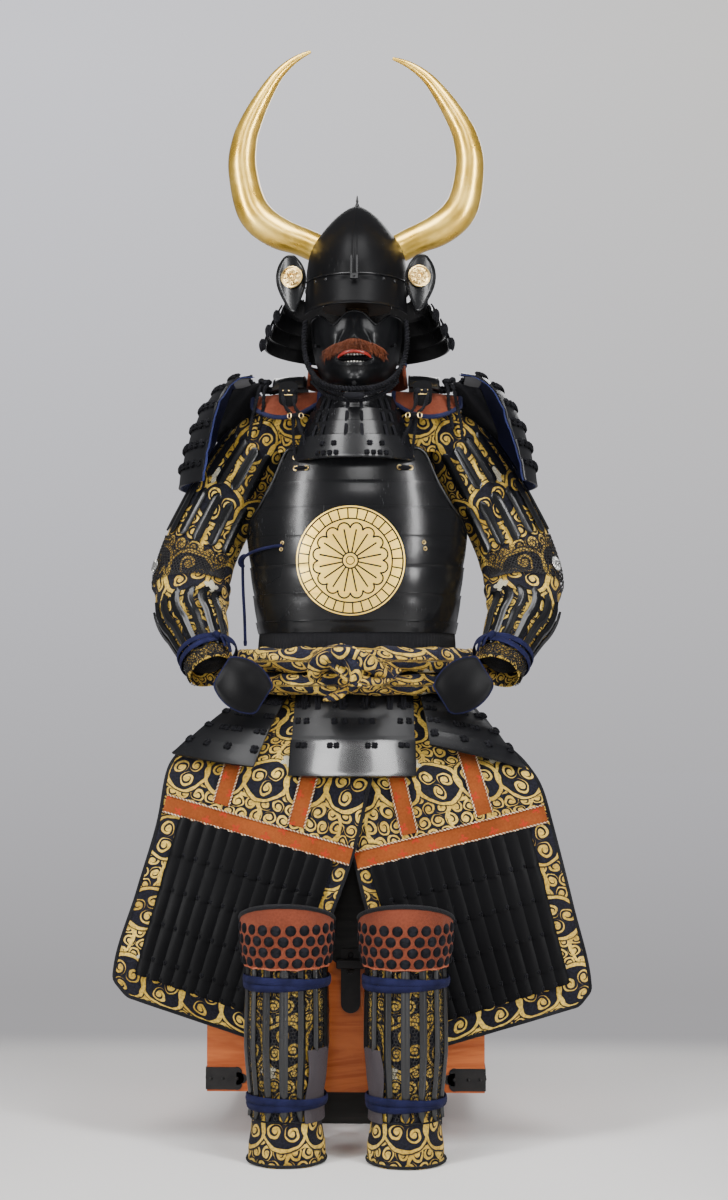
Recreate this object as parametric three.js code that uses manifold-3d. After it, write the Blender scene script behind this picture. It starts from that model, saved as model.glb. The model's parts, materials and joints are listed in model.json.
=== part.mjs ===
// A suit of samurai armour set out on its storage chest, as it is shown when nobody wears it.
// Millimetres, +Z up, the front faces -Y, and the wearer's left is +X.
// The chest and the two shin guards stand on the floor. A wooden stand on the chest carries the rest.
import * as THREE from "three";
import { mergeVertices } from "three/addons/utils/BufferGeometryUtils.js";
import Module from "manifold-3d";

const wasm = await Module();
wasm.setup();

// Driving dimensions.
const CLOTH = 2.5; // a lined brocade wall
const PLATE = 2; // a lacquered iron plate
const GAP = 0.4; // between two pieces that are laced or tied together
const LIP = 1.6; // how far each lame steps out over the one above it

const CHEST = { x: -12, width: 430, depth: 400, middle: 50, plinth: 70, body: 540, top: 560, wall: 13 };
const LEG = { x: 88, lean: -5, y: -277 }; // the middle of a shin guard
const LAMES = [783, 802, 846, 892, 938, 984, 1025, 1078]; // edges of the cuirass lames

// Half width and depth of the trunk before and behind its middle.
const TRUNK = [
  { z: 690, a: 166, front: 118, back: 104 },
  { z: 783, a: 163, front: 110, back: 98 },
  { z: 802, a: 165, front: 112, back: 99 },
  { z: 846, a: 170, front: 118, back: 103 },
  { z: 892, a: 175, front: 123, back: 107 },
  { z: 938, a: 179, front: 126, back: 110 },
  { z: 984, a: 177, front: 125, back: 112 },
  { z: 1025, a: 170, front: 121, back: 112 },
  { z: 1078, a: 158, front: 114, back: 108 },
  { z: 1112, a: 148, front: 108, back: 102 },
];
// How far round from its middle each cuirass plate reaches, in degrees, where the armholes cut it.
const ARMHOLE = [
  { z: 783, front: 87, back: 87 },
  { z: 938, front: 87, back: 87 },
  { z: 962, front: 76, back: 80 },
  { z: 984, front: 62, back: 68 },
  { z: 1005, front: 55, back: 60 },
  { z: 1025, front: 50, back: 56 },
  { z: 1052, front: 46, back: 53 },
  { z: 1066, front: 44, back: 51 },
  { z: 1078, front: 41, back: 49 },
  { z: 1112, front: 37, back: 40 },
];
// Peach-shaped helmet bowl: half width, and depth before and behind the middle.
const BOWL = [
  { z: 1352, a: 84, front: 106, back: 101 },
  { z: 1376, a: 84.5, front: 105, back: 101 },
  { z: 1400, a: 82, front: 100, back: 98 },
  { z: 1424, a: 75, front: 90, back: 91 },
  { z: 1448, a: 60, front: 74, back: 79 },
  { z: 1470, a: 42, front: 54, back: 61 },
  { z: 1488, a: 22, front: 30, back: 38 },
  { z: 1500, a: 2.5, front: 4, back: 9 },
];
// The four lames of the neck guard: height and half width of each one's top and bottom edge.
const NECK_LAMES = [
  { top: 1348, bottom: 1322, inner: 97, outer: 122, open: 66 },
  { top: 1326, bottom: 1300, inner: 124, outer: 134, open: 72 },
  { top: 1304, bottom: 1279, inner: 137, outer: 144, open: 79 },
  { top: 1283, bottom: 1258, inner: 148, outer: 153, open: 85 },
];
// The four lames of the throat guard, which hang from the mask.
const THROAT_LAMES = [
  { top: 1158, bottom: 1140, a: [72, 80], front: [104, 111], reach: 62 },
  { top: 1142, bottom: 1118, a: [86, 96], front: [114, 123], reach: 55 },
  { top: 1120, bottom: 1094, a: [100, 112], front: [126, 136], reach: 51 },
  { top: 1096, bottom: 1057, a: [116, 128], front: [139, 151], reach: 47 },
];
// The lower face mask, without its nose and lips.
const MASK = [
  { z: 1177, a: 30, front: 106 },
  { z: 1190, a: 47, front: 115 },
  { z: 1210, a: 60, front: 118 },
  { z: 1235, a: 69, front: 116 },
  { z: 1260, a: 74, front: 114 },
  { z: 1285, a: 76, front: 110 },
  { z: 1299, a: 76, front: 105 },
];
// Middle line and radius of a water-buffalo horn, from its socket to its tip, on the wearer's left.
const HORN = [
  { x: 75, z: 1434, r: 23.5 },
  { x: 92, z: 1442, r: 24 },
  { x: 135, z: 1460, r: 27 },
  { x: 171, z: 1493, r: 27.5 },
  { x: 184, z: 1536, r: 26 },
  { x: 188, z: 1574, r: 24 },
  { x: 182, z: 1613, r: 21.5 },
  { x: 166, z: 1651, r: 18.5 },
  { x: 145, z: 1687, r: 14.5 },
  { x: 120, z: 1720, r: 10.5 },
  { x: 88, z: 1744, r: 6.8 },
  { x: 54, z: 1758, r: 2.6 },
];
// The pair of horns isn't quite even: each one's tilt and lean in degrees, its stretch and its shift.
const HORN_FIT = {
  right: { tilt: 1.6, lean: 8, wide: 1, tall: 1, shift: 0 },
  left: { tilt: -2.1, lean: 10, wide: 1, tall: 0.955, shift: 5 },
};
// Middle line and radius of a sleeve, shoulder to wrist, on the wearer's left.
const SLEEVE = [
  { x: 126, y: 2, z: 1147, r: 36 },
  { x: 146, y: 4, z: 1121, r: 46 },
  { x: 168, y: 6, z: 1092, r: 54 },
  { x: 205, y: 10, z: 1030, r: 60 },
  { x: 238, y: 12, z: 970, r: 61 },
  { x: 262, y: 10, z: 915, r: 63 },
  { x: 274, y: 0, z: 864, r: 64 },
  { x: 270, y: -28, z: 822, r: 58 },
  { x: 253, y: -62, z: 785, r: 49 },
  { x: 237, y: -92, z: 750, r: 41 },
  { x: 225, y: -116, z: 720, r: 39 },
];
const SLEEVE_ROWS = 11; // rows of facets down a sleeve
const SEAM = 0.3; // degrees that each half of a sleeve keeps clear of its seam
// Shin guard sections: half width and half depth.
const SHIN = [
  { z: 0, a: 57, b: 58 },
  { z: 22, a: 57, b: 58 },
  { z: 44, a: 54, b: 57 },
  { z: 62, a: 52, b: 54 },
  { z: 92, a: 51, b: 53 },
  { z: 125, a: 54, b: 57 },
  { z: 170, a: 57.5, b: 60 },
  { z: 220, a: 57, b: 59 },
  { z: 300, a: 55, b: 57 },
];
const SHIN_TOP = SHIN[SHIN.length - 1].z;
const KNEE = [
  { z: 285, a: 61, b: 64 },
  { z: 300, a: 65, b: 69 },
  { z: 335, a: 68, b: 73 },
  { z: 376, a: 67, b: 74 },
];
// How far the thigh apron stands forward of the middle and how wide it wraps, at each height.
const DRAPE = [
  { z: 690, forward: 98, wrap: 150 },
  { z: 640, forward: 126, wrap: 235 },
  { z: 600, forward: 150, wrap: 320 },
  { z: 560, forward: 180, wrap: 420 },
  { z: 450, forward: 192, wrap: 480 },
  { z: 350, forward: 204, wrap: 520 },
  { z: 250, forward: 209, wrap: 550 },
  { z: 140, forward: 214, wrap: 570 },
];
// Inner and outer edge of each apron panel from the front, waist to hem.
const APRON = {
  right: [
    { down: 0, inX: 16, inZ: 674, outX: -108, outZ: 684 },
    { down: 0.14, inX: 30, inZ: 568, outX: -276, outZ: 594 },
    { down: 0.2, inX: 22, inZ: 528, outX: -290, outZ: 562 },
    { down: 0.4, inX: 3, inZ: 446, outX: -300, outZ: 496 },
    { down: 0.64, inX: -38, inZ: 330, outX: -331, outZ: 382 },
    { down: 0.93, inX: -92, inZ: 176, outX: -366, outZ: 250 },
    { down: 1, inX: -98, inZ: 149, outX: -342, outZ: 222 },
  ],
  left: [
    { down: 0, inX: -16, inZ: 670, outX: 108, outZ: 684 },
    { down: 0.14, inX: -24, inZ: 560, outX: 262, outZ: 583 },
    { down: 0.2, inX: -14, inZ: 516, outX: 292, outZ: 537 },
    { down: 0.4, inX: 3, inZ: 436, outX: 306, outZ: 486 },
    { down: 0.64, inX: 32, inZ: 325, outX: 335, outZ: 366 },
    { down: 0.93, inX: 86, inZ: 168, outX: 362, outZ: 237 },
    { down: 1, inX: 93, inZ: 142, outX: 342, outZ: 212 },
  ],
};
// Tassets: the ends of each one's top edge on the waist, and its two bottom corners.
const TASSETS = {
  front: { top: [-33, 33], corners: [[-97, -194, 557], [97, -194, 557]], bulge: 13 },
  front_right: { top: [-68, -37], corners: [[-284, -150, 592], [-152, -196, 572]], bulge: 13 },
  front_left: { top: [37, 68], corners: [[120, -192, 606], [268, -172, 569]], bulge: 13 },
  side_right: { top: [-108, -72], corners: [[-262, 78, 572], [-272, -96, 574]], bulge: 10 },
  side_left: { top: [72, 108], corners: [[262, -98, 574], [256, 78, 572]], bulge: 5 },
  back_right: { top: [-176, -112], corners: [[-8, 206, 568], [-214, 150, 570]], bulge: 12 },
  back_left: { top: [112, 176], corners: [[214, 150, 570], [8, 206, 568]], bulge: 12 },
};
// A shoulder guard's section from the shoulder down, at its middle.
const SODE = [
  { down: 0, x: 179, z: 1208 },
  { down: 0.14, x: 206, z: 1203 },
  { down: 0.28, x: 232, z: 1186 },
  { down: 0.42, x: 255, z: 1158 },
  { down: 0.57, x: 271, z: 1125 },
  { down: 0.71, x: 282, z: 1092 },
  { down: 0.86, x: 290, z: 1059 },
  { down: 1, x: 296, z: 1026 },
];

const MATERIALS = Object.fromEntries(
  Object.entries({
    lacquer: ["#0d0e10", 0.22, 0.5],
    gold: ["#c9992e", 0.3, 0.9],
    brocade: ["#3a3222", 0.8, 0.1],
    rust_cloth: ["#9c4630", 0.85, 0],
    navy_cloth: ["#232a55", 0.8, 0],
    black_cord: ["#101013", 0.8, 0],
    chest_wood: ["#b9552c", 0.45, 0],
    black_wood: ["#17120f", 0.5, 0],
    stand_wood: ["#b08a5c", 0.6, 0],
  }).map(([name, [color, roughness, metalness]]) => [
    name,
    new THREE.MeshStandardMaterial({ name, color, roughness, metalness }),
  ]),
);

const suit = new THREE.Group();
suit.name = "samurai_armour";

function add(name, geometry, material) {
  geometry.computeVertexNormals();
  const mesh = new THREE.Mesh(geometry, MATERIALS[material]);
  mesh.name = name;
  suit.add(mesh);
  return mesh;
}

const V = (x, y, z) => new THREE.Vector3(x, y, z);
const mix = (a, b, t) => a + (b - a) * t;
const radians = THREE.MathUtils.degToRad;

// The row of a table at a place along its key, worked out between the two rows beside it.
function at(table, key, place) {
  const rising = table[0][key] < table[table.length - 1][key];
  const rows = rising ? table : [...table].reverse();
  let k = rows.findIndex((row) => row[key] >= place);
  if (k < 0) k = rows.length - 1;
  if (k === 0) k = 1;
  const [low, high] = [rows[k - 1], rows[k]];
  const t = THREE.MathUtils.clamp((place - low[key]) / (high[key] - low[key]), 0, 1);
  return Object.fromEntries(
    Object.keys(low).map((name) => [name, mix(low[name], high[name], t)]),
  );
}

// A point on an oval section: 0 degrees is the front, and it turns towards the wearer's left.
function oval(degrees, a, front, back, z, power = 2) {
  const [s, c] = [Math.sin(radians(degrees)), Math.cos(radians(degrees))];
  const round = (v) => Math.sign(v) * Math.abs(v) ** (2 / power);
  return V(a * round(s), -(c > 0 ? front : back) * round(c), z);
}

// A closed solid from triangles of points: equal points are joined, and it is turned to face outwards.
function solid(triangles) {
  const keys = new Map();
  const points = [];
  const index = [];
  const id = (p) => {
    const key = [p.x, p.y, p.z].map((v) => Math.round(v * 1e4)).join();
    if (!keys.has(key)) keys.set(key, points.push(p) - 1);
    return keys.get(key);
  };
  let volume = 0;
  for (const t of triangles) {
    const [a, b, c] = t.map(id);
    if (a === b || b === c || a === c) continue;
    index.push(a, b, c);
    volume += t[0].dot(V().crossVectors(t[1], t[2]));
  }
  if (volume < 0)
    for (let i = 0; i < index.length; i += 3)
      [index[i + 1], index[i + 2]] = [index[i + 2], index[i + 1]];
  const geometry = new THREE.BufferGeometry().setFromPoints(points);
  geometry.setIndex(index);
  return geometry;
}

const quad = (a, b, c, d) => [[a, b, c], [a, c, d]];

// The unit normal of a surface given as a function of two shares from 0 to 1.
function normalOf(surface, u, v) {
  const e = 0.004;
  const [u0, u1, v0, v1] = [u - e, u + e, v - e, v + e].map((t) => THREE.MathUtils.clamp(t, 0, 1));
  const across = surface(u1, v).sub(surface(u0, v));
  const along = surface(u, v1).sub(surface(u, v0));
  return across.cross(along).normalize();
}

// The surface moved along its own normal, by a number or by a function of the two shares.
function moved(surface, by) {
  const amount = typeof by === "function" ? by : () => by;
  return (u, v) => surface(u, v).addScaledVector(normalOf(surface, u, v), amount(u, v));
}

// A wall between two surfaces over the same grid. rows is a count or a list of shares.
function wall(columns, rows, face, back, closed = false) {
  const us = Array.from({ length: columns + 1 }, (_, i) => i / columns);
  const vs = Array.isArray(rows) ? rows : Array.from({ length: rows + 1 }, (_, j) => j / rows);
  const grid = (surface) =>
    vs.map((v) => {
      const row = us.map((u) => surface(u, v));
      if (closed) row[columns] = row[0];
      return row;
    });
  const [f, b] = [grid(face), grid(back)];
  const out = [];
  const last = vs.length - 1;
  for (let j = 0; j < last; j++)
    for (let i = 0; i < columns; i++) {
      out.push(...quad(f[j][i], f[j][i + 1], f[j + 1][i + 1], f[j + 1][i]));
      out.push(...quad(b[j][i], b[j + 1][i], b[j + 1][i + 1], b[j][i + 1]));
    }
  for (let i = 0; i < columns; i++) {
    out.push(...quad(f[0][i + 1], f[0][i], b[0][i], b[0][i + 1]));
    out.push(...quad(f[last][i], f[last][i + 1], b[last][i + 1], b[last][i]));
  }
  if (!closed)
    for (let j = 0; j < last; j++) {
      out.push(...quad(f[j][0], f[j + 1][0], b[j + 1][0], b[j][0]));
      out.push(...quad(f[j + 1][columns], f[j][columns], b[j][columns], b[j + 1][columns]));
    }
  return solid(out);
}

// Shares and steps of overlapping lames: each steps out at its top edge and slants back below it.
function lamed(edges, lip = LIP) {
  const span = edges[edges.length - 1] - edges[0];
  const shares = edges.map((edge) => (edge - edges[0]) / span);
  const step = 0.006;
  const rows = [0];
  shares.slice(1, -1).forEach((share) => rows.push(share - step, share + step));
  rows.push(1);
  const rise = (v) => {
    let k = shares.findIndex((share) => share > v) - 1;
    if (k < 0) k = shares.length - 2;
    const t = (v - shares[k]) / (shares[k + 1] - shares[k]);
    return k === 0 ? 0 : lip * (1 - t);
  };
  return { rows, rise };
}

// A closed solid through rings of equal length, capped at both ends.
function loft(rings) {
  const out = [];
  const sides = rings[0].length;
  for (let j = 0; j < rings.length - 1; j++)
    for (let i = 0; i < sides; i++) {
      const k = (i + 1) % sides;
      out.push(...quad(rings[j][i], rings[j][k], rings[j + 1][k], rings[j + 1][i]));
    }
  for (const [ring, turn] of [[rings[0], true], [rings[rings.length - 1], false]]) {
    const middle = ring.reduce((sum, p) => sum.add(p), V()).divideScalar(sides);
    ring.forEach((p, i) => {
      const q = ring[(i + 1) % sides];
      out.push(turn ? [q, p, middle] : [p, q, middle]);
    });
  }
  return solid(out);
}

// Circles of the given radii square to a smooth curve through the points.
function circles(points, radii, steps, sides, closed = false) {
  const curve = new THREE.CatmullRomCurve3(points, closed);
  const frames = curve.computeFrenetFrames(steps, closed);
  return Array.from({ length: steps + (closed ? 0 : 1) }, (_, j) => {
    const t = j / steps;
    const along = curve.getUtoTmapping(t) * (radii.length - 1);
    const k = Math.min(Math.floor(along), radii.length - 2);
    const radius = mix(radii[k], radii[k + 1], along - k);
    const middle = curve.getPointAt(t);
    return Array.from({ length: sides }, (_, i) => {
      const angle = (i / sides) * 2 * Math.PI;
      return middle
        .clone()
        .addScaledVector(frames.normals[j], Math.cos(angle) * radius)
        .addScaledVector(frames.binormals[j], Math.sin(angle) * radius);
    });
  });
}

const tube = (points, radius, steps, sides) =>
  loft(circles(points, points.map(() => radius), steps, sides));

// A ring with no ends, such as a rolled sash.
function hoop(rings) {
  const out = [];
  rings.forEach((ring, j) => {
    const next = rings[(j + 1) % rings.length];
    ring.forEach((p, i) => {
      const k = (i + 1) % ring.length;
      out.push(...quad(p, ring[k], next[k], next[i]));
    });
  });
  return solid(out);
}

function box(width, depth, height, x, y, z) {
  return new THREE.BoxGeometry(width, depth, height).translate(x, y, z);
}

function toManifold(geometry) {
  const bare = geometry.clone();
  bare.deleteAttribute("normal");
  bare.deleteAttribute("uv");
  const merged = mergeVertices(bare, 1e-4);
  return new wasm.Manifold(
    new wasm.Mesh({
      numProp: 3,
      vertProperties: merged.attributes.position.array,
      triVerts: new Uint32Array(merged.index.array),
    }),
  );
}

function toGeometry(made) {
  const mesh = made.getMesh();
  const geometry = new THREE.BufferGeometry();
  geometry.setAttribute("position", new THREE.BufferAttribute(mesh.vertProperties, 3));
  geometry.setIndex(new THREE.BufferAttribute(mesh.triVerts, 1));
  return geometry;
}

const joined = (...parts) =>
  toGeometry(parts.map(toManifold).reduce((sum, part) => sum.add(part)));
const cut = (from, ...tools) =>
  toGeometry(tools.map(toManifold).reduce((left, tool) => left.subtract(tool), toManifold(from)));

// ---------------------------------------------------------------- chest and stand

function buildChest() {
  const { x, width, depth, middle, plinth, body, top, wall: thick } = CHEST;
  const tall = body - plinth;
  add("chest_plinth", box(300, 210, plinth - GAP, x, middle, (plinth - GAP) / 2), "black_wood");
  add(
    "chest_body",
    cut(
      box(width, depth, tall, x, middle, plinth + tall / 2),
      box(width - 2 * thick, depth - 2 * thick, tall, x, middle, plinth + thick + tall / 2),
    ),
    "chest_wood",
  );
  const [skirt, play] = [66, 1];
  add(
    "chest_lid",
    cut(
      box(width + 10, depth + 10, skirt, x, middle, top - skirt / 2),
      box(width + play, depth + play, skirt, x, middle, body + GAP - skirt / 2),
    ),
    "chest_wood",
  );
}

function buildStand() {
  const { top } = CHEST;
  const [post, shoulder, crown] = [38, 1128, 1332];
  const head = new THREE.CylinderGeometry(46, 58, 34, 16).rotateX(Math.PI / 2);
  add(
    "stand",
    joined(
      box(180, 180, 18, 0, 8, top + GAP + 9),
      box(post, post, crown - top - 10, 0, 8, (crown + top + 10) / 2),
      box(176, 30, 34, 0, 8, shoulder),
      head.translate(0, 0, crown + 10),
    ),
    "stand_wood",
  );
}

// ---------------------------------------------------------------- cuirass and shoulders

function trunk(degrees, z, spread = 0) {
  const row = at(TRUNK, "z", z);
  return oval(degrees, row.a + spread, row.front + spread, row.back + spread, z, 2.15);
}

function buildCuirass() {
  for (const [name, middle, column] of [["front", 0, "front"], ["back", 180, "back"]]) {
    const edges = name === "front" ? LAMES : [...LAMES, 1112];
    const [low, high] = [edges[0], edges[edges.length - 1]];
    const face = (u, v) => {
      const z = mix(low, high, v);
      return trunk(middle + mix(-1, 1, u) * at(ARMHOLE, "z", z)[column], z);
    };
    // Going up, each edge steps in, because every lame lies over the one above it.
    const { rows, rise } = lamed(edges.map((z) => low + high - z).reverse());
    const step = (u, v) => rise(1 - v);
    add(
      "cuirass_" + name,
      wall(12, rows.map((v) => 1 - v).reverse(), moved(face, step), moved(face, -PLATE - 0.6)),
      "lacquer",
    );
  }
  add(
    "waist_lacing",
    wall(
      24,
      1,
      (u, v) => trunk(360 * u, mix(694, LAMES[0] - GAP, v), -1),
      (u, v) => trunk(360 * u, mix(694, LAMES[0] - GAP, v), -1 - CLOTH),
      true,
    ),
    "black_cord",
  );
}

function buildShoulders() {
  for (const [side, s] of [["right", -1], ["left", 1]]) {
    // The strap comes up from the back plate and over the shoulder.
    const strap = (u, v) => {
      const angle = mix(28, 172, v);
      const y = 14 - 82 * Math.cos(radians(angle));
      const z = 1120 + 90 * Math.sin(radians(angle)) ** 0.5;
      return V(s * mix(86, 136, u), y, z - 4 * u);
    };
    add("shoulder_strap_" + side, wall(2, 8, moved(strap, 3 * s), strap), "lacquer");
    // The padded wing below it droops over the front and the back of the shoulder.
    const wing = (u, v) => {
      const angle = radians(mix(-90, 90, v));
      const out = 62 + 108 * u;
      const y = 2 + (66 - 26 * (2 * u - 1) ** 2) * Math.sin(angle);
      const droop = 20 * Math.abs(Math.sin(angle)) ** 3;
      return V(s * out, y, 1184 - droop - 8 * u);
    };
    add("shoulder_wing_" + side, wall(6, 6, moved(wing, 4 * s), wing), "rust_cloth");
  }
  const collar = (u, v) => {
    const spread = 4 * (1 - v);
    const point = oval(mix(68, 292, u), 80 + spread, 76 + spread, 64 + spread, mix(1194, 1230, v));
    return point.add(V(0, 4, 0));
  };
  add("collar", wall(16, 1, collar, moved(collar, -3.5)), "rust_cloth");
}

// ---------------------------------------------------------------- helmet and mask

function bowl(degrees, z) {
  const row = at(BOWL, "z", z);
  // The bowl comes to a ridge at the front and the back, like a peach.
  const ridge = 0.06 * Math.abs(Math.cos(radians(degrees))) ** 12;
  return oval(degrees, row.a, row.front * (1 + ridge), row.back * (1 + ridge), z, 2.1);
}

function buildHelmet() {
  const [rim, apex] = [BOWL[0].z, BOWL[BOWL.length - 1].z];
  const levels = BOWL.map((row) => (row.z - rim) / (apex - rim));
  const shell = (u, v) => bowl(360 * u, mix(rim, apex, v));
  const inside = (u, v) => {
    const row = at(BOWL, "z", mix(rim, apex, v));
    const shrink = 1 - Math.min(0.75, 3 / Math.max(row.a, 4));
    const point = shell(u, v);
    return V(point.x * shrink, point.y * shrink, point.z - 3.4 * v * v);
  };
  add("helmet_bowl", wall(24, levels, shell, inside, true), "lacquer");

  // The visor hangs from the brow, nearly upright.
  const visor = (u, v) => {
    const degrees = mix(-66, 66, u);
    const lower = 1303 + 4 * Math.cos(radians(degrees * 1.3));
    const spread = 4 * (1 - v);
    const front = mix(130, 114, v ** 0.8) + spread;
    return oval(degrees, mix(92, 88.5, v), front, front, mix(lower, 1360, v), 2.15);
  };
  add("visor", wall(14, 2, moved(visor, 2), visor), "lacquer");

  // A forked socket on the brow takes a front crest, and a spike tops the bowl.
  const prong = (x) => box(3.5, 2.5, 34, x, -124.5, 1369);
  add("crest_holder", joined(box(13, 3, 9, 0, -124.5, 1352), prong(-4), prong(4)), "lacquer");
  const spike = new THREE.CylinderGeometry(1, 3, 18, 10).rotateX(Math.PI / 2);
  add("helmet_spike", spike.translate(0, 2.5, 1509.4), "lacquer");

  NECK_LAMES.forEach(({ top, bottom, inner, outer, open }, k) => {
    const lame = (u, v) => {
      const degrees = mix(open, 360 - open, u);
      const spread = mix(outer, inner, v);
      return oval(degrees, spread, spread * 0.95, spread * 1.08, mix(bottom, top, v), 2);
    };
    add("neck_lame_" + (k + 1), wall(20, 1, moved(lame, PLATE), lame), "lacquer");
  });

  for (const [side, s] of [["right", -1], ["left", 1]]) {
    // The turnback is a leaf-shaped ear, round above and pointed below.
    const ear = (u, v) => {
      const t = v * 92;
      const half = 23.5 * Math.sin(Math.PI * (0.02 + 0.96 * v ** 1.35)) ** 0.65;
      const across = (2 * u - 1) * half;
      const curl = 5 * (1 - ((2 * u - 1) * half) ** 2 / 600);
      return V(s * (103 + across + 5 * v), -60 - curl + 0.22 * across, 1309 + t);
    };
    const levels = [0, 0.12, 0.3, 0.5, 0.7, 0.85, 0.95, 1];
    add("turnback_" + side, wall(6, levels, moved(ear, 2.2 * s), ear), "lacquer");

    const { tilt, lean, wide, tall, shift } = HORN_FIT[side];
    const base = V(HORN[0].x, 0, HORN[0].z);
    const points = HORN.map(({ x, z }) => {
      const point = V(x, 0, z).sub(base).multiply(V(wide, 1, tall));
      point.applyAxisAngle(V(0, 1, 0), radians(tilt));
      point.applyAxisAngle(V(1, 0, 0), radians(lean));
      point.add(base).add(V(shift, 6, 0));
      return V(s * point.x, point.y, point.z);
    });
    const rings = circles(points, HORN.map((row) => row.r), 17, 12);
    add("horn_" + side, loft(rings), "gold");
  }
}

// The mask's relief: nose, cheeks, lips and chin, as bumps on its plain form.
function maskRelief(x, z) {
  const bump = (height, cx, cz, wx, wz) =>
    height * Math.exp(-(((x - cx) / wx) ** 2) - ((z - cz) / wz) ** 2);
  return (
    bump(22, 0, 1258, 13, 20) +
    bump(12, 0, 1284, 9, 18) +
    bump(6, 40, 1262, 20, 16) +
    bump(6, -40, 1262, 20, 16) +
    bump(7, 0, 1233, 34, 8) +
    bump(6, 0, 1208, 30, 7) +
    bump(9, 0, 1186, 22, 12)
  );
}

function buildMask() {
  const [low, high] = [MASK[0].z, MASK[MASK.length - 1].z];
  const face = (u, v) => {
    const degrees = mix(-84, 84, u);
    const across = Math.abs(Math.sin(radians(degrees)));
    // The top edge dips under each eye and rises on the nose.
    const dip = 22 * Math.exp(-(((across - 0.42) / 0.2) ** 2));
    const z = mix(low, high - dip * v ** 3, v);
    const row = at(MASK, "z", z);
    const point = oval(degrees, row.a, row.front, row.front, z, 2.2);
    point.y -= maskRelief(point.x, z) * Math.cos(radians(degrees)) ** 0.5;
    return point;
  };
  const shell = wall(16, 10, face, moved(face, -2.4));
  const mouth = new THREE.CylinderGeometry(1, 1, 80, 20).scale(25, 1, 8.5).translate(0, -130, 1221);
  add("mask", cut(shell, mouth), "lacquer");

  const cord = [
    V(-82, -62, 1293),
    V(-84, -68, 1258),
    V(-76, -82, 1215),
    V(-48, -112, 1180),
    V(0, -132, 1169),
    V(48, -112, 1180),
    V(76, -82, 1215),
    V(84, -68, 1258),
    V(82, -62, 1293),
  ];
  add("chin_cord", tube(cord, 5, 26, 6), "black_cord");

  THROAT_LAMES.forEach(({ top, bottom, a, front, reach }, k) => {
    const lame = (u, v) => {
      const depth = mix(front[1], front[0], v);
      return oval(mix(-reach, reach, u), mix(a[1], a[0], v), depth, depth, mix(bottom, top, v), 2.1);
    };
    add("throat_lame_" + (k + 1), wall(10, 1, moved(lame, PLATE), lame), "lacquer");
  });
}

// ---------------------------------------------------------------- sleeves and shoulder guards

function sleeveRings(s, spread, from, to) {
  const points = SLEEVE.map(({ x, y, z }) => V(s * x, y, z));
  const curve = new THREE.CatmullRomCurve3(points);
  return (degrees, share) => {
    const t = mix(from, to, share);
    const along = t * (SLEEVE.length - 1);
    const k = Math.min(Math.floor(along), SLEEVE.length - 2);
    const radius = mix(SLEEVE[k].r, SLEEVE[k + 1].r, along - k) + spread;
    const tangent = curve.getTangent(t);
    const front = V(0, -1, 0).addScaledVector(tangent, tangent.y).normalize();
    const out = V().crossVectors(front, tangent).multiplyScalar(s).normalize();
    const [c, w] = [Math.cos(radians(degrees)), Math.sin(radians(degrees))];
    return curve
      .getPoint(t)
      .addScaledVector(front, radius * 0.94 * c)
      .addScaledVector(out, radius * w * -1);
  };
}

function buildSleeves() {
  for (const [side, s] of [["right", -1], ["left", 1]]) {
    const outer = sleeveRings(s, 0, 0, 1);
    const inner = sleeveRings(s, -CLOTH, 0, 1);
    // Its front and its back are two cloths, with their seams along both sides of the arm.
    for (const [half, turn] of [["front", 0], ["back", 180]]) {
      const degrees = (u) => turn + mix(SEAM - 90, 90 - SEAM, u);
      add(
        "sleeve_" + half + "_" + side,
        wall(7, SLEEVE_ROWS, (u, v) => outer(degrees(u), v), (u, v) => inner(degrees(u), v)),
        "brocade",
      );
    }
    // Splints joined by mail cover the outside of the forearm.
    const [from, to] = [7, 10].map((row) => row / SLEEVE_ROWS);
    const low = sleeveRings(s, 1.8, from, to);
    const high = sleeveRings(s, 4.4, from, to);
    add(
      "forearm_splints_" + side,
      wall(10, 3, (u, v) => high(mix(-160, 80, u), v), (u, v) => low(mix(-160, 80, u), v)),
      "lacquer",
    );
    // The hand guard is a domed plate over the back of the hand, on the end of the sleeve.
    const hand = (u, v) => {
      const [p, q] = [2 * u - 1, 2 * v - 1];
      const narrow = Math.sqrt(1 - 0.62 * q * q);
      const across = 40 * p * narrow;
      const along = 44 * q;
      const dome = 12 * (1 - p * p * 0.8) * (1 - q * q * 0.7);
      const x = 172 + 0.74 * along + 0.5 * across;
      return V(s * x, -162 - dome + 0.1 * along, 698 + 0.5 * along - 0.8 * across);
    };
    add("hand_guard_" + side, wall(6, 6, moved(hand, -PLATE * s), hand), "lacquer");
  }
}

function buildShoulderGuards() {
  for (const [side, s] of [["right", -1], ["left", 1]]) {
    const turn = radians(s < 0 ? -9 : 6); // the front edge is pulled in, or let out
    const plate = (u, v) => {
      const row = at(SODE, "down", v);
      const p = 2 * u - 1;
      const half = mix(88, 108, v);
      const wrap = mix(10, 34, Math.min(1, v * 1.6)) * p * p;
      const drop = mix(10, 0, Math.min(1, v * 2)) * p * p;
      const local = V(row.x - wrap, half * p, row.z - drop);
      const middle = V(230, 0, 0);
      local.sub(middle).applyAxisAngle(V(0, 0, 1), turn * mix(0.2, 1, v)).add(middle);
      return V(s * local.x, local.y + 6, local.z);
    };
    const edges = [0, 1, 2, 3, 4, 5, 6, 7];
    const { rows, rise } = lamed(edges, 2.4);
    add(
      "shoulder_guard_" + side,
      wall(8, rows, moved(plate, (u, v) => -s * (PLATE + rise(v))), plate),
      "lacquer",
    );
    const lining = moved(plate, s * 1.2);
    add("guard_lining_" + side, wall(8, 7, lining, moved(plate, s * 3)), "navy_cloth");
  }
}

// ---------------------------------------------------------------- sash, tassets and apron

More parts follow.
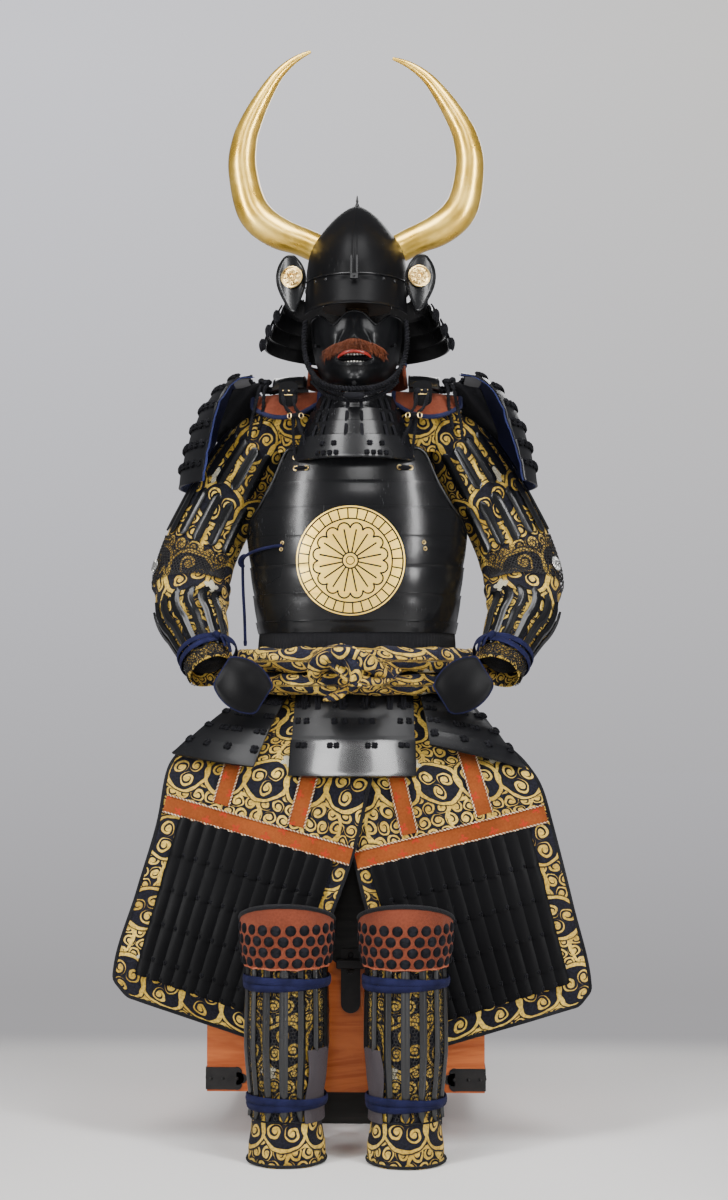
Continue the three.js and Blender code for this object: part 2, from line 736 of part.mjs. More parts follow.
// The rolled sash is thick in front, where it is knotted, and thin behind.
function buildSash() {
  for (const [name, height, thick, thin, dip] of [
    ["upper", 744, 23, 12, 6],
    ["lower", 703, 19, 11, 4],
  ]) {
    const steps = 24;
    const rings = Array.from({ length: steps }, (_, j) => {
      const degrees = (j / steps) * 360;
      const front = (1 + Math.cos(radians(degrees))) / 2;
      const radius = mix(thin, thick, front ** 0.8);
      const z = height - dip * front;
      const middle = trunk(degrees, z, radius + 4);
      const outward = V(middle.x, middle.y, 0).normalize();
      return Array.from({ length: 8 }, (_, i) => {
        const angle = (i / 8) * 2 * Math.PI;
        return middle
          .clone()
          .addScaledVector(outward, radius * Math.cos(angle))
          .add(V(0, 0, radius * 0.93 * Math.sin(angle)));
      });
    });
    add("sash_" + name, hoop(rings), "brocade");
  }
  // The knot stands out in front of both rolls.
  const knot = [
    { x: -66, z: 720, r: 8 },
    { x: -56, z: 724, r: 25 },
    { x: -36, z: 728, r: 33 },
    { x: -8, z: 726, r: 33 },
    { x: 24, z: 720, r: 29 },
    { x: 56, z: 713, r: 22 },
    { x: 74, z: 709, r: 7 },
  ];
  const rings = knot.map(({ x, z, r }) => {
    const y = -190 + 0.0016 * x * x;
    return Array.from({ length: 12 }, (_, i) => {
      const angle = (i / 12) * 2 * Math.PI;
      return V(x, y + 0.5 * r * Math.cos(angle), z + 1.1 * r * Math.sin(angle));
    });
  });
  add("sash_knot", loft(rings), "brocade");
}

function buildTassets() {
  for (const [name, { top, corners, bulge }] of Object.entries(TASSETS)) {
    const [first, second] = corners.map(([x, y, z]) => V(x, y, z));
    const panel = (u, v) => {
      const upper = trunk(mix(top[0], top[1], u), 691.5, -3).add(V(0, 0, -v * 4));
      const lower = first.clone().lerp(second, u);
      const out = V(lower.x, lower.y, 0).normalize().multiplyScalar(bulge * 4 * u * (1 - u) * v);
      const point = upper.lerp(lower, v).add(out);
      return point.addScaledVector(V(0, 0, 1), 8 * Math.sin(Math.PI * v));
    };
    const { rows, rise } = lamed([0, 1, 2, 3, 4, 5], 2);
    const { x, y } = panel(0.5, 0.5);
    const turn = Math.sign(normalOf(panel, 0.5, 0.5).dot(V(x, y, 0)));
    add(
      "tasset_" + name,
      wall(4, rows, moved(panel, (u, v) => turn * (PLATE + rise(v))), panel),
      "lacquer",
    );
  }
}

function apronPanel(side) {
  const ahead = side === "right" ? 11 : 0; // the right panel laps over the left in the middle
  return (u, v) => {
    const row = at(APRON[side], "down", v);
    const [x, z] = [mix(row.inX, row.outX, u), mix(row.inZ, row.outZ, u)];
    const { forward, wrap } = at(DRAPE, "z", z);
    const curl = Math.max(0, 1 - Math.abs(x / wrap) ** 3) ** (1 / 3);
    return V(x, -forward * curl - ahead * (1 - u) ** 2, z);
  };
}

function buildApron() {
  const rows = [0, 0.07, 0.14, 0.2, 0.3, 0.4, 0.52, 0.64, 0.8, 0.93, 1];
  for (const [side, s] of [["right", -1], ["left", 1]]) {
    const panel = apronPanel(side);
    add("thigh_apron_" + side, wall(8, rows, panel, moved(panel, CLOTH * -s)), "brocade");
  }
}

// ---------------------------------------------------------------- shin guards

function buildShins() {
  for (const [side, s] of [["right", -1], ["left", 1]]) {
    const guard = (spread) => (u, v) => {
      const z = mix(0, SHIN_TOP, v);
      const { a, b } = at(SHIN, "z", z);
      const point = oval(mix(-138, 138, u), a + spread, b + spread, b + spread, z, 2.1);
      return point.add(V(s * LEG.x + LEG.lean, LEG.y, 0));
    };
    const levels = SHIN.map((row) => row.z / SHIN_TOP);
    add("shin_guard_" + side, wall(16, levels, guard(0), guard(-3)), "brocade");
    const knee = (spread) => (u, v) => {
      const degrees = mix(-108, 108, u);
      const top = 330 + 46 * Math.cos(radians(degrees * 0.62)) ** 1.4;
      const z = mix(KNEE[0].z, top, v);
      const { a, b } = at(KNEE, "z", z);
      const point = oval(degrees, a + spread, b + spread, b + spread, z, 2.1);
      return point.add(V(s * LEG.x + LEG.lean, LEG.y, 0));
    };
    add("knee_pad_" + side, wall(14, 3, knee(2), knee(-3)), "rust_cloth");
  }
}

// The side cord ties the cuirass shut on the wearer's right, and its ends hang from the knot.
function buildSideCord() {
  const cord = [
    V(-116, -104, 922),
    V(-134, -98, 920),
    V(-158, -80, 916),
    V(-176, -56, 911),
    V(-186, -34, 905),
    V(-187, -26, 886),
    V(-186, -28, 855),
    V(-183, -34, 812),
    V(-181, -40, 770),
  ];
  add("side_cord", tube(cord, 2.6, 22, 8), "navy_cloth");
}

buildChest();
buildStand();
buildCuirass();
buildShoulders();
buildHelmet();
buildMask();
buildSleeves();
buildShoulderGuards();
buildSash();
buildTassets();
buildApron();
buildShins();
buildSideCord();

// The origin is on the floor, under the middle of the suit's whole outline.
const outline = new THREE.Box3().setFromObject(suit);
const middle = outline.getCenter(V());
suit.position.set(-middle.x, -middle.y, -outline.min.z);

export default suit;
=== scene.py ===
"""Samurai armour set out on its storage chest, with its finished surfaces.

Tables and shapes are in millimetres in the suit's own frame: the front faces -Y, +X is the wearer's
left, and x = 0, y = 0 is the upright through the stand. laid_out() turns them into metres in the
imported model's frame.
"""
import math
from types import SimpleNamespace

import bmesh
import bpy
import numpy as np
from mathutils import Matrix, Vector
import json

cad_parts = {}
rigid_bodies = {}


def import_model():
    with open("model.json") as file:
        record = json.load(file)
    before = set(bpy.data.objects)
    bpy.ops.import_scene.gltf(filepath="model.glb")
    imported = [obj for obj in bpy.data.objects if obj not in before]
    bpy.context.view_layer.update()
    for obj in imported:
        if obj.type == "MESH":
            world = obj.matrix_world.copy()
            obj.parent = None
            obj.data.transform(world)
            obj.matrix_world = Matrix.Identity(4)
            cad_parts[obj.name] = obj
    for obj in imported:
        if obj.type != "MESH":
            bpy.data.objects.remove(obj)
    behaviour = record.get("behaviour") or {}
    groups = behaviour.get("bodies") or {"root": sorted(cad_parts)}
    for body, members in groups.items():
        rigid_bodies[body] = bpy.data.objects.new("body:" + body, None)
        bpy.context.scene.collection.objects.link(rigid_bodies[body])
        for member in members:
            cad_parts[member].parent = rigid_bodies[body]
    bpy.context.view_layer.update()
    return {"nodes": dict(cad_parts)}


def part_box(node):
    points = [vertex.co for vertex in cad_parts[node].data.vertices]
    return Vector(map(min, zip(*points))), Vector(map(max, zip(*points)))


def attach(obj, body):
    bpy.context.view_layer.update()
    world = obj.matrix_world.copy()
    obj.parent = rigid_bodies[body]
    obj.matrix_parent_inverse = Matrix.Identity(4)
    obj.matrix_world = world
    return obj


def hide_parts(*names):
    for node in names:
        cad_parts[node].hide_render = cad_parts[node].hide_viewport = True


for start_up in list(bpy.data.objects):
    bpy.data.objects.remove(start_up)
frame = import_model()

MM = 0.001
CHEST_MIDDLE = (-12, 50)  # where the chest stands, from the upright through the stand
chest_low, chest_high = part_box("chest_body")
SHIFT = np.array([
    (chest_low[0] + chest_high[0]) / 2 / MM - CHEST_MIDDLE[0],
    (chest_low[1] + chest_high[1]) / 2 / MM - CHEST_MIDDLE[1],
    0.0,
])
SIDES = (("right", -1), ("left", 1))  # the wearer's right is -X


def laid_out(points):
    """Points of the suit's own frame, in millimetres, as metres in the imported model's frame."""
    return (np.asarray(points, float) + SHIFT) * MM


# ---------------------------------------------------------------- camera

def place_camera():
    lens = bpy.data.cameras.new("camera")
    lens.lens = 53.64
    camera = bpy.data.objects.new("camera", lens)
    camera.location = laid_out((114.4, -2947.8, 675))
    camera.rotation_euler = (math.radians(93.2), 0, math.radians(2))
    bpy.context.collection.objects.link(camera)
    bpy.context.scene.camera = camera


# ---------------------------------------------------------------- shapes

def table(columns, *rows):
    """A table of numbers with named columns, sorted by its first column."""
    names = columns.split()
    values = np.array(sorted(rows), float)
    return {name: values[:, k] for k, name in enumerate(names)}


def slopes(x, y):
    """Slopes for a smooth curve through the points that doesn't swing past them."""
    step = np.diff(y) / np.diff(x)
    inner = np.where(
        step[:-1] * step[1:] > 0, 2 * step[:-1] * step[1:] / (step[:-1] + step[1:] + 1e-12), 0
    )
    return np.concatenate([step[:1], inner, step[-1:]])


def at(rows, place):
    """The row of a table at a place along its first column, on a smooth curve between its rows."""
    key = next(iter(rows))
    x = rows[key]
    place = np.clip(np.asarray(place, float), x[0], x[-1])
    k = np.clip(np.searchsorted(x, place, side="right") - 1, 0, len(x) - 2)
    span = x[k + 1] - x[k]
    t = (place - x[k]) / span
    out = {}
    for name, y in rows.items():
        m = slopes(x, y)
        out[name] = (
            (2 * t**3 - 3 * t**2 + 1) * y[k] + (t**3 - 2 * t**2 + t) * span * m[k]
            + (3 * t**2 - 2 * t**3) * y[k + 1] + (t**3 - t**2) * span * m[k + 1]
        )
    return SimpleNamespace(**out)


def mix(a, b, t):
    return a + (b - a) * t


def smooth(low, high, value):
    """A soft step from 0 to 1."""
    t = np.clip((np.asarray(value, float) - low) / (high - low), 0, 1)
    return t * t * (3 - 2 * t)


def xyz(x, y, z):
    return np.stack(np.broadcast_arrays(x, y, z), axis=-1).astype(float)


def oval(degrees, a, front, back, z, power=2.0):
    """Points on an oval section: 0 degrees is the front, and it turns to the wearer's left."""
    s, c = np.sin(np.radians(degrees)), np.cos(np.radians(degrees))
    rounded = lambda v: np.sign(v) * np.abs(v) ** (2 / power)
    return xyz(a * rounded(s), -np.where(c > 0, front, back) * rounded(c), z)


def spread_out(columns, rows):
    """The shares, 0 to 1, of a grid's columns and rows; rows may be a list of shares."""
    us = np.linspace(0, 1, columns + 1) if np.isscalar(columns) else np.asarray(columns, float)
    vs = np.linspace(0, 1, rows + 1) if np.isscalar(rows) else np.asarray(rows, float)
    return np.meshgrid(us, vs)


def unit(vectors):
    return vectors / np.maximum(np.linalg.norm(vectors, axis=-1, keepdims=True), 1e-9)


def outward(points, centre, closed=False):
    """Unit normals of a grid of points, turned away from a centre."""
    if closed:
        ring = np.concatenate([points[:, -2:-1], points, points[:, 1:2]], axis=1)
        across = (ring[:, 2:] - ring[:, :-2])
    else:
        across = np.gradient(points, axis=1)
    along = np.gradient(points, axis=0)
    normals = unit(np.cross(across, along))
    away = np.sum(normals * (points - np.asarray(centre, float)))
    return normals if away > 0 else -normals


def flat_lengths(points):
    """Lengths across and down a grid of points in metres, the cloth's own cut: the middle is 0."""
    def run(steps, axis):
        total = np.cumsum(steps, axis=axis)
        pad = [(0, 0), (0, 0)]
        pad[axis] = (1, 0)
        return np.pad(total, pad)
    across = run(np.linalg.norm(np.diff(points, axis=1), axis=-1), 1)
    down = run(np.linalg.norm(np.diff(points, axis=0), axis=-1), 0)
    across = across - across[:, points.shape[1] // 2][:, None]
    down = np.repeat(down[:, points.shape[1] // 2][:, None], points.shape[1], axis=1)
    return np.stack([across, down], axis=-1) * MM


def wall_mesh(outer, inner, closed=False, cut=None):
    """Points, faces and cloth lengths of a wall between two grids; faces point outwards."""
    rows, columns = outer.shape[:2]
    count = rows * columns
    points = np.concatenate([outer.reshape(-1, 3), inner.reshape(-1, 3)])
    cut = flat_lengths(outer) if cut is None else cut
    lengths = np.concatenate([cut.reshape(-1, 2)] * 2)
    ids = np.arange(count).reshape(rows, columns)
    quad = lambda a, b, c, d: np.stack([a, b, c, d], axis=-1).reshape(-1, 4)
    faces = [quad(ids[:-1, :-1], ids[:-1, 1:], ids[1:, 1:], ids[1:, :-1])]
    faces.append(faces[0][:, ::-1] + count)
    for edge in (ids[0], ids[-1][::-1]):
        faces.append(quad(edge[1:], edge[:-1], edge[:-1] + count, edge[1:] + count))
    if not closed:
        for edge in (ids[:, -1], ids[::-1, 0]):
            faces.append(quad(edge[1:], edge[:-1], edge[:-1] + count, edge[1:] + count))
    faces = np.concatenate(faces)
    a, b, d = (outer[0, 0], outer[0, 1], outer[1, 0])
    if np.dot(np.cross(b - a, d - a), outer[0, 0] - inner[0, 0]) < 0:
        faces = faces[:, ::-1]
    return points, faces, lengths


def hollow(surface, thick, centre, columns, rows, closed=False, rise=None, cut=None):
    """A wall of even thickness whose outer face is surface(u, v), raised by rise(u, v)."""
    u, v = spread_out(columns, rows)
    base = surface(u, v)
    normals = outward(base, centre, closed)
    if closed:
        normals[:, -1] = normals[:, 0]
    outer = base if rise is None else base + normals * rise(u, v)[..., None]
    return wall_mesh(outer, base - normals * thick, closed, cut)


def along_path(points, count):
    """A smooth path through points, with its even steps."""
    points = np.asarray(points, float)
    lengths = np.concatenate([[0], np.cumsum(np.linalg.norm(np.diff(points, axis=0), axis=1))])
    t = np.linspace(0, lengths[-1], count)
    fine = catmull(points, lengths, t)
    steps = np.concatenate([[0], np.cumsum(np.linalg.norm(np.diff(fine, axis=0), axis=1))])
    even = np.linspace(0, steps[-1], count)
    return np.stack([np.interp(even, steps, fine[:, k]) for k in range(3)], axis=1)


def catmull(points, knots, places):
    """Points at places on a curve that passes smoothly through points at the knots."""
    slope = np.gradient(points, knots, axis=0)
    k = np.clip(np.searchsorted(knots, places, side="right") - 1, 0, len(knots) - 2)
    span = (knots[k + 1] - knots[k])[:, None]
    t = ((places - knots[k]) / span[:, 0])[:, None]
    return (
        (2 * t**3 - 3 * t**2 + 1) * points[k] + (t**3 - 2 * t**2 + t) * span * slope[k]
        + (3 * t**2 - 2 * t**3) * points[k + 1] + (t**3 - t**2) * span * slope[k + 1]
    )


def frames_along(path, up=(0, 0, 1), closed=False):
    """Two directions square to a path at each point, which turn as little as they can."""
    if closed:
        tangents = unit(np.roll(path, -1, axis=0) - np.roll(path, 1, axis=0))
    else:
        tangents = unit(np.gradient(path, axis=0))
    normal = np.cross(tangents[0], np.asarray(up, float))
    if np.linalg.norm(normal) < 1e-3:
        normal = np.cross(tangents[0], (1.0, 0, 0))
    normals = []
    for tangent in tangents:
        normal = normal - tangent * np.dot(normal, tangent)
        normal = normal / np.linalg.norm(normal)
        normals.append(normal)
    normals = np.array(normals)
    return normals, np.cross(tangents, normals)


def tube_mesh(path, radius, sides=12, flat=1.0, up=(0, 0, 1), closed=False, pinch=None):
    """A round or flattened tube along a path; radius may be one for each point."""
    path = np.asarray(path, float)
    normals, others = frames_along(path, up, closed)
    radius = np.broadcast_to(radius, len(path))[:, None, None]
    angle = np.linspace(0, 2 * np.pi, sides, endpoint=False)[None, :, None]
    shape = 1 if pinch is None else pinch(np.arange(len(path))[:, None], angle[..., 0])[..., None]
    rings = path[:, None] + radius * shape * (
        np.cos(angle) * normals[:, None] + np.sin(angle) * flat * others[:, None]
    )
    return rings_mesh(rings, closed)


def rings_mesh(rings, closed=False):
    """A closed solid through rings of points, with round caps unless it is a hoop."""
    count, sides = rings.shape[:2]
    points = rings.reshape(-1, 3)
    ids = np.arange(count * sides).reshape(count, sides)
    nxt = np.roll(ids, -1, axis=1)
    low, high = (ids, np.roll(ids, -1, axis=0)) if closed else (ids[:-1], ids[1:])
    low_n, high_n = (nxt, np.roll(nxt, -1, axis=0)) if closed else (nxt[:-1], nxt[1:])
    faces = np.stack([low, low_n, high_n, high], axis=-1).reshape(-1, 4)
    length = np.concatenate([[0], np.cumsum(
        np.linalg.norm(np.diff(rings.mean(axis=1), axis=0), axis=1))])
    girth = np.linalg.norm(rings[:, 1] - rings[:, 0], axis=-1).mean() * np.arange(sides)
    lengths = np.stack(np.meshgrid(girth, length), axis=-1).reshape(-1, 2) * MM
    faces = [list(face) for face in faces]
    if not closed:
        points = np.concatenate([points, rings[0].mean(axis=0)[None], rings[-1].mean(axis=0)[None]])
        lengths = np.concatenate([lengths, lengths[:1], lengths[-1:]])
        first, last = count * sides, count * sides + 1
        faces += [[ids[0, (i + 1) % sides], ids[0, i], first] for i in range(sides)]
        faces += [[ids[-1, i], ids[-1, (i + 1) % sides], last] for i in range(sides)]
    if volume_of(points, faces) < 0:
        faces = [face[::-1] for face in faces]
    return points, faces, lengths


def volume_of(points, faces):
    """The space inside a closed mesh, less than nothing where its faces point inwards."""
    fans = np.array([(face[0], face[k], face[k + 1]) for face in faces for k in range(1, len(face) - 1)])
    a, b, c = (points[fans[:, k]] for k in range(3))
    return float(np.sum(a * np.cross(b, c)))


def together(*meshes):
    """Several meshes as one."""
    points, faces, lengths, start = [], [], [], 0
    for p, f, l in meshes:
        points.append(p)
        lengths.append(l)
        faces += [[i + start for i in face] for face in np.asarray(f).tolist()] if isinstance(
            f, np.ndarray) else [[i + start for i in face] for face in f]
        start += len(p)
    return np.concatenate(points), faces, np.concatenate(lengths)


def block_mesh(low, high, bevel=0.0):
    """A box with its edges taken off."""
    low, high = np.asarray(low, float), np.asarray(high, float)
    middle, half = (low + high) / 2, (high - low) / 2
    bevel = min(bevel, half.min() * 0.9)
    rings = []
    for z, inset in ((-1, 1), (-1, 0), (1, 0), (1, 1)):
        height = z * (half[2] - (0 if inset else bevel))
        x, y = half[0] - bevel * inset, half[1] - bevel * inset
        c = min(bevel, min(x, y) * 0.5)
        ring = [(x - c, -y), (x, -y + c), (x, y - c), (x - c, y), (-x + c, y), (-x, y - c),
                (-x, -y + c), (-x + c, -y)]
        rings.append([(px, py, height) for px, py in ring])
    return rings_mesh(np.array(rings) + middle)


def dome_mesh(centre, normal, radius, height, sides=16, steps=4):
    """A low round boss on a surface, closed underneath."""
    normal = unit(np.asarray(normal, float))
    side = unit(np.cross(normal, (0.0, 0, 1) if abs(normal[2]) < 0.9 else (1.0, 0, 0)))
    other = np.cross(normal, side)
    angle = np.linspace(0, 2 * np.pi, sides, endpoint=False)[:, None]
    spokes = np.cos(angle) * side + np.sin(angle) * other
    rings = []
    for t in np.linspace(0, math.pi / 2 * 0.96, steps):
        ring = np.asarray(centre) + spokes * radius * math.cos(t) + normal * height * math.sin(t)
        rings.append(ring)
    return rings_mesh(np.array([np.asarray(centre) + spokes * radius - normal * 0.6, *rings]))


# ---------------------------------------------------------------- finishes

def sockets(group, **kinds):
    """Gives a shader group its inputs and outputs: name=(in or out, type, value)."""
    for name, (way, kind, value) in kinds.items():
        label = name.replace("_", " ")
        socket = group.interface.new_socket(
            label, in_out="INPUT" if way == "in" else "OUTPUT", socket_type="NodeSocket" + kind)
        if value is not None:
            socket.default_value = value


class Nodes:
    """Short ways to add and join shader nodes in one tree."""

    def __init__(self, tree):
        self.tree = tree

    def add(self, kind, **values):
        whole = kind.startswith(("NodeGroup", "Geometry", "Function"))
        node = self.tree.nodes.new(kind if whole else "ShaderNode" + kind)
        for name, value in values.items():
            setattr(node, name, value)
        return node

    def put(self, socket, value):
        if isinstance(value, bpy.types.NodeSocket):
            self.tree.links.new(value, socket)
        elif value is not None:
            socket.default_value = value

    def math(self, operation, *values, clamp=False):
        node = self.add("Math", operation=operation, use_clamp=clamp)
        for socket, value in zip(node.inputs, values):
            self.put(socket, value)
        return node.outputs[0]

    def vector(self, operation, *values, out=0):
        node = self.add("VectorMath", operation=operation)
        spots = [s for s in node.inputs if s.enabled]
        for socket, value in zip(spots, values):
            self.put(socket, value)
        return node.outputs["Value"] if out == "value" else node.outputs[0]

    def xyz(self, vector):
        node = self.add("SeparateXYZ")
        self.put(node.inputs[0], vector)
        return node.outputs[0], node.outputs[1], node.outputs[2]

    def join(self, x, y, z=0.0):
        node = self.add("CombineXYZ")
        for socket, value in zip(node.inputs, (x, y, z)):
            self.put(socket, value)
        return node.outputs[0]

    def noise(self, vector, scale, detail=2.0, rough=0.5, color=False, distortion=0.0):
        node = self.add("TexNoise")
        self.put(node.inputs["Vector"], vector)
        self.put(node.inputs["Scale"], scale)
        self.put(node.inputs["Detail"], detail)
        self.put(node.inputs["Roughness"], rough)
        self.put(node.inputs["Distortion"], distortion)
        return node.outputs["Color" if color else "Fac"]

    def white(self, vector, color=False):
        node = self.add("TexWhiteNoise", noise_dimensions="3D")
        self.put(node.inputs["Vector"], vector)
        return node.outputs["Color" if color else "Value"]

    def step(self, value, low, high, a=0.0, b=1.0):
        """A soft step of the value, from a below low to b above high."""
        node = self.add("MapRange", interpolation_type="SMOOTHSTEP")
        for socket, number in zip(node.inputs, (value, low, high, a, b)):
            self.put(socket, number)
        return node.outputs[0]

    def line(self, value, low, high, a=0.0, b=1.0):
        node = self.add("MapRange")
        for socket, number in zip(node.inputs, (value, low, high, a, b)):
            self.put(socket, number)
        return node.outputs[0]

    def blend(self, share, a, b, how="MIX"):
        node = self.add("Mix", data_type="RGBA", blend_type=how)
        self.put(node.inputs[0], share)
        self.put(node.inputs[6], paint(a))
        self.put(node.inputs[7], paint(b))
        return node.outputs[2]

    def either(self, *masks):
        out = masks[0]
        for mask in masks[1:]:
            out = self.math("MAXIMUM", out, mask)
        return out

    def both(self, *masks):
        out = masks[0]
        for mask in masks[1:]:
            out = self.math("MULTIPLY", out, mask)
        return out

    def bump(self, height, distance, strength=1.0, normal=None):
        node = self.add("Bump")
        self.put(node.inputs["Height"], height)
        node.inputs["Distance"].default_value = distance
        node.inputs["Strength"].default_value = strength
        self.put(node.inputs["Normal"], normal)
        return node.outputs[0]

    def group(self, name, **values):
        node = self.add("Group", node_tree=GROUPS[name])
        for label, value in values.items():
            self.put(node.inputs[label.replace("_", " ")], value)
        return node.outputs

    def object_place(self):
        return self.add("TexCoord").outputs["Object"]

    def cloth_place(self):
        return self.add("TexCoord").outputs["UV"]


def paint(value):
    """A colour as four numbers; sockets are passed on."""
    if isinstance(value, (tuple, list)):
        return (*value[:3], 1.0)
    return value


GROUPS = {}


def shader_group(name, **kinds):
    """A new shader group with its input and output nodes."""
    tree = bpy.data.node_groups.new(name, "ShaderNodeTree")
    sockets(tree, **kinds)
    nodes = Nodes(tree)
    inputs = nodes.add("NodeGroupInput").outputs
    outputs = nodes.add("NodeGroupOutput").inputs
    GROUPS[name] = tree
    return nodes, inputs, outputs


def make_wear():
    """Slow unevenness and fine marks of handling on a hard finish."""
    n, into, out = shader_group(
        "wear", Place=("in", "Vector", None), Marks=("in", "Float", 1.0),
        Cloud=("out", "Float", None), Scratch=("out", "Float", None))
    cloud = n.noise(into["Place"], 9.0, 3.0)
    stretched = n.vector("MULTIPLY", into["Place"], (1.0, 1.0, 0.22))
    scratch = n.noise(stretched, 420.0, 2.0, 0.6)
    fine = n.step(scratch, 0.63, 0.7)
    patch = n.step(n.noise(into["Place"], 14.0, 2.0), 0.5, 0.68)
    n.put(out["Cloud"], cloud)
    n.put(out["Scratch"], n.math("MULTIPLY", n.both(fine, patch), into["Marks"]))


def make_weave():
    """Over-and-under threads from the cloth's own lengths: height and thread mask."""
    n, into, out = shader_group(
        "weave", Cut=("in", "Vector", None), Threads=("in", "Float", 1500.0),
        Height=("out", "Float", None), Fuzz=("out", "Float", None))
    scaled = n.vector("SCALE", into["Cut"])
    n.put(scaled.node.inputs["Scale"], into["Threads"])
    x, y, _ = n.xyz(scaled)
    warp = n.math("ABSOLUTE", n.math("SINE", n.math("MULTIPLY", x, math.pi)))
    weft = n.math("ABSOLUTE", n.math("SINE", n.math("MULTIPLY", y, math.pi)))
    turn = n.math("MODULO", n.math("ADD", n.math("FLOOR", x), n.math("FLOOR", y)), 2.0)
    over = n.math("ABSOLUTE", turn)
    height = n.math("ADD", n.math("MULTIPLY", warp, over),
                    n.math("MULTIPLY", weft, n.math("SUBTRACT", 1.0, over)))
    n.put(out["Height"], height)
    n.put(out["Fuzz"], n.noise(into["Cut"], 260.0, 3.0, 0.6))


def make_roundel_cell():
    """Cells of a staggered lattice: place from the cell's middle, its radius, angle and chance."""
    n, into, out = shader_group(
        "roundel cell", Cut=("in", "Vector", None), Pitch=("in", "Vector", (1, 1, 1)),
        Start=("in", "Vector", (0, 0, 0)),
        Radius=("out", "Float", None), Angle=("out", "Float", None),
        Chance=("out", "Float", None), Place=("out", "Vector", None))
    share = n.vector("DIVIDE", n.vector("SUBTRACT", into["Cut"], into["Start"]), into["Pitch"])
    x, y, _ = n.xyz(share)
    row = n.math("FLOOR", y)
    odd = n.math("ABSOLUTE", n.math("MODULO", row, 2.0))
    x = n.math("ADD", x, n.math("MULTIPLY", odd, 0.5))
    column = n.math("FLOOR", x)
    place = n.join(n.math("SUBTRACT", n.math("FRACT", x), 0.5),
                   n.math("SUBTRACT", n.math("FRACT", y), 0.5))
    place = n.vector("MULTIPLY", place, into["Pitch"])
    px, py, _ = n.xyz(place)
    n.put(out["Radius"], n.vector("LENGTH", place, out="value"))
    n.put(out["Angle"], n.math("ARCTAN2", py, px))
    n.put(out["Chance"], n.white(n.join(column, row, 3.0)))
    n.put(out["Place"], place)


def make_curl():
    """A curled tendril with a round bud, in a cell of the lattice."""
    n, into, out = shader_group(
        "curl", Radius=("in", "Float", 0.0), Angle=("in", "Float", 0.0),
        Chance=("in", "Float", 0.0), Size=("in", "Float", 0.01), Width=("in", "Float", 0.001),
        Mask=("out", "Float", None))
    flip = n.math("SUBTRACT", n.math("MULTIPLY", n.math("ROUND", into["Chance"]), 2.0), 1.0)
    turned = n.math("ADD", n.math("MULTIPLY", into["Angle"], flip),
                    n.math("MULTIPLY", into["Chance"], 40.0))
    turn = n.math("DIVIDE", turned, 2 * math.pi)
    # The arm's radius grows by half the curl's size in each turn.
    radius = n.math("DIVIDE", into["Radius"], n.math("MULTIPLY", into["Size"], 0.62))
    off = n.math("SUBTRACT", radius, turn)
    off = n.math("SUBTRACT", off, n.math("ROUND", off))
    gap = n.math("MULTIPLY", n.math("ABSOLUTE", off), n.math("MULTIPLY", into["Size"], 0.62))
    arm = n.step(gap, into["Width"], n.math("MULTIPLY", into["Width"], 0.8))
    inside = n.step(into["Radius"], into["Size"], n.math("MULTIPLY", into["Size"], 0.94))
    bud = n.step(into["Radius"], n.math("MULTIPLY", into["Width"], 1.9),
                 n.math("MULTIPLY", into["Width"], 1.6))
    n.put(out["Mask"], n.either(n.both(arm, inside), bud))


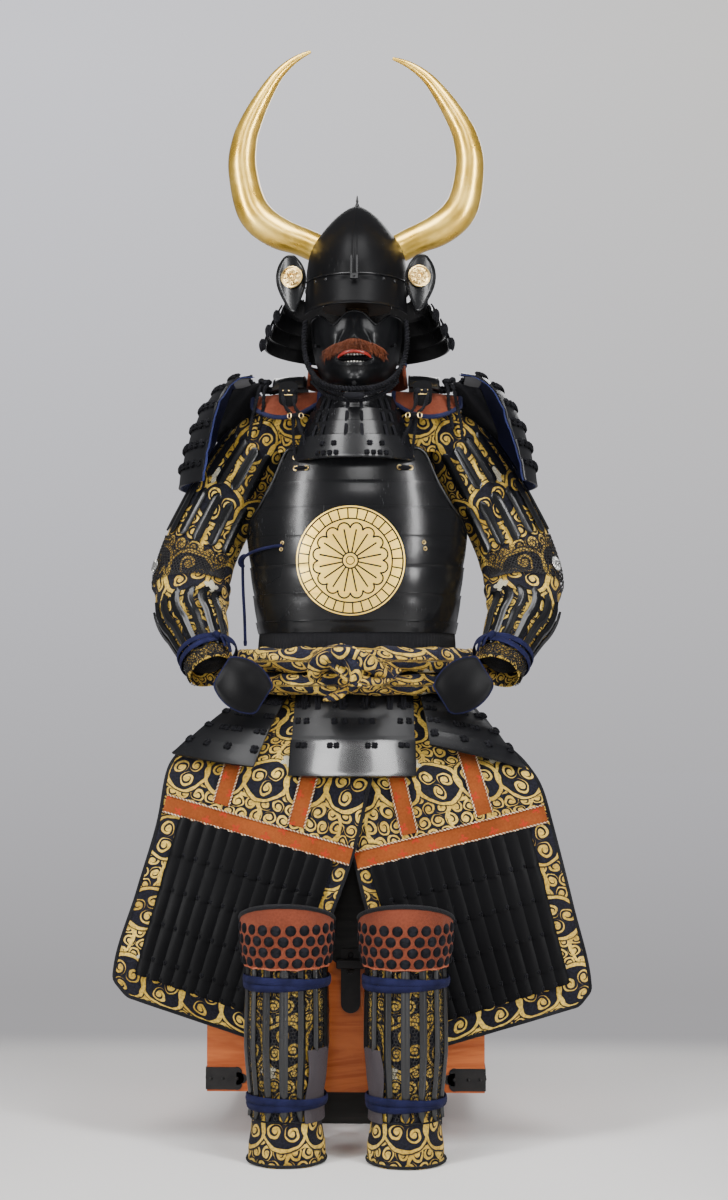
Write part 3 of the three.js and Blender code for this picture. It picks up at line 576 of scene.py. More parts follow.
def make_scrolls():
    """Gold scrollwork and pale flowers of a brocade, from the cloth's own lengths in metres."""
    n, into, out = shader_group(
        "scrolls", Cut=("in", "Vector", None),
        Gold=("out", "Float", None), Flower=("out", "Float", None))
    sway = n.vector("SUBTRACT", n.noise(into["Cut"], 42.0, 1.0, color=True), (0.5, 0.5, 0.5))
    cut = n.vector("ADD", into["Cut"], n.vector("MULTIPLY", sway, (0.009, 0.009, 0.0)))
    # Vine rings overlap their neighbours, so each cell's ring and the ones beside it are drawn.
    def ring(start, radius, width):
        cell = n.group("roundel cell", Cut=cut, Pitch=(0.128, 0.116, 1), Start=start)
        swell = n.math("ADD", width, n.math("MULTIPLY", n.math("SINE", n.math(
            "MULTIPLY_ADD", cell["Angle"], 3.0, n.math("MULTIPLY", cell["Chance"], 9.0))), 0.0006))
        off = n.math("ABSOLUTE", n.math("SUBTRACT", cell["Radius"], radius))
        return n.step(off, swell, n.math("MULTIPLY", swell, 0.85)), cell
    first, cell = ring((0, 0, 0), 0.034, 0.0027)
    second, other = ring((0.064, 0.0, 0), 0.034, 0.0027)
    third, _ = ring((0.032, 0.058, 0), 0.030, 0.0028)
    # Inside each ring a cluster of curls is repeated three times round.
    def cluster(cell, count, reach, size, width):
        sector = 2 * math.pi / count
        turn = n.math("ADD", cell["Angle"], n.math("MULTIPLY", cell["Chance"], 20.0))
        fold = n.math("SUBTRACT", n.math("FLOORED_MODULO", turn, sector), sector / 2)
        x = n.math("SUBTRACT", n.math("MULTIPLY", cell["Radius"], n.math("COSINE", fold)), reach)
        y = n.math("MULTIPLY", cell["Radius"], n.math("SINE", fold))
        place = n.join(x, y)
        curl = n.group("curl", Radius=n.vector("LENGTH", place, out="value"),
                       Angle=n.math("ARCTAN2", y, x), Chance=0.2, Size=size, Width=width)
        return curl["Mask"]
    curls = n.either(
        cluster(cell, 3, 0.0150, 0.0118, 0.0021), cluster(other, 3, 0.0150, 0.0118, 0.0021))
    small = n.group("roundel cell", Cut=cut, Pitch=(0.0213, 0.0193, 1), Start=(0.006, 0.011, 0))
    tendril = n.group("curl", Radius=small["Radius"], Angle=small["Angle"],
                      Chance=small["Chance"], Size=0.0104, Width=0.0019)["Mask"]
    clear = n.both(n.step(cell["Radius"], 0.0375, 0.04), n.step(other["Radius"], 0.0375, 0.04))
    gold = n.either(first, second, n.both(third, clear), curls, n.both(tendril, clear))
    # A pale flower with hatched petals takes the middle of some cells.
    def flower(start, size):
        cell = n.group("roundel cell", Cut=cut, Pitch=(0.128, 0.174, 1), Start=start)
        petals = n.math("MULTIPLY_ADD", n.math("SINE", n.math(
            "MULTIPLY_ADD", cell["Angle"], 5.0, n.math("MULTIPLY", cell["Chance"], 6.0))),
            0.2, 0.85)
        edge = n.math("MULTIPLY", petals, size)
        return n.step(cell["Radius"], edge, n.math("MULTIPLY", edge, 0.9)), cell
    bloom, middle = flower((0.04, 0.05, 0), 0.0135)
    hatch = n.step(n.math("SINE", n.math("MULTIPLY", middle["Radius"], 3400.0)), -0.5, 0.3)
    n.put(out["Gold"], n.both(gold, n.math("SUBTRACT", 1.0, bloom)))
    n.put(out["Flower"], n.both(bloom, n.math("MAXIMUM", hatch, 0.25)))


def make_grain():
    """Grain of planed or lacquered wood along one axis: colour share and height."""
    n, into, out = shader_group(
        "grain", Place=("in", "Vector", None), Along=("in", "Vector", (1, 1, 1)),
        Share=("out", "Float", None), Height=("out", "Float", None))
    place = n.vector("MULTIPLY", into["Place"], into["Along"])
    bent = n.noise(place, 5.0, 2.0)
    rings = n.noise(n.vector("ADD", place, n.join(bent, bent, bent)), 26.0, 4.0, 0.6)
    pores = n.noise(place, 220.0, 2.0, 0.5)
    n.put(out["Share"], n.math("MULTIPLY_ADD", rings, 0.8, n.math("MULTIPLY", pores, 0.2)))
    n.put(out["Height"], n.math("MULTIPLY_ADD", pores, 0.5, n.math("MULTIPLY", rings, 0.5)))


FINISHES = {}


def finish(name, colour, rough, metal=0.0, coat=0.0, sheen=0.0, specular=0.5):
    """A material with one Principled shader; numbers that are the same all over are set on it."""
    material = bpy.data.materials.new(name)
    material.use_nodes = True
    tree = material.node_tree
    shader = tree.nodes["Principled BSDF"]
    shader.inputs["Base Color"].default_value = paint(colour)
    shader.inputs["Roughness"].default_value = rough
    shader.inputs["Metallic"].default_value = metal
    shader.inputs["Coat Weight"].default_value = coat
    shader.inputs["Coat Roughness"].default_value = 0.08
    shader.inputs["Sheen Weight"].default_value = sheen
    shader.inputs["Sheen Roughness"].default_value = 0.4
    shader.inputs["Specular IOR Level"].default_value = specular
    FINISHES[name] = material
    return Nodes(tree), shader.inputs


def lacquer_finish(name, colour, rough, coat, specular, marks=1.0, wave=0.0004):
    n, shader = finish(name, colour, rough, coat=coat, specular=specular)
    place = n.object_place()
    wear = n.group("wear", Place=place, Marks=marks)
    n.put(shader["Base Color"], n.blend(wear["Scratch"], colour, tuple(c * 2.6 + 0.012 for c in colour)))
    rough_now = n.line(wear["Cloud"], 0.3, 0.7, rough * 0.82, rough * 1.25)
    n.put(shader["Roughness"], n.math("MULTIPLY_ADD", wear["Scratch"], 0.12, rough_now))
    ripple = n.noise(place, 34.0, 2.0, 0.45)
    n.put(shader["Normal"], n.bump(ripple, wave))
    return n, shader, place, wear


def make_lacquers():
    lacquer_finish("black lacquer", (0.0040, 0.0041, 0.0046), 0.25, 0.06, 0.24)
    lacquer_finish("satin lacquer", (0.0042, 0.0043, 0.0050), 0.36, 0.03, 0.18, wave=0.0003)
    lacquer_finish("helmet lacquer", (0.0034, 0.0034, 0.0038), 0.38, 0.0, 0.07, wave=0.0002)
    lacquer_finish("polished lacquer", (0.0045, 0.0046, 0.0052), 0.27, 0.08, 0.42, wave=0.0002)
    lacquer_finish("mask lacquer", (0.0036, 0.0037, 0.0042), 0.33, 0.02, 0.16, wave=0.0002)
    lacquer_finish("bright lacquer", (0.0045, 0.0046, 0.0052), 0.24, 0.4, 0.5, wave=0.0001)
    lacquer_finish("soft lacquer", (0.0022, 0.0022, 0.0026), 0.46, 0.0, 0.05, marks=0.4)
    lacquer_finish("red lacquer", (0.21, 0.012, 0.007), 0.3, 0.2, 0.4, marks=0.3)
    make_cuirass_lacquer()


def make_cuirass_lacquer():
    """Black lacquer with a round gold emblem painted on the breast: a plain many-petalled rosette."""
    colour = (0.0048, 0.0049, 0.0054)
    n, shader, place, wear = lacquer_finish("cuirass lacquer", colour, 0.24, 0.05, 0.22)
    middle = laid_out((-6, 0, 896))
    x, _, z = n.xyz(n.vector("SUBTRACT", place, tuple(middle)))
    _, y, _ = n.xyz(place)
    radius = n.vector("LENGTH", n.join(x, z), out="value")
    angle = n.math("ARCTAN2", z, x)
    disc = n.step(radius, 0.0872, 0.0868)
    front = n.step(y, laid_out((0, -40, 0))[1], laid_out((0, -44, 0))[1])
    lines = []

    def circle(at_radius, width):
        off = n.math("ABSOLUTE", n.math("SUBTRACT", radius, at_radius))
        lines.append(n.step(off, width, width * 0.6))

    def spokes(count, low, high, width, phase=0.0):
        sector = 2 * math.pi / count
        turn = n.math("ADD", angle, phase)
        fold = n.math("SUBTRACT", n.math("FLOORED_MODULO", turn, sector), sector / 2)
        off = n.math("ABSOLUTE", n.math("MULTIPLY", radius, n.math("SINE", fold)))
        band = n.both(n.step(radius, low, low + 0.0004), n.step(radius, high + 0.0004, high))
        lines.append(n.both(n.step(off, width, width * 0.6), band))

    def scallops(count, reach, size, width):
        """Round petal tips side by side."""
        sector = 2 * math.pi / count
        fold = n.math("SUBTRACT", n.math("FLOORED_MODULO", angle, sector), sector / 2)
        px = n.math("SUBTRACT", n.math("MULTIPLY", radius, n.math("COSINE", fold)), reach)
        py = n.math("MULTIPLY", radius, n.math("SINE", fold))
        off = n.math("SUBTRACT", n.vector("LENGTH", n.join(px, py), out="value"), size)
        tip = n.both(n.step(n.math("ABSOLUTE", off), width, width * 0.6), n.step(px, -0.001, 0.0))
        lines.append(tip)

    circle(0.0835, 0.0016)
    circle(0.0665, 0.0015)
    circle(0.0125, 0.0015)
    circle(0.0065, 0.0010)
    spokes(16, 0.0125, 0.050, 0.0016)
    scallops(16, 0.0505, 0.0099, 0.0016)
    spokes(32, 0.0665, 0.0835, 0.0014, 0.05)
    drawn = n.both(disc, front, n.math("SUBTRACT", 1.0, n.either(*lines)))
    rub = n.step(n.noise(place, 160.0, 3.0, 0.7), 0.7, 0.76)
    gold = n.both(drawn, n.math("MULTIPLY_ADD", rub, -0.55, 1.0))
    tone = n.blend(wear["Cloud"], (0.80, 0.50, 0.075), (1.0, 0.74, 0.20))
    n.put(shader["Base Color"], n.blend(gold, shader["Base Color"].links[0].from_socket, tone))
    n.put(shader["Metallic"], n.math("MULTIPLY", gold, 0.55))
    n.put(shader["Roughness"], n.math(
        "MULTIPLY_ADD", gold, 0.16, shader["Roughness"].links[0].from_socket))


def make_gold_lacquer():
    n, shader = finish("gold lacquer", (0.70, 0.43, 0.07), 0.3, metal=0.85, coat=0.35)
    place = n.object_place()
    wear = n.group("wear", Place=place, Marks=1.0)
    slow = n.noise(place, 22.0, 3.0, 0.55)
    tone = n.blend(n.step(slow, 0.3, 0.72), (0.66, 0.40, 0.045), (0.88, 0.60, 0.13))
    n.put(shader["Base Color"], n.blend(wear["Scratch"], tone, (0.9, 0.68, 0.28)))
    n.put(shader["Roughness"], n.line(slow, 0.3, 0.7, 0.26, 0.38))
    lumps = n.noise(place, 20.0, 2.0, 0.4)
    n.put(shader["Normal"], n.bump(lumps, 0.0002))


def make_metals():
    n, shader = finish("gilt metal", (0.72, 0.5, 0.19), 0.3, metal=1.0)
    place = n.object_place()
    cloud = n.noise(place, 70.0, 3.0)
    n.put(shader["Base Color"], n.blend(cloud, (0.56, 0.36, 0.11), (0.85, 0.65, 0.3)))
    n.put(shader["Roughness"], n.line(cloud, 0.3, 0.7, 0.22, 0.42))
    n.put(shader["Normal"], n.bump(n.noise(place, 500.0, 2.0), 0.0001))
    n, shader = finish("black iron", (0.018, 0.018, 0.019), 0.48, metal=0.6, specular=0.25)
    cloud = n.noise(n.object_place(), 60.0, 4.0, 0.6)
    n.put(shader["Base Color"], n.blend(cloud, (0.010, 0.010, 0.011), (0.035, 0.033, 0.032)))
    n.put(shader["Roughness"], n.line(cloud, 0.3, 0.7, 0.36, 0.6))
    n.put(shader["Normal"], n.bump(n.noise(n.object_place(), 700.0, 2.0), 0.0002))
    n, shader = finish("bright iron", (0.46, 0.46, 0.45), 0.3, metal=0.9)
    cloud = n.noise(n.object_place(), 90.0, 3.0)
    n.put(shader["Base Color"], n.blend(cloud, (0.25, 0.25, 0.24), (0.62, 0.62, 0.6)))
    n.put(shader["Roughness"], n.line(cloud, 0.3, 0.7, 0.2, 0.4))
    n, shader = finish("silver", (0.62, 0.61, 0.57), 0.33, metal=0.9)
    cloud = n.noise(n.object_place(), 300.0, 2.0)
    n.put(shader["Base Color"], n.blend(cloud, (0.45, 0.42, 0.36), (0.72, 0.71, 0.68)))


def cloth_finish(name, dark, light, threads=1400.0, rough=0.85, sheen=0.04, depth=0.0003):
    """Plain woven cloth whose threads follow its own lengths."""
    n, shader = finish(name, dark, rough, sheen=sheen, specular=0.1)
    cut = n.cloth_place()
    weave = n.group("weave", Cut=cut, Threads=threads)
    place = n.object_place()
    shade = n.math("MULTIPLY_ADD", n.noise(place, 12.0, 3.0), 0.6,
                   n.math("MULTIPLY", weave["Fuzz"], 0.4))
    tone = n.blend(n.step(shade, 0.3, 0.7), dark, light)
    n.put(shader["Base Color"], n.blend(n.math("MULTIPLY", weave["Height"], 0.25), tone, light))
    n.put(shader["Normal"], n.bump(weave["Height"], depth))
    return n, shader, cut, place, weave, tone


def make_cloths():
    cloth_finish("navy cloth", (0.008, 0.009, 0.030), (0.018, 0.020, 0.062), 1300.0)
    cloth_finish("black cloth", (0.004, 0.004, 0.005), (0.012, 0.012, 0.014), 1300.0)
    cloth_finish("lining cloth", (0.008, 0.010, 0.042), (0.018, 0.023, 0.090), 900.0)
    cloth_finish("plain rust cloth", (0.10, 0.023, 0.011), (0.20, 0.050, 0.025), 1200.0)
    # The rust straps carry loose red sprigs in the weave.
    n, shader, cut, place, weave, tone = cloth_finish(
        "rust cloth", (0.15, 0.034, 0.007), (0.27, 0.066, 0.014), 1200.0)
    sprig = n.group("roundel cell", Cut=cut, Pitch=(0.034, 0.024, 1), Start=(0.01, 0.012, 0))
    petals = n.math("SINE", n.math("MULTIPLY_ADD", sprig["Angle"], 4.0,
                                   n.math("MULTIPLY", sprig["Chance"], 30.0)))
    edge = n.math("MULTIPLY_ADD", petals, 0.003, 0.0062)
    mask = n.step(sprig["Radius"], edge, n.math("MULTIPLY", edge, 0.7))
    broken = n.step(n.noise(cut, 420.0, 3.0, 0.7), 0.42, 0.55)
    red = n.both(mask, broken, n.step(sprig["Chance"], 0.25, 0.3))
    n.put(shader["Base Color"], n.blend(red, tone, (0.38, 0.020, 0.010)))


def make_brocade():
    """Navy and black brocade with gold scrolls and pale flowers."""
    for name, dark, light in (
        ("brocade", (0.004, 0.004, 0.006), (0.010, 0.010, 0.017)),
        ("sash brocade", (0.006, 0.006, 0.011), (0.016, 0.017, 0.032)),
    ):
        n, shader = finish(name, dark, 0.72, sheen=0.02, specular=0.12)
        cut = n.cloth_place()
        scrolls = n.group("scrolls", Cut=cut)
        weave = n.group("weave", Cut=cut, Threads=900.0)
        slow = n.noise(n.object_place(), 15.0, 2.0)
        ground = n.blend(n.step(weave["Fuzz"], 0.35, 0.65), dark, light)
        gold = n.blend(n.step(slow, 0.3, 0.7), (0.42, 0.26, 0.035), (0.72, 0.49, 0.095))
        thread = n.step(weave["Fuzz"], 0.3, 0.62, 0.55, 1.1)
        gold = n.blend(1.0, gold, n.join(thread, thread, thread), "MULTIPLY")
        pale = n.blend(n.step(slow, 0.3, 0.7), (0.60, 0.55, 0.38), (0.85, 0.80, 0.62))
        tone = n.blend(scrolls["Gold"], ground, gold)
        n.put(shader["Base Color"], n.blend(scrolls["Flower"], tone, pale))
        shine = n.either(scrolls["Gold"], scrolls["Flower"])
        n.put(shader["Metallic"], n.math("MULTIPLY", shine, 0.35))
        n.put(shader["Roughness"], n.line(shine, 0.0, 1.0, 0.8, 0.46))
        raised = n.math("MULTIPLY_ADD", shine, 1.6, n.math("MULTIPLY", weave["Height"], 0.5))
        n.put(shader["Normal"], n.bump(raised, 0.0006))


def braid_finish(name, dark, light, pitch, sheen=0.03):
    """Flat or round braid: slanted strands that follow the cord's own length."""
    n, shader = finish(name, dark, 0.75, sheen=sheen, specular=0.06)
    x, y, _ = n.xyz(n.cloth_place())
    slant = n.math("ADD", n.math("MULTIPLY", x, pitch), n.math("MULTIPLY", y, pitch))
    back = n.math("SUBTRACT", n.math("MULTIPLY", x, pitch), n.math("MULTIPLY", y, pitch))
    strands = n.either(n.math("ABSOLUTE", n.math("SINE", slant)),
                       n.math("ABSOLUTE", n.math("SINE", back)))
    cloud = n.noise(n.object_place(), 60.0, 3.0)
    share = n.both(n.step(strands, 0.35, 1.0), n.step(cloud, 0.2, 0.8))
    n.put(shader["Base Color"], n.blend(share, dark, light))
    n.put(shader["Normal"], n.bump(strands, 0.0005))
    return n, shader


def make_cords():
    braid_finish("black cord", (0.0028, 0.0028, 0.0034), (0.011, 0.011, 0.014), 1500.0, sheen=0.02)
    braid_finish("navy cord", (0.0045, 0.005, 0.019), (0.012, 0.013, 0.048), 1500.0, sheen=0.02)
    n, shader = braid_finish("cream cord", (0.40, 0.30, 0.18), (0.82, 0.74, 0.56), 900.0)
    # One strand of the piping is rust, the other cream.
    second = n.step(n.xyz(n.cloth_place())[0], 0.5, 0.6)
    n.put(shader["Base Color"], n.blend(second, shader["Base Color"].links[0].from_socket,
                                        (0.16, 0.05, 0.018)))
    braid_finish("rust cord", (0.26, 0.06, 0.03), (0.45, 0.14, 0.07), 1100.0)
    n, shader = finish("fur", (0.14, 0.042, 0.022), 0.62, sheen=0.05, specular=0.15)
    hair = n.noise(n.object_place(), 900.0, 2.0, 0.6)
    n.put(shader["Base Color"], n.blend(hair, (0.035, 0.008, 0.003), (0.16, 0.040, 0.012)))
    n, shader = finish("leather", (0.085, 0.072, 0.070), 0.5, specular=0.2)
    place = n.object_place()
    cells = n.add("TexVoronoi", feature="DISTANCE_TO_EDGE")
    n.put(cells.inputs["Vector"], place)
    cells.inputs["Scale"].default_value = 620.0
    cloud = n.noise(place, 26.0, 4.0, 0.6)
    n.put(shader["Base Color"], n.blend(cloud, (0.022, 0.018, 0.021), (0.058, 0.049, 0.054)))
    grain = n.step(cells.outputs["Distance"], 0.0, 0.12)
    n.put(shader["Roughness"], n.line(cloud, 0.3, 0.7, 0.42, 0.6))
    n.put(shader["Normal"], n.bump(grain, 0.0002))


def make_woods():
    for name, dark, light, along, rough, coat in (
        ("chest wood", (0.30, 0.060, 0.012), (0.48, 0.125, 0.030), (0.12, 1, 1), 0.42, 0.08),
        ("black wood", (0.004, 0.0038, 0.0035), (0.010, 0.009, 0.008), (0.15, 1, 1), 0.45, 0.02),
        ("stand wood", (0.018, 0.011, 0.006), (0.040, 0.024, 0.012), (1, 1, 0.12), 0.62, 0.0),
    ):
        n, shader = finish(name, dark, rough, coat=coat, specular=0.2)
        place = n.object_place()
        grain = n.group("grain", Place=place, Along=along)
        wear = n.group("wear", Place=place, Marks=0.8)
        tone = n.blend(n.step(grain["Share"], 0.34, 0.68), dark, light)
        n.put(shader["Base Color"], n.blend(n.math("MULTIPLY", wear["Scratch"], 0.5), tone, light))
        n.put(shader["Roughness"], n.line(wear["Cloud"], 0.3, 0.7, rough * 0.85, rough * 1.2))
        n.put(shader["Normal"], n.bump(grain["Height"], 0.0005))


def make_finishes():
    make_wear()
    make_weave()
    make_roundel_cell()
    make_curl()
    make_scrolls()
    make_grain()
    make_lacquers()
    make_gold_lacquer()
    make_metals()
    make_cloths()
    make_brocade()
    make_cords()
    make_woods()


# ---------------------------------------------------------------- pieces

MERGE = 2e-6  # points nearer than this, in metres, are one


def piece(name, mesh, material, replaces=()):
    """A named piece of the suit from points, faces and cloth lengths."""
    points, faces, lengths = mesh
    data = bpy.data.meshes.new(name)
    data.from_pydata(laid_out(points).tolist(), [], [list(map(int, face)) for face in faces])
    layer = data.uv_layers.new(name="cut")
    corners = np.empty(len(data.loops), np.int64)
    data.loops.foreach_get("vertex_index", corners)
    layer.data.foreach_set("uv", lengths[corners].astype(np.float32).ravel())
    sewn = bmesh.new()
    sewn.from_mesh(data)
    bmesh.ops.remove_doubles(sewn, verts=sewn.verts, dist=MERGE)
    sewn.to_mesh(data)
    sewn.free()
    data.polygons.foreach_set("use_smooth", [True] * len(data.polygons))
    data.materials.append(FINISHES[material])
    data.set_sharp_from_angle(angle=math.radians(42))
    return placed(name, data, replaces)


def placed(name, data, replaces=()):
    """A finished mesh as a piece that rides on the suit."""
    obj = bpy.data.objects.new(name, data)
    bpy.context.collection.objects.link(obj)
    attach(obj, "root")
    if replaces:
        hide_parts(*([replaces] if isinstance(replaces, str) else replaces))
    return obj


def carried(node, material):
    """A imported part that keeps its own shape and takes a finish."""
    obj = frame["nodes"][node]
    obj = bpy.data.objects[obj] if isinstance(obj, str) else obj
    obj.data.materials.clear()
    obj.data.materials.append(FINISHES[material])


# ---------------------------------------------------------------- trees that repeat a shape

TREES = {}


def geometry_tree(name, **kinds):
    """A new geometry tree with its named inputs."""
    tree = bpy.data.node_groups.new(name, "GeometryNodeTree")
    for way in ("INPUT", "OUTPUT"):
        tree.interface.new_socket("Geometry", in_out=way, socket_type="NodeSocketGeometry")
    sockets(tree, **kinds)
    nodes = Nodes(tree)
    TREES[name] = tree
    return nodes, nodes.add("NodeGroupInput").outputs, nodes.add("NodeGroupOutput").inputs


def field(n, name):
    """The direction or size that each seed carries under a name."""
    node = n.add("GeometryNodeInputNamedAttribute", data_type="FLOAT_VECTOR")
    node.inputs["Name"].default_value = name
    return next(socket for socket in node.outputs if socket.enabled)


def by_chance(n, low, high, seed):
    node = n.add("FunctionNodeRandomValue", data_type="FLOAT")
    low_spot, high_spot = [socket for socket in node.inputs if socket.enabled][:2]
    n.put(low_spot, low)
    n.put(high_spot, high)
    n.put(node.inputs["Seed"], seed)
    return next(socket for socket in node.outputs if socket.enabled)


def stood_up(n, tip_x=None, spin=None):
    """A turn that lays Z along each seed's way and Y along its up, then tips and spins it."""
    aim = n.add("FunctionNodeAlignRotationToVector", axis="Z")
    n.put(aim.inputs["Vector"], field(n, "way"))
    upright = n.add("FunctionNodeAlignRotationToVector", axis="Y", pivot_axis="Z")
    n.put(upright.inputs["Rotation"], aim.outputs[0])
    n.put(upright.inputs["Vector"], field(n, "up"))
    turned = upright.outputs[0]
    for axis, angle in (((1, 0, 0), tip_x), ((0, 0, 1), spin)):
        if angle is None:
            continue
        own = n.add("FunctionNodeAxisAngleToRotation")
        own.inputs["Axis"].default_value = axis
        n.put(own.inputs["Angle"], angle)
        both = n.add("FunctionNodeRotateRotation", rotation_space="LOCAL")
        n.put(both.inputs[0], turned)
        n.put(both.inputs[1], own.outputs[0])
        turned = both.outputs[0]
    return turned


def planted(n, into, form, turned, scale):
    """A form on every seed, made real."""
    node = n.add("GeometryNodeInstanceOnPoints")
    n.put(node.inputs["Points"], into["Geometry"])
    n.put(node.inputs["Instance"], form)
    n.put(node.inputs["Rotation"], turned)
    n.put(node.inputs["Scale"], scale)
    real = n.add("GeometryNodeRealizeInstances")
    n.put(real.inputs["Geometry"], node.outputs[0])
    return real.outputs[0]


def finished(n, into, out, geometry):
    coated = n.add("GeometryNodeSetMaterial")
    n.put(coated.inputs["Geometry"], geometry)
    n.put(coated.inputs["Material"], into["Finish"])
    n.put(out["Geometry"], coated.outputs[0])


def make_set_out_tree():
    """Puts a small form on each seed: knots, rivets, studs and sewn spots."""
    n, into, out = geometry_tree(
        "set out", Form=("in", "Object", None), Width=("in", "Float", 1.0),
        Height=("in", "Float", 1.0), Jitter=("in", "Float", 0.0), Seed=("in", "Int", 1),
        Finish=("in", "Material", None))
    form = n.add("GeometryNodeObjectInfo")
    n.put(form.inputs["Object"], into["Form"])
    size = by_chance(n, n.math("SUBTRACT", 1.0, into["Jitter"]), 1.0, into["Seed"])
    wide, tall = n.math("MULTIPLY", into["Width"], size), n.math("MULTIPLY", into["Height"], size)
    scale = n.vector("MULTIPLY", field(n, "size"), n.join(wide, wide, tall))
    angle = by_chance(n, n.math("MULTIPLY", into["Jitter"], -0.6),
                      n.math("MULTIPLY", into["Jitter"], 0.6),
                      n.math("ADD", into["Seed"], 7.0))
    finished(n, into, out, planted(n, into, form.outputs["Geometry"], stood_up(n, spin=angle), scale))


def make_mail_tree():
    """Round wire rings that lie over each other by turns."""
    n, into, out = geometry_tree(
        "mail", Ring_Radius=("in", "Float", 0.0028), Wire_Radius=("in", "Float", 0.0006),
        Tilt=("in", "Float", 0.35), Seed=("in", "Int", 1), Finish=("in", "Material", None))
    loop, wire = (n.add("GeometryNodeCurvePrimitiveCircle", mode="RADIUS") for _ in range(2))
    loop.inputs["Resolution"].default_value = 7
    wire.inputs["Resolution"].default_value = 3
    n.put(loop.inputs["Radius"], into["Ring Radius"])
    n.put(wire.inputs["Radius"], into["Wire Radius"])
    ring = n.add("GeometryNodeCurveToMesh")
    n.put(ring.inputs["Curve"], loop.outputs[0])
    n.put(ring.inputs["Profile Curve"], wire.outputs[0])
    tilt = by_chance(n, n.math("MULTIPLY", into["Tilt"], -1.0), into["Tilt"], into["Seed"])
    spin = by_chance(n, 0.0, 6.28, n.math("ADD", into["Seed"], 3.0))
    finished(n, into, out, planted(n, into, ring.outputs[0], stood_up(n, tilt, spin), field(n, "size")))


def make_bristle_tree():
    """Stiff hairs that taper and bend over, each a little different."""
    n, into, out = geometry_tree(
        "bristles", Length=("in", "Float", 0.02), Thickness=("in", "Float", 0.0005),
        Bend=("in", "Float", 0.3), Spread=("in", "Float", 0.3), Seed=("in", "Int", 1),
        Finish=("in", "Material", None))
    arc = n.add("GeometryNodeCurveQuadraticBezier")
    arc.inputs["Resolution"].default_value = 5
    arc.inputs["Start"].default_value = (0, 0, 0)
    n.put(arc.inputs["Middle"], n.join(0.0, 0.0, n.math("MULTIPLY", into["Length"], 0.6)))
    n.put(arc.inputs["End"], n.join(0.0, n.math("MULTIPLY", into["Length"], into["Bend"]), into["Length"]))
    taper = n.add("GeometryNodeSetCurveRadius")
    n.put(taper.inputs["Curve"], arc.outputs[0])
    along = n.add("GeometryNodeSplineParameter").outputs["Factor"]
    n.put(taper.inputs["Radius"], n.line(along, 0.0, 1.0, 1.0, 0.25))
    round_ = n.add("GeometryNodeCurvePrimitiveCircle", mode="RADIUS")
    round_.inputs["Resolution"].default_value = 3
    n.put(round_.inputs["Radius"], into["Thickness"])
    hair = n.add("GeometryNodeCurveToMesh")
    n.put(hair.inputs["Curve"], taper.outputs[0])
    n.put(hair.inputs["Profile Curve"], round_.outputs[0])
    if "Scale" in hair.inputs:
        radius = n.add("GeometryNodeInputRadius").outputs[0]
        n.put(hair.inputs["Scale"], radius)
    hair.inputs["Fill Caps"].default_value = True
    tip = by_chance(n, n.math("MULTIPLY", into["Spread"], -1.0), into["Spread"], into["Seed"])
    spin = by_chance(n, n.math("MULTIPLY", into["Spread"], -2.0), n.math("MULTIPLY", into["Spread"], 2.0),
                     n.math("ADD", into["Seed"], 5.0))
    size = by_chance(n, 0.7, 1.15, n.math("ADD", into["Seed"], 9.0))
    scale = n.vector("MULTIPLY", field(n, "size"), n.join(1.0, size, size))
    finished(n, into, out, planted(n, into, hair.outputs[0], stood_up(n, tip, spin), scale))


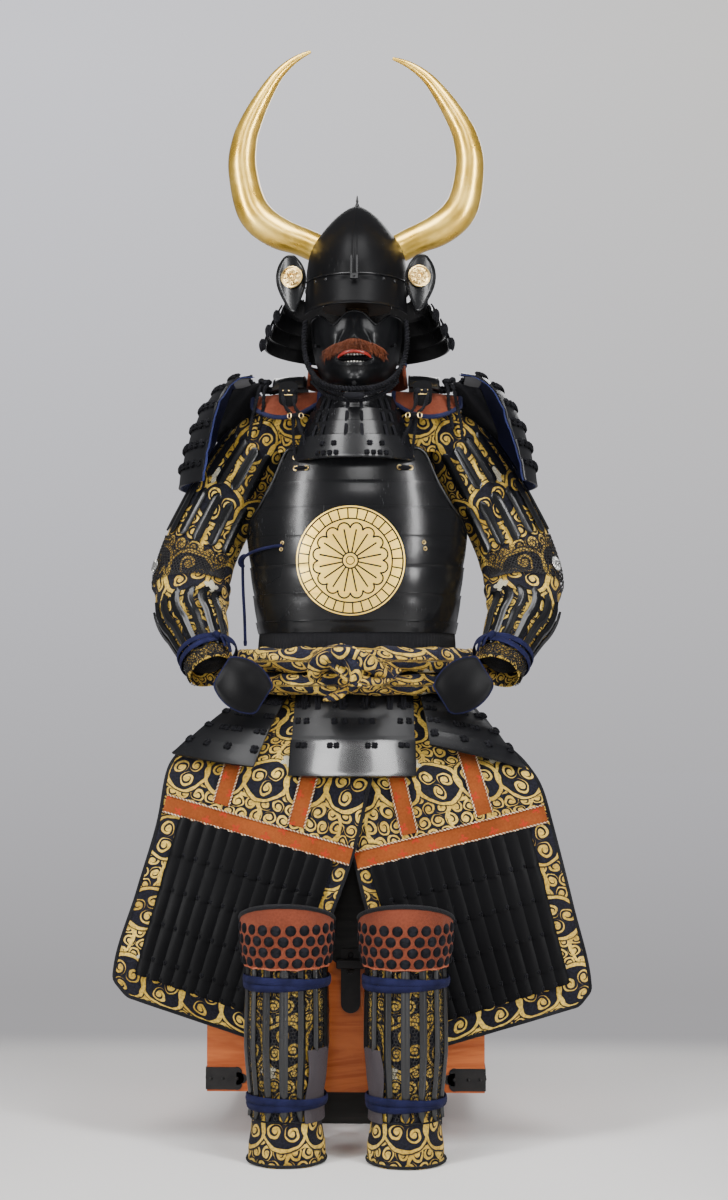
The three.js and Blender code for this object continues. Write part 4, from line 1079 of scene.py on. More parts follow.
def make_twist_tree():
    """Strands laid round each other along the paths of the seeds."""
    n, into, out = geometry_tree(
        "twisted cord", Radius=("in", "Float", 0.004), Lay=("in", "Float", 0.014),
        Strands=("in", "Int", 3), Fullness=("in", "Float", 0.56), Finish=("in", "Material", None))
    path = n.add("GeometryNodeMeshToCurve")
    n.put(path.inputs[0], into["Geometry"])
    many = n.add("GeometryNodeDuplicateElements", domain="SPLINE")
    n.put(many.inputs["Geometry"], path.outputs[0])
    n.put(many.inputs["Amount"], into["Strands"])
    run = n.add("GeometryNodeSplineParameter").outputs["Length"]
    turn = n.math("ADD", n.math("DIVIDE", run, into["Lay"]),
                  n.math("DIVIDE", many.outputs["Duplicate Index"], into["Strands"]))
    phase = n.math("MULTIPLY", turn, 2 * math.pi)
    side = n.add("GeometryNodeInputNormal").outputs[0]
    tangent = n.add("GeometryNodeInputTangent").outputs[0]
    other = n.vector("CROSS_PRODUCT", tangent, side)
    reach = n.math("MULTIPLY", into["Radius"], 0.5)

    def part(direction, share):
        length = n.math("MULTIPLY", share, reach)
        return n.vector("MULTIPLY", direction, n.join(length, length, length))
    offset = n.vector("ADD", part(side, n.math("COSINE", phase)), part(other, n.math("SINE", phase)))
    laid = n.add("GeometryNodeSetPosition")
    n.put(laid.inputs["Geometry"], many.outputs["Geometry"])
    n.put(laid.inputs["Offset"], offset)
    marked = n.add("GeometryNodeStoreNamedAttribute", data_type="FLOAT", domain="POINT")
    n.put(marked.inputs["Geometry"], laid.outputs[0])
    marked.inputs["Name"].default_value = "run"
    n.put(next(s for s in marked.inputs if s.name == "Value" and s.enabled), run)
    told = n.add("GeometryNodeStoreNamedAttribute", data_type="FLOAT", domain="POINT")
    n.put(told.inputs["Geometry"], marked.outputs[0])
    told.inputs["Name"].default_value = "strand"
    n.put(next(s for s in told.inputs if s.name == "Value" and s.enabled), many.outputs["Duplicate Index"])
    strand = n.add("GeometryNodeCurvePrimitiveCircle", mode="RADIUS")
    strand.inputs["Resolution"].default_value = 5
    n.put(strand.inputs["Radius"], n.math("MULTIPLY", into["Radius"], into["Fullness"]))
    around = n.add("GeometryNodeStoreNamedAttribute", data_type="FLOAT", domain="POINT")
    n.put(around.inputs["Geometry"], strand.outputs[0])
    around.inputs["Name"].default_value = "around"
    n.put(next(s for s in around.inputs if s.name == "Value" and s.enabled),
          n.add("GeometryNodeSplineParameter").outputs["Factor"])
    solid = n.add("GeometryNodeCurveToMesh")
    n.put(solid.inputs["Curve"], told.outputs[0])
    n.put(solid.inputs["Profile Curve"], around.outputs[0])
    solid.inputs["Fill Caps"].default_value = True
    lengths = []
    for name in ("around", "run", "strand"):
        node = n.add("GeometryNodeInputNamedAttribute", data_type="FLOAT")
        node.inputs["Name"].default_value = name
        lengths.append(next(socket for socket in node.outputs if socket.enabled))
    girth = n.math("MULTIPLY", lengths[0], n.math("MULTIPLY", into["Radius"], 3.5))
    # Each strand starts a metre further on, so a finish can tell the strands apart.
    girth = n.math("ADD", girth, lengths[2])
    cut = n.add("GeometryNodeStoreNamedAttribute", data_type="FLOAT2", domain="CORNER")
    n.put(cut.inputs["Geometry"], solid.outputs[0])
    cut.inputs["Name"].default_value = "cut"
    n.put(next(s for s in cut.inputs if s.name == "Value" and s.enabled), n.join(girth, lengths[1]))
    finished(n, into, out, cut.outputs[0])


def seeds_of(rows):
    """Seeds from (place, way, up, size) rows; size is a number or three."""
    places, ways, ups, sizes = zip(*rows)
    return dict(
        place=np.array(places, float), way=np.array(ways, float), up=np.array(ups, float),
        size=np.array([np.broadcast_to(size, 3) for size in sizes], float))


def form_object(name, mesh):
    """A small form in millimetres, kept at the origin until a tree has used it."""
    points, faces, lengths = mesh
    data = bpy.data.meshes.new(name)
    data.from_pydata((np.asarray(points) * MM).tolist(), [], [list(map(int, face)) for face in faces])
    layer = data.uv_layers.new(name="cut")
    corners = np.empty(len(data.loops), np.int64)
    data.loops.foreach_get("vertex_index", corners)
    layer.data.foreach_set("uv", lengths[corners].astype(np.float32).ravel())
    data.polygons.foreach_set("use_smooth", [True] * len(data.polygons))
    form = bpy.data.objects.new(name, data)
    bpy.context.collection.objects.link(form)
    return form


def grown(name, tree, seeds, slot, finish_name, replaces=(), edges=(), form=None, **values):
    """A piece that a tree makes from its seeds, turned into a plain mesh."""
    data = bpy.data.meshes.new(name)
    data.from_pydata(laid_out(seeds["place"]).tolist(), list(edges), [])
    for label in ("way", "up", "size"):
        if label in seeds:
            layer = data.attributes.new(label, "FLOAT_VECTOR", "POINT")
            layer.data.foreach_set("vector", seeds[label].astype(np.float32).ravel())
    start = bpy.data.objects.new(name, data)
    bpy.context.collection.objects.link(start)
    modifier = start.modifiers.new("tree", "NODES")
    modifier.node_group = TREES[tree]
    values["Finish"] = FINISHES[finish_name]
    if form is not None:
        values["Form"] = form_object("form", form)
    for item in TREES[tree].interface.items_tree:
        if item.in_out == "INPUT" and item.name.replace(" ", "_") in values:
            modifier[item.identifier] = values[item.name.replace(" ", "_")]
    shown = start.evaluated_get(bpy.context.evaluated_depsgraph_get())
    made = bpy.data.meshes.new_from_object(shown)
    bpy.data.objects.remove(start)
    if form is not None:
        bpy.data.objects.remove(values["Form"])
    for label in ("run", "around", "strand", "way", "up", "size"):
        if label in made.attributes:
            made.attributes.remove(made.attributes[label])
    made.name = name
    return placed(name, made, replaces)


def make_trees():
    make_set_out_tree()
    make_mail_tree()
    make_bristle_tree()
    make_twist_tree()


def twisted_piece(name, paths, radius, lay, slot, finish_name, replaces=(), strands=3, fullness=0.56):
    """Twisted cord along one or more paths, in millimetres."""
    edges, start = [], 0
    for path in paths:
        edges += [(start + k, start + k + 1) for k in range(len(path) - 1)]
        start += len(path)
    return grown(name, "twisted cord", dict(place=np.concatenate(paths)), slot, finish_name, replaces,
                 edges, Radius=radius * MM, Lay=lay * MM, Strands=strands, Fullness=fullness)


def knot_form(half=5.0, tall=1.0):
    """A puffy lacing knot: two crossed pairs of flat braid, square to Z."""
    out = []
    x, y, z = np.eye(3)
    for way, other, reach, side, extra in ((x, y, half, half * tall, 0.0), (y, x, half * tall, half, 0.7)):
        for shift in (-0.5, 0.5):
            middle = z * (1.3 + extra) + other * side * shift
            route = np.array([
                middle - way * reach - z * 2.4, middle - way * reach * 0.8 - z * 0.2, middle + z * 0.8,
                middle + way * reach * 0.8 - z * 0.2, middle + way * reach - z * 2.4])
            out.append(tube_mesh(route, side * 0.47, 4, 0.7, up=z))
    return together(*out)


def dome_form(sides=10, steps=3):
    """A low round boss, one millimetre in radius and height."""
    return dome_mesh((0, 0, 0), (0, 0, 1), 1.0, 1.0, sides, steps)


# ---------------------------------------------------------------- chest and stand

CHEST = SimpleNamespace(width=430, depth=400, plinth=70, body=540, top=560, wall=13)


def make_chest():
    carried("chest_body", "chest wood")
    carried("chest_lid", "chest wood")
    carried("chest_plinth", "black wood")
    carried("stand", "stand wood")
    x, y = CHEST_MIDDLE
    half_w, half_d = CHEST.width / 2, CHEST.depth / 2
    fittings = []
    # Iron straps bind each upright edge, with a three-lobed end near the bottom and the top.
    for sx in (-1, 1):
        for sy in (-1, 1):
            for z in (CHEST.plinth + 3, CHEST.body - 70):
                fittings += corner_fitting(x + sx * half_w, y + sy * half_d, z, sx, sy)
    piece("chest_fittings", together(*fittings), "black iron")
    lines = []
    for z in (CHEST.plinth + 60, 320, CHEST.body - 90):
        for sx in (-1, 1):
            edge = x + sx * (half_w + 0.7)
            lines.append(block_mesh(
                (edge - 0.8, y - half_d + 40, z - 1), (edge + 0.8, y + half_d - 40, z + 1), 0.4))
    piece("chest_side_beads", together(*lines), "chest wood")
    make_chest_emblem(x, y - half_d)


def corner_fitting(x, y, z, sx, sy, tall=34, reach=46, thick=1.6):
    """An iron corner: two leaves round the edge, each ending in three lobes, held by nails."""
    out = []
    for face in ("front", "side"):
        def lay(along, up, off, face=face):
            if face == "front":
                return (x - sx * along, y + sy * off, z + up)
            return (x + sx * off, y - sy * along, z + up)
        start = -thick if face == "front" else 0.5
        outline = [(start, 0), (reach, 0), (reach, tall), (start, tall)]
        out.append(slab(outline, lay, 0.2, thick))
        for along, up, r in ((reach + 2, tall * 0.5, 10), (reach + 9, tall * 0.5, 7.5),
                             (reach + 1, tall * 0.2, 7.5), (reach + 1, tall * 0.8, 7.5)):
            circle = [(along + r * math.cos(a), up + r * math.sin(a))
                      for a in np.linspace(0, 2 * math.pi, 16, endpoint=False)]
            out.append(slab(circle, lay, 0.2, thick * 0.9))
        normal = (0, sy, 0) if face == "front" else (sx, 0, 0)
        for along in (7, reach * 0.55, reach + 2):
            out.append(dome_mesh(lay(along, tall / 2, thick), normal, 2.6, 1.6, 10, 3))
    return out


def slab(outline, lay, low, high):
    """A flat plate of an outline laid on a face, between two heights above it."""
    count = len(outline)
    points = np.array([lay(a, b, h) for h in (low, high) for a, b in outline])
    area = sum(a1 * b2 - a2 * b1 for (a1, b1), (a2, b2) in zip(outline, outline[1:] + outline[:1]))
    faces = [list(range(count))[::-1], list(range(count, 2 * count))]
    faces += [[i, (i + 1) % count, (i + 1) % count + count, i + count] for i in range(count)]
    normal = np.cross(points[count + 1] - points[count], points[count + 2] - points[count + 1])
    outside = points[count] - points[0]
    if np.dot(normal * np.sign(area), np.cross(
            points[count + 1] - points[count], np.cross(
                outside, points[count + 1] - points[count]))) < 0:
        faces = [face[::-1] for face in faces]
    return points, faces, np.zeros((2 * count, 2))


def make_chest_emblem(x, face):
    """A large plain leaf spray painted in black on the chest's front, over an iron hasp."""
    leaves = []
    for turn in range(-75, 76, 25):
        spread = math.radians(turn)
        leaf = []
        for t in np.linspace(0, 1, 13):
            leaf.append((22 + 128 * t, 27 * math.sin(math.pi * t) ** 0.8))
        for t in np.linspace(1, 0, 13)[1:-1]:
            leaf.append((22 + 128 * t, -27 * math.sin(math.pi * t) ** 0.8))
        turned = [(a * math.sin(spread) + b * math.cos(spread),
                   a * math.cos(spread) - b * math.sin(spread)) for a, b in leaf]
        rank = 0.25 + 0.12 * (turn // 25 % 2) + 0.001 * turn
        lay = lambda a, b, h: (x + 10 + a, face - h, 296 + b)
        leaves.append(slab(turned, lay, 0.05, rank))
    lay = lambda a, b, h: (x + 10 + a, face - h, 296 + b)
    round_ = [(40 * math.cos(a), 36 * math.sin(a)) for a in np.linspace(0, 2 * math.pi, 32, endpoint=False)]
    leaves.append(slab(round_, lay, 0.05, 0.55))
    piece("chest_painted_leaves", together(*leaves), "black wood")
    lay = lambda a, b, h: (x + 8 + a, face - h, 216 + b)
    arc = [(15 * math.cos(a), 15 * math.sin(a) - 10) for a in np.linspace(-math.pi, 0, 13)]
    hasp = [slab([*arc, (15, 74), (-15, 74)], lay, 0.4, 3.0)]
    for height in (64, 40):
        hasp.append(dome_mesh(lay(0, height, 3.0), (0, -1, 0), 5.0, 3.0, 14, 4))
    hasp.append(block_mesh(lay(-22, 44, 12.0), lay(22, 58, 2.0), 1.2))
    piece("chest_hasp", together(*hasp), "black iron")


# ---------------------------------------------------------------- cuirass

LAME_EDGES = (783, 802, 846, 892, 938, 984, 1025, 1078)
TRUNK = table(
    "z a front back",
    (670, 166, 120, 105), (690, 166, 118, 104), (783, 163, 110, 98), (802, 165, 112, 99),
    (846, 170, 118, 103), (892, 175, 123, 107), (938, 179, 126, 110), (984, 177, 125, 112),
    (1025, 170, 121, 112), (1078, 158, 114, 108), (1112, 148, 108, 102),
)
# How far round from its middle each plate reaches, in degrees.
ARMHOLE = table(
    "z front back",
    (783, 87, 87), (938, 87, 87), (962, 76, 80), (984, 62, 68), (1005, 55, 60), (1025, 50, 56),
    (1052, 46, 53), (1066, 44, 51), (1078, 41, 49), (1112, 37, 40),
)
PLATE = 2.0


def trunk(degrees, z, out=0.0):
    row = at(TRUNK, z)
    return oval(degrees, row.a + out, row.front + out, row.back + out, z, 2.15)


def lame_shares(edges, fine=5):
    """Rows of a lamed plate, close together at each step, as shares of its height."""
    edges = np.asarray(edges, float)
    shares = (edges - edges[0]) / (edges[-1] - edges[0])
    rows = [np.linspace(a, b, fine + 2)[1:-1] for a, b in zip(shares[:-1], shares[1:])]
    for share in shares[1:-1]:
        rows.append(share + np.array([-0.007, -0.0035, -0.0006, 0.0006, 0.0035]))
    return np.sort(np.concatenate([[0, 1, 0.004, 0.996], *rows]))


def lame_rise(share, edges, step=1.7, roll=0.9):
    """Each lame's upper edge stands out under the one above it, with a small rolled lip."""
    edges = np.asarray(edges, float)
    shares = (edges - edges[0]) / (edges[-1] - edges[0])
    k = np.clip(np.searchsorted(shares, share, side="right") - 1, 0, len(shares) - 2)
    t = (share - shares[k]) / (shares[k + 1] - shares[k])
    last = k == len(shares) - 2
    tall = (shares[k + 1] - shares[k]) * (edges[-1] - edges[0])
    lip = roll * np.exp(-((1 - t) * tall / 2.2) ** 2)
    belly = 0.8 * np.sin(np.pi * np.clip(t, 0, 1))
    return np.where(last, 0, step * t + lip) + belly


def make_cuirass():
    for name, middle, column in (("front", 0, "front"), ("back", 180, "back")):
        edges = LAME_EDGES if name == "front" else (*LAME_EDGES, 1112)
        low, high = edges[0], edges[-1]

        def face(u, v, middle=middle, column=column, low=low, high=high):
            z = mix(low, high, v)
            reach = getattr(at(ARMHOLE, z), column)
            return trunk(middle + mix(-1, 1, u) * reach, z)

        us = np.unique(np.concatenate([np.linspace(0, 1, 61), [0.004, 0.012, 0.988, 0.996]]))
        rows = lame_shares(edges)
        raised = lambda u, v, edges=edges: lame_rise(v, edges)
        mesh = hollow(face, PLATE + 0.4, (0, 0, 930), us, rows, rise=raised)
        piece("cuirass_" + name + "_lames", mesh, "cuirass lacquer",
              "cuirass_" + name)
        make_armhole_rims(name, face, low, high)
    make_breast_fittings()


def make_armhole_rims(name, face, low, high):
    """A rolled rim round each armhole and over the top edge."""
    start = (925 - low) / (high - low)
    v = np.linspace(start, 1, 40)
    right = face(np.zeros(40), v)
    left = face(np.ones(40), v)
    over = face(np.linspace(0, 1, 41), np.ones(41))[1:-1]
    route = np.concatenate([right, over, left[::-1]])
    route = route * np.array([1.006, 1.012, 1]) + np.array([0, 0, 0.8])
    path = along_path(route[::3], 150)
    taper = smooth(0, 0.04, np.linspace(0, 1, 150)) * smooth(0, 0.04, np.linspace(1, 0, 150))
    piece("armhole_rim_" + name, tube_mesh(path, 1.2 + 1.7 * taper, 10), "black lacquer")


def breast_point(x, z, out=0.0):
    """A point on the breast plate at a given x and height."""
    row = at(TRUNK, z)
    k = 2.15
    depth = row.front * (1 - abs(x / row.a) ** k) ** (1 / k)
    return np.array([x, -depth - out, z])


def breast_normal(x, z):
    a, b = breast_point(x - 2, z), breast_point(x + 2, z)
    c, d = breast_point(x, z - 4), breast_point(x, z + 4)
    return unit(np.cross(b - a, d - c))


def eyelet_meshes(centre, normal, outer=5.2, inner=2.6):
    """A gilt grommet and the dark hole in it."""
    normal = unit(np.asarray(normal, float))
    side = unit(np.cross(normal, (0.0, 0, 1)))
    other = np.cross(normal, side)
    angle = np.linspace(0, 2 * np.pi, 24, endpoint=False)[:, None]
    middle = (outer + inner) / 2
    path = np.asarray(centre) + (np.cos(angle) * side + np.sin(angle) * other) * middle
    ring = tube_mesh(path, (outer - inner) / 2, 8, up=normal, closed=True)
    hole = dome_mesh(np.asarray(centre) - normal * 0.3, normal, inner, 0.4, 14, 3)
    return ring, hole


BREAST_HOLES = (-86, 81)
BREAST_HOLE_HEIGHT = 1064


def make_breast_fittings():
    rings, holes, toggles, loops = [], [], [], []
    for x in BREAST_HOLES:
        for dx, z in ((-10, BREAST_HOLE_HEIGHT), (10, BREAST_HOLE_HEIGHT), (-9, 1046), (9, 1046)):
            ring, hole = eyelet_meshes(breast_point(x + dx, z, 2.4), breast_normal(x + dx, z), 4.6, 2.4)
            rings.append(ring)
            holes.append(hole)
        # A short bar of black braid lies between each lower pair of eyelets.
        route = [breast_point(x + dx, 1046 - abs(dx) * 0.1, 4.4) for dx in (-9, -5, 0, 5, 9)]
        toggles.append(tube_mesh(along_path(route, 16), braid_bulge(16, 4.6), 12, 0.75))
    for x, z in ((-116, 926), (-118, 916), (111, 926), (113, 916)):
        ring, hole = eyelet_meshes(breast_point(x, z, 3.0), breast_normal(x, z), 3.4, 1.6)
        rings.append(ring)
        holes.append(hole)
    piece("breast_eyelets", together(*rings), "gilt metal")
    piece("breast_eyelet_holes", together(*holes), "black iron")
    piece("breast_toggles", together(*toggles), "black cord")


def braid_bulge(count, radius):
    """Radii of a short knotted bar, round at both ends."""
    t = np.linspace(-1, 1, count)
    return radius * np.sqrt(np.clip(1 - np.abs(t) ** 3.2, 0.06, 1))


def make_waist_lacing():
    """A pleated black band below the cuirass."""
    def band(u, v):
        z = mix(694, 782.6, v)
        ripple = 0.9 * np.sin(2 * np.pi * u * 132) * smooth(0, 0.12, v) * smooth(1, 0.92, v)
        slack = 1.2 * np.sin(2 * np.pi * u * 9 + 1.7) * np.sin(np.pi * v)
        return trunk(360 * u, z, -1.6 + ripple + slack)
    piece("waist_band", hollow(band, 1.6, (0, 0, 740), 396, 6, closed=True),
          "black cloth", "waist_lacing")


# ---------------------------------------------------------------- shoulders

def make_shoulders():
    for side, s in SIDES:
        def strap(u, v, s=s):
            angle = np.radians(mix(28, 172, v))
            y = 14 - 82 * np.cos(angle)
            z = 1120 + 90 * np.sin(angle) ** 0.5
            crown = 1.6 * (1 - (2 * u - 1) ** 2)
            return xyz(s * mix(86, 136, u), y, z - 4 * u + crown)
        mesh = hollow(strap, -3.0, (0, 20, 1080), 20, 60)
        piece("strap_plate_" + side, mesh, "black lacquer", "shoulder_strap_" + side)
        edges = []
        for u in (0.02, 0.98):
            t = np.linspace(0.02, 0.98, 40)
            route = strap(np.full(40, u), t) + np.array([0, 0, 2.4])
            edges.append(tube_mesh(route, 1.9, 8))
        piece("strap_rim_" + side, together(*edges), "black lacquer")
        make_wing(side, s)
    make_collar()


def make_wing(side, s):
    def wing(u, v):
        angle = np.radians(mix(-90, 90, v))
        out = 62 + 108 * u
        y = 2 + (66 - 26 * (2 * u - 1) ** 2) * np.sin(angle)
        lobe = np.where(v < 0.5, 24 * (1 - (2 * u - 1) ** 2), 0)
        droop = (20 + lobe) * np.abs(np.sin(angle)) ** 4
        quilt = 0.8 * np.abs(np.sin(u * np.pi * 4)) ** 0.5 * np.abs(np.sin(v * np.pi * 6)) ** 0.5
        return xyz(s * out, y, 1184 - droop - 8 * u + quilt)
    low = hollow(wing, 3.4, (0, 0, 1100), 40, 44, rise=lambda u, v: 0.6 + 0 * u)
    piece("shoulder_pad_" + side, low, "plain rust cloth", "shoulder_wing_" + side)
    loop = np.linspace(0, 1, 60)
    edge = np.concatenate([
        wing(loop * 0 + 0, loop), wing(loop, loop * 0 + 1)[1:], wing(loop * 0 + 1, 1 - loop)[1:],
        wing(1 - loop, loop * 0)[1:-1],
    ])
    edge[:, 2] -= 1.4
    edge = np.concatenate([edge[::4]])
    binding = tube_mesh(smooth_loop(edge, 140), 4.8, 8, 0.8, closed=True)
    piece("shoulder_pad_binding_" + side, binding, "navy cloth")
    make_shoulder_filling(side, s)
    make_shoulder_ties(side, s)


def make_shoulder_filling(side, s):
    """The quilted brocade cap that joins the sleeve to the shoulder behind the throat guard."""
    def cap(u, v):
        fold = 1.6 * np.sin(u * 9 + v * 4) * np.sin(v * 7 + u * 3)
        return xyz(s * mix(52, 142, u), -22 - 20 * np.sin(np.pi * mix(0.1, 0.75, u)) + 12 * (1 - v) - fold,
                   mix(1082, 1172 - 4 * u, v))
    mesh = hollow(cap, 4.0, (s * 95, 60, 1120), 26, 24)
    piece("sleeve_cap_" + side, mesh, "brocade")

    # A black cloth sheet closes the gap between the guard and the sleeve cap: dark cloth, and painted shade for the
    # lining that lies in shadow there.
    def shade_sheet(u, v):
        outer = np.interp(v, (0, 0.3, 0.55, 0.8, 1), (236, 232, 224, 214, 203))
        x = mix(mix(196, 158, v), outer, u)
        return xyz(s * x, mix(10, -36, v) + 2 * np.sin(u * 7 + v * 9), mix(1090, 1184 + (203 - x) * 0.27, v))
    mesh = hollow(shade_sheet, 2.4, (s * 190, 120, 1120), 16, 22)
    piece("guard_underlay_" + side, mesh, "black cloth")


def make_shoulder_ties(side, s):
    """Black braid from the strap through a toggle to the breast, and from the strap to the guard."""
    toggle = np.array([s * 95, -103.0, 1130.0])
    routes = []
    for dx in (-9, 9):
        foot = breast_point(BREAST_HOLES[0 if s < 0 else 1] + dx * 1.1, BREAST_HOLE_HEIGHT, 4.0)
        routes.append([(s * 110 + dx, -66, 1180), (s * 108 + dx, -82, 1164), (s * 102 + dx * 0.8, -98, 1142),
                       toggle + (dx * 0.7, 0, 3), toggle + (dx * 0.5, -1, -5),
                       mix(toggle, foot, 0.55) + (dx * 0.3, -3, 0), foot])
    for k, (y, drop) in enumerate(((-26, 14), (-8, 6), (14, 9))):
        start, end = np.array([s * 128, y + 4, 1194.0]), np.array([s * 176, y, 1203.0])
        middle = (start + end) / 2 - (0, 4, drop)
        routes.append([start, mix(start, middle, 0.5) - (0, 0, drop * 0.4), middle,
                       mix(end, middle, 0.4) - (0, 0, drop * 0.3), end])
    routes.append([(s * 150, -22, 1196), (s * 158, -40, 1188), (s * 164, -48, 1160), (s * 171, -52, 1128),
                   (s * 174, -54, 1100)])
    routes.append([(s * 146, -24, 1196), (s * 150, -44, 1184), (s * 152, -52, 1150), (s * 158, -54, 1116)])
    twisted_piece("shoulder_ties_" + side, [along_path(route, 30) for route in routes], 4.0, 11,
                  "black_cord", "black cord", strands=2, fullness=0.5)
    bar = np.array([toggle + (x, -3.6, -x * 0.1 * s) for x in (-10, -7, 0, 7, 10)])
    knots = [tube_mesh(along_path(bar, 14), braid_bulge(14, 4.4), 12)]
    for place in ((150, -30, 1200), (158, -14, 1205), (147, -8, 1204), (113, -74, 1176), (101, -75, 1177)):
        knots.append(dome_mesh((s * place[0], place[1], place[2] - 3), (s * 0.3, -0.8, 0.6), 6.5, 6.0, 10, 3))
    piece("shoulder_toggle_" + side, together(*knots), "black cord")
    # The strap's end hangs over the pad as a small black tab with two gilt bars.
    outline = [(-15, 0), (15, 0), (15, 34), (-15, 34)]
    outline = smooth_loop([(a, b, 0) for a, b in ((-13, 2), (0, -3), (13, 2), (15, 20), (14, 36), (-14, 36), (-15, 20))], 28)
    lay = lambda a, b, h: (s * 109 + a, -70 - h - 0.22 * (34 - b), 1152 + b)
    tab = slab([(a, b) for a, b, _ in outline], lay, 0, 3.0)
    piece("strap_tab_" + side, tab, "soft lacquer")
    bars = [tube_mesh(np.array([lay(a, b, 4.0) for a in (-9, 0, 9)]), 0.9, 8) for b in (24, 17)]
    rings = bars + [eyelet_meshes(toggle + (x, -4.0, 0), (x * 0.1, -1, 0), 5.2, 3.6)[0] for x in (-9.5, 9.5)]
    piece("shoulder_rings_" + side, together(*rings), "gilt metal")


def smooth_loop(points, count):
    """An evenly stepped closed curve through points."""
    points = np.asarray(points, float)
    ring = np.concatenate([points[-3:], points, points[:4]])
    knots = np.concatenate([[0], np.cumsum(np.linalg.norm(np.diff(ring, axis=0), axis=1) + 1e-6)])
    places = np.linspace(knots[3], knots[3 + len(points)], count, endpoint=False)
    return catmull(ring, knots, places)


def make_collar():
    def collar(u, v):
        out = 4 * (1 - v) + 1.0 * np.abs(np.sin(u * np.pi * 14)) ** 0.5
        point = oval(mix(76, 284, u), 80 + out, 76 + out, 64 + out, mix(1194, 1230, v), 2)
        return point + np.array([0, 4, 0])
    mesh = hollow(collar, 3.2, (0, 4, 1210), 120, 10)
    piece("collar_cloth", mesh, "plain rust cloth", "collar")
    t = np.linspace(0, 1, 80)
    top = collar(t, t * 0 + 1) + np.array([0, 0, 0.8])
    piece("collar_binding", tube_mesh(top, 2.6, 8), "navy cloth")


# ---------------------------------------------------------------- helmet

BOWL = table(
    "z a front back",
    (1352, 84, 106, 101), (1376, 84.5, 105, 101), (1400, 82, 100, 98), (1424, 75, 90, 91),
    (1448, 60, 74, 79), (1470, 42, 54, 61), (1488, 22, 30, 38), (1500, 2.5, 4, 9),
)
NECK_LAMES = (
    dict(top=1348, bottom=1322, inner=97, outer=122, open=66),
    dict(top=1326, bottom=1300, inner=124, outer=134, open=72),
    dict(top=1304, bottom=1279, inner=137, outer=144, open=79),
    dict(top=1283, bottom=1258, inner=148, outer=153, open=85),
)
HORN = table(
    "step x z r",
    (0, 75, 1434, 23.5), (1, 92, 1442, 24), (2, 135, 1460, 27), (3, 171, 1493, 27.5),
    (4, 184, 1536, 26), (5, 188, 1574, 24), (6, 182, 1613, 21.5), (7, 166, 1651, 18.5),
    (8, 145, 1687, 14.5), (9, 120, 1720, 10.5), (10, 88, 1744, 6.8), (11, 54, 1758, 2.6),
)
HORN_FIT = {"right": (1.6, 8, 1.0, 0), "left": (-2.1, 10, 0.955, 5)}  # tilt, lean, height, shift


def make_helmet():
    low, high = BOWL["z"][0], BOWL["z"][-1]

    def shell(u, v):
        degrees = 360 * u
        z = mix(low, high, 1 - (1 - v) ** 1.35)
        row = at(BOWL, z)
        ridge = 0.06 * np.abs(np.cos(np.radians(degrees))) ** 12
        crest = 0.022 * np.exp(-(np.minimum(degrees, 360 - degrees) / 2.4) ** 2)
        grow = 1 + ridge + crest
        return oval(degrees, row.a, row.front * grow, row.back * (1 + ridge), z, 2.1)

    us = np.unique(np.concatenate([np.linspace(0, 1, 97), [0.004, 0.008, 0.992, 0.996]]))
    mesh = hollow(shell, 2.2, (0, 0, 1330), us, np.linspace(0, 1, 46), closed=True)
    piece("helmet_shell", mesh, "helmet lacquer", "helmet_bowl")
    around = np.linspace(0, 360, 120, endpoint=False)
    row = at(BOWL, 1353)
    rim = oval(around, row.a + 1.2, row.front + 2.2, row.back + 1.4, 1353.5, 2.1)
    piece("helmet_rim", tube_mesh(rim, 1.7, 8, closed=True), "black lacquer")
    places = oval(np.arange(70, 291, 12.2), row.a + 2, row.front, row.back + 3, 1358.5, 2.1)
    rivets = seeds_of([(p, (p[0], p[1], 0), (0, 0, 1), (1.9, 1.9, 1.3)) for p in places])
    grown("helmet_rivets", "set out", rivets, "lacquer", "black lacquer", form=dome_form())
    make_visor()
    make_crest_holder()
    make_neck_guard()
    for side, s in SIDES:
        make_turnback(side, s)
        make_horn(side, s)


def make_visor():
    def visor(u, v):
        degrees = mix(-66, 66, u)
        lower = 1303 + 4 * np.cos(np.radians(degrees * 1.3))
        out = 4 * (1 - v)
        front = mix(130, 114, v ** 0.8) + out
        z = mix(lower, 1360, v)
        point = oval(degrees, mix(92, 88.5, v), front, front, z, 2.15)
        # Two raised brow ridges and a rolled lower edge.
        x = np.abs(point[..., 0])
        brow = 2.4 * np.exp(-((z - 1355 - 0.06 * (x - 30)) / 3.6) ** 2) * smooth(10, 20, x) * smooth(44, 30, x)
        roll = 1.6 * np.exp(-((v - 0.02) * 57 / 2.4) ** 2)
        point[..., 1] -= brow + roll
        return point
    us = np.linspace(0, 1, 81)
    rows = np.unique(np.concatenate([np.linspace(0, 0.12, 7), np.linspace(0.12, 1, 24)]))
    piece("visor_plate", hollow(visor, 2.0, (0, 0, 1330), us, rows),
          "helmet lacquer", "visor")
    t = np.linspace(0, 1, 90)
    joint = visor(t, t * 0 + 0.985) + np.array([0, -1.2, 0])
    rivets = []
    for share in (0.16, 0.27, 0.73, 0.84):
        place = visor(np.array([share]), np.array([0.86]))[0]
        rivets.append(dome_mesh(place, (place[0], place[1], 0), 3.0, 1.8, 14, 4))
    piece("visor_joint", together(tube_mesh(joint, 1.5, 8), *rivets), "black lacquer")


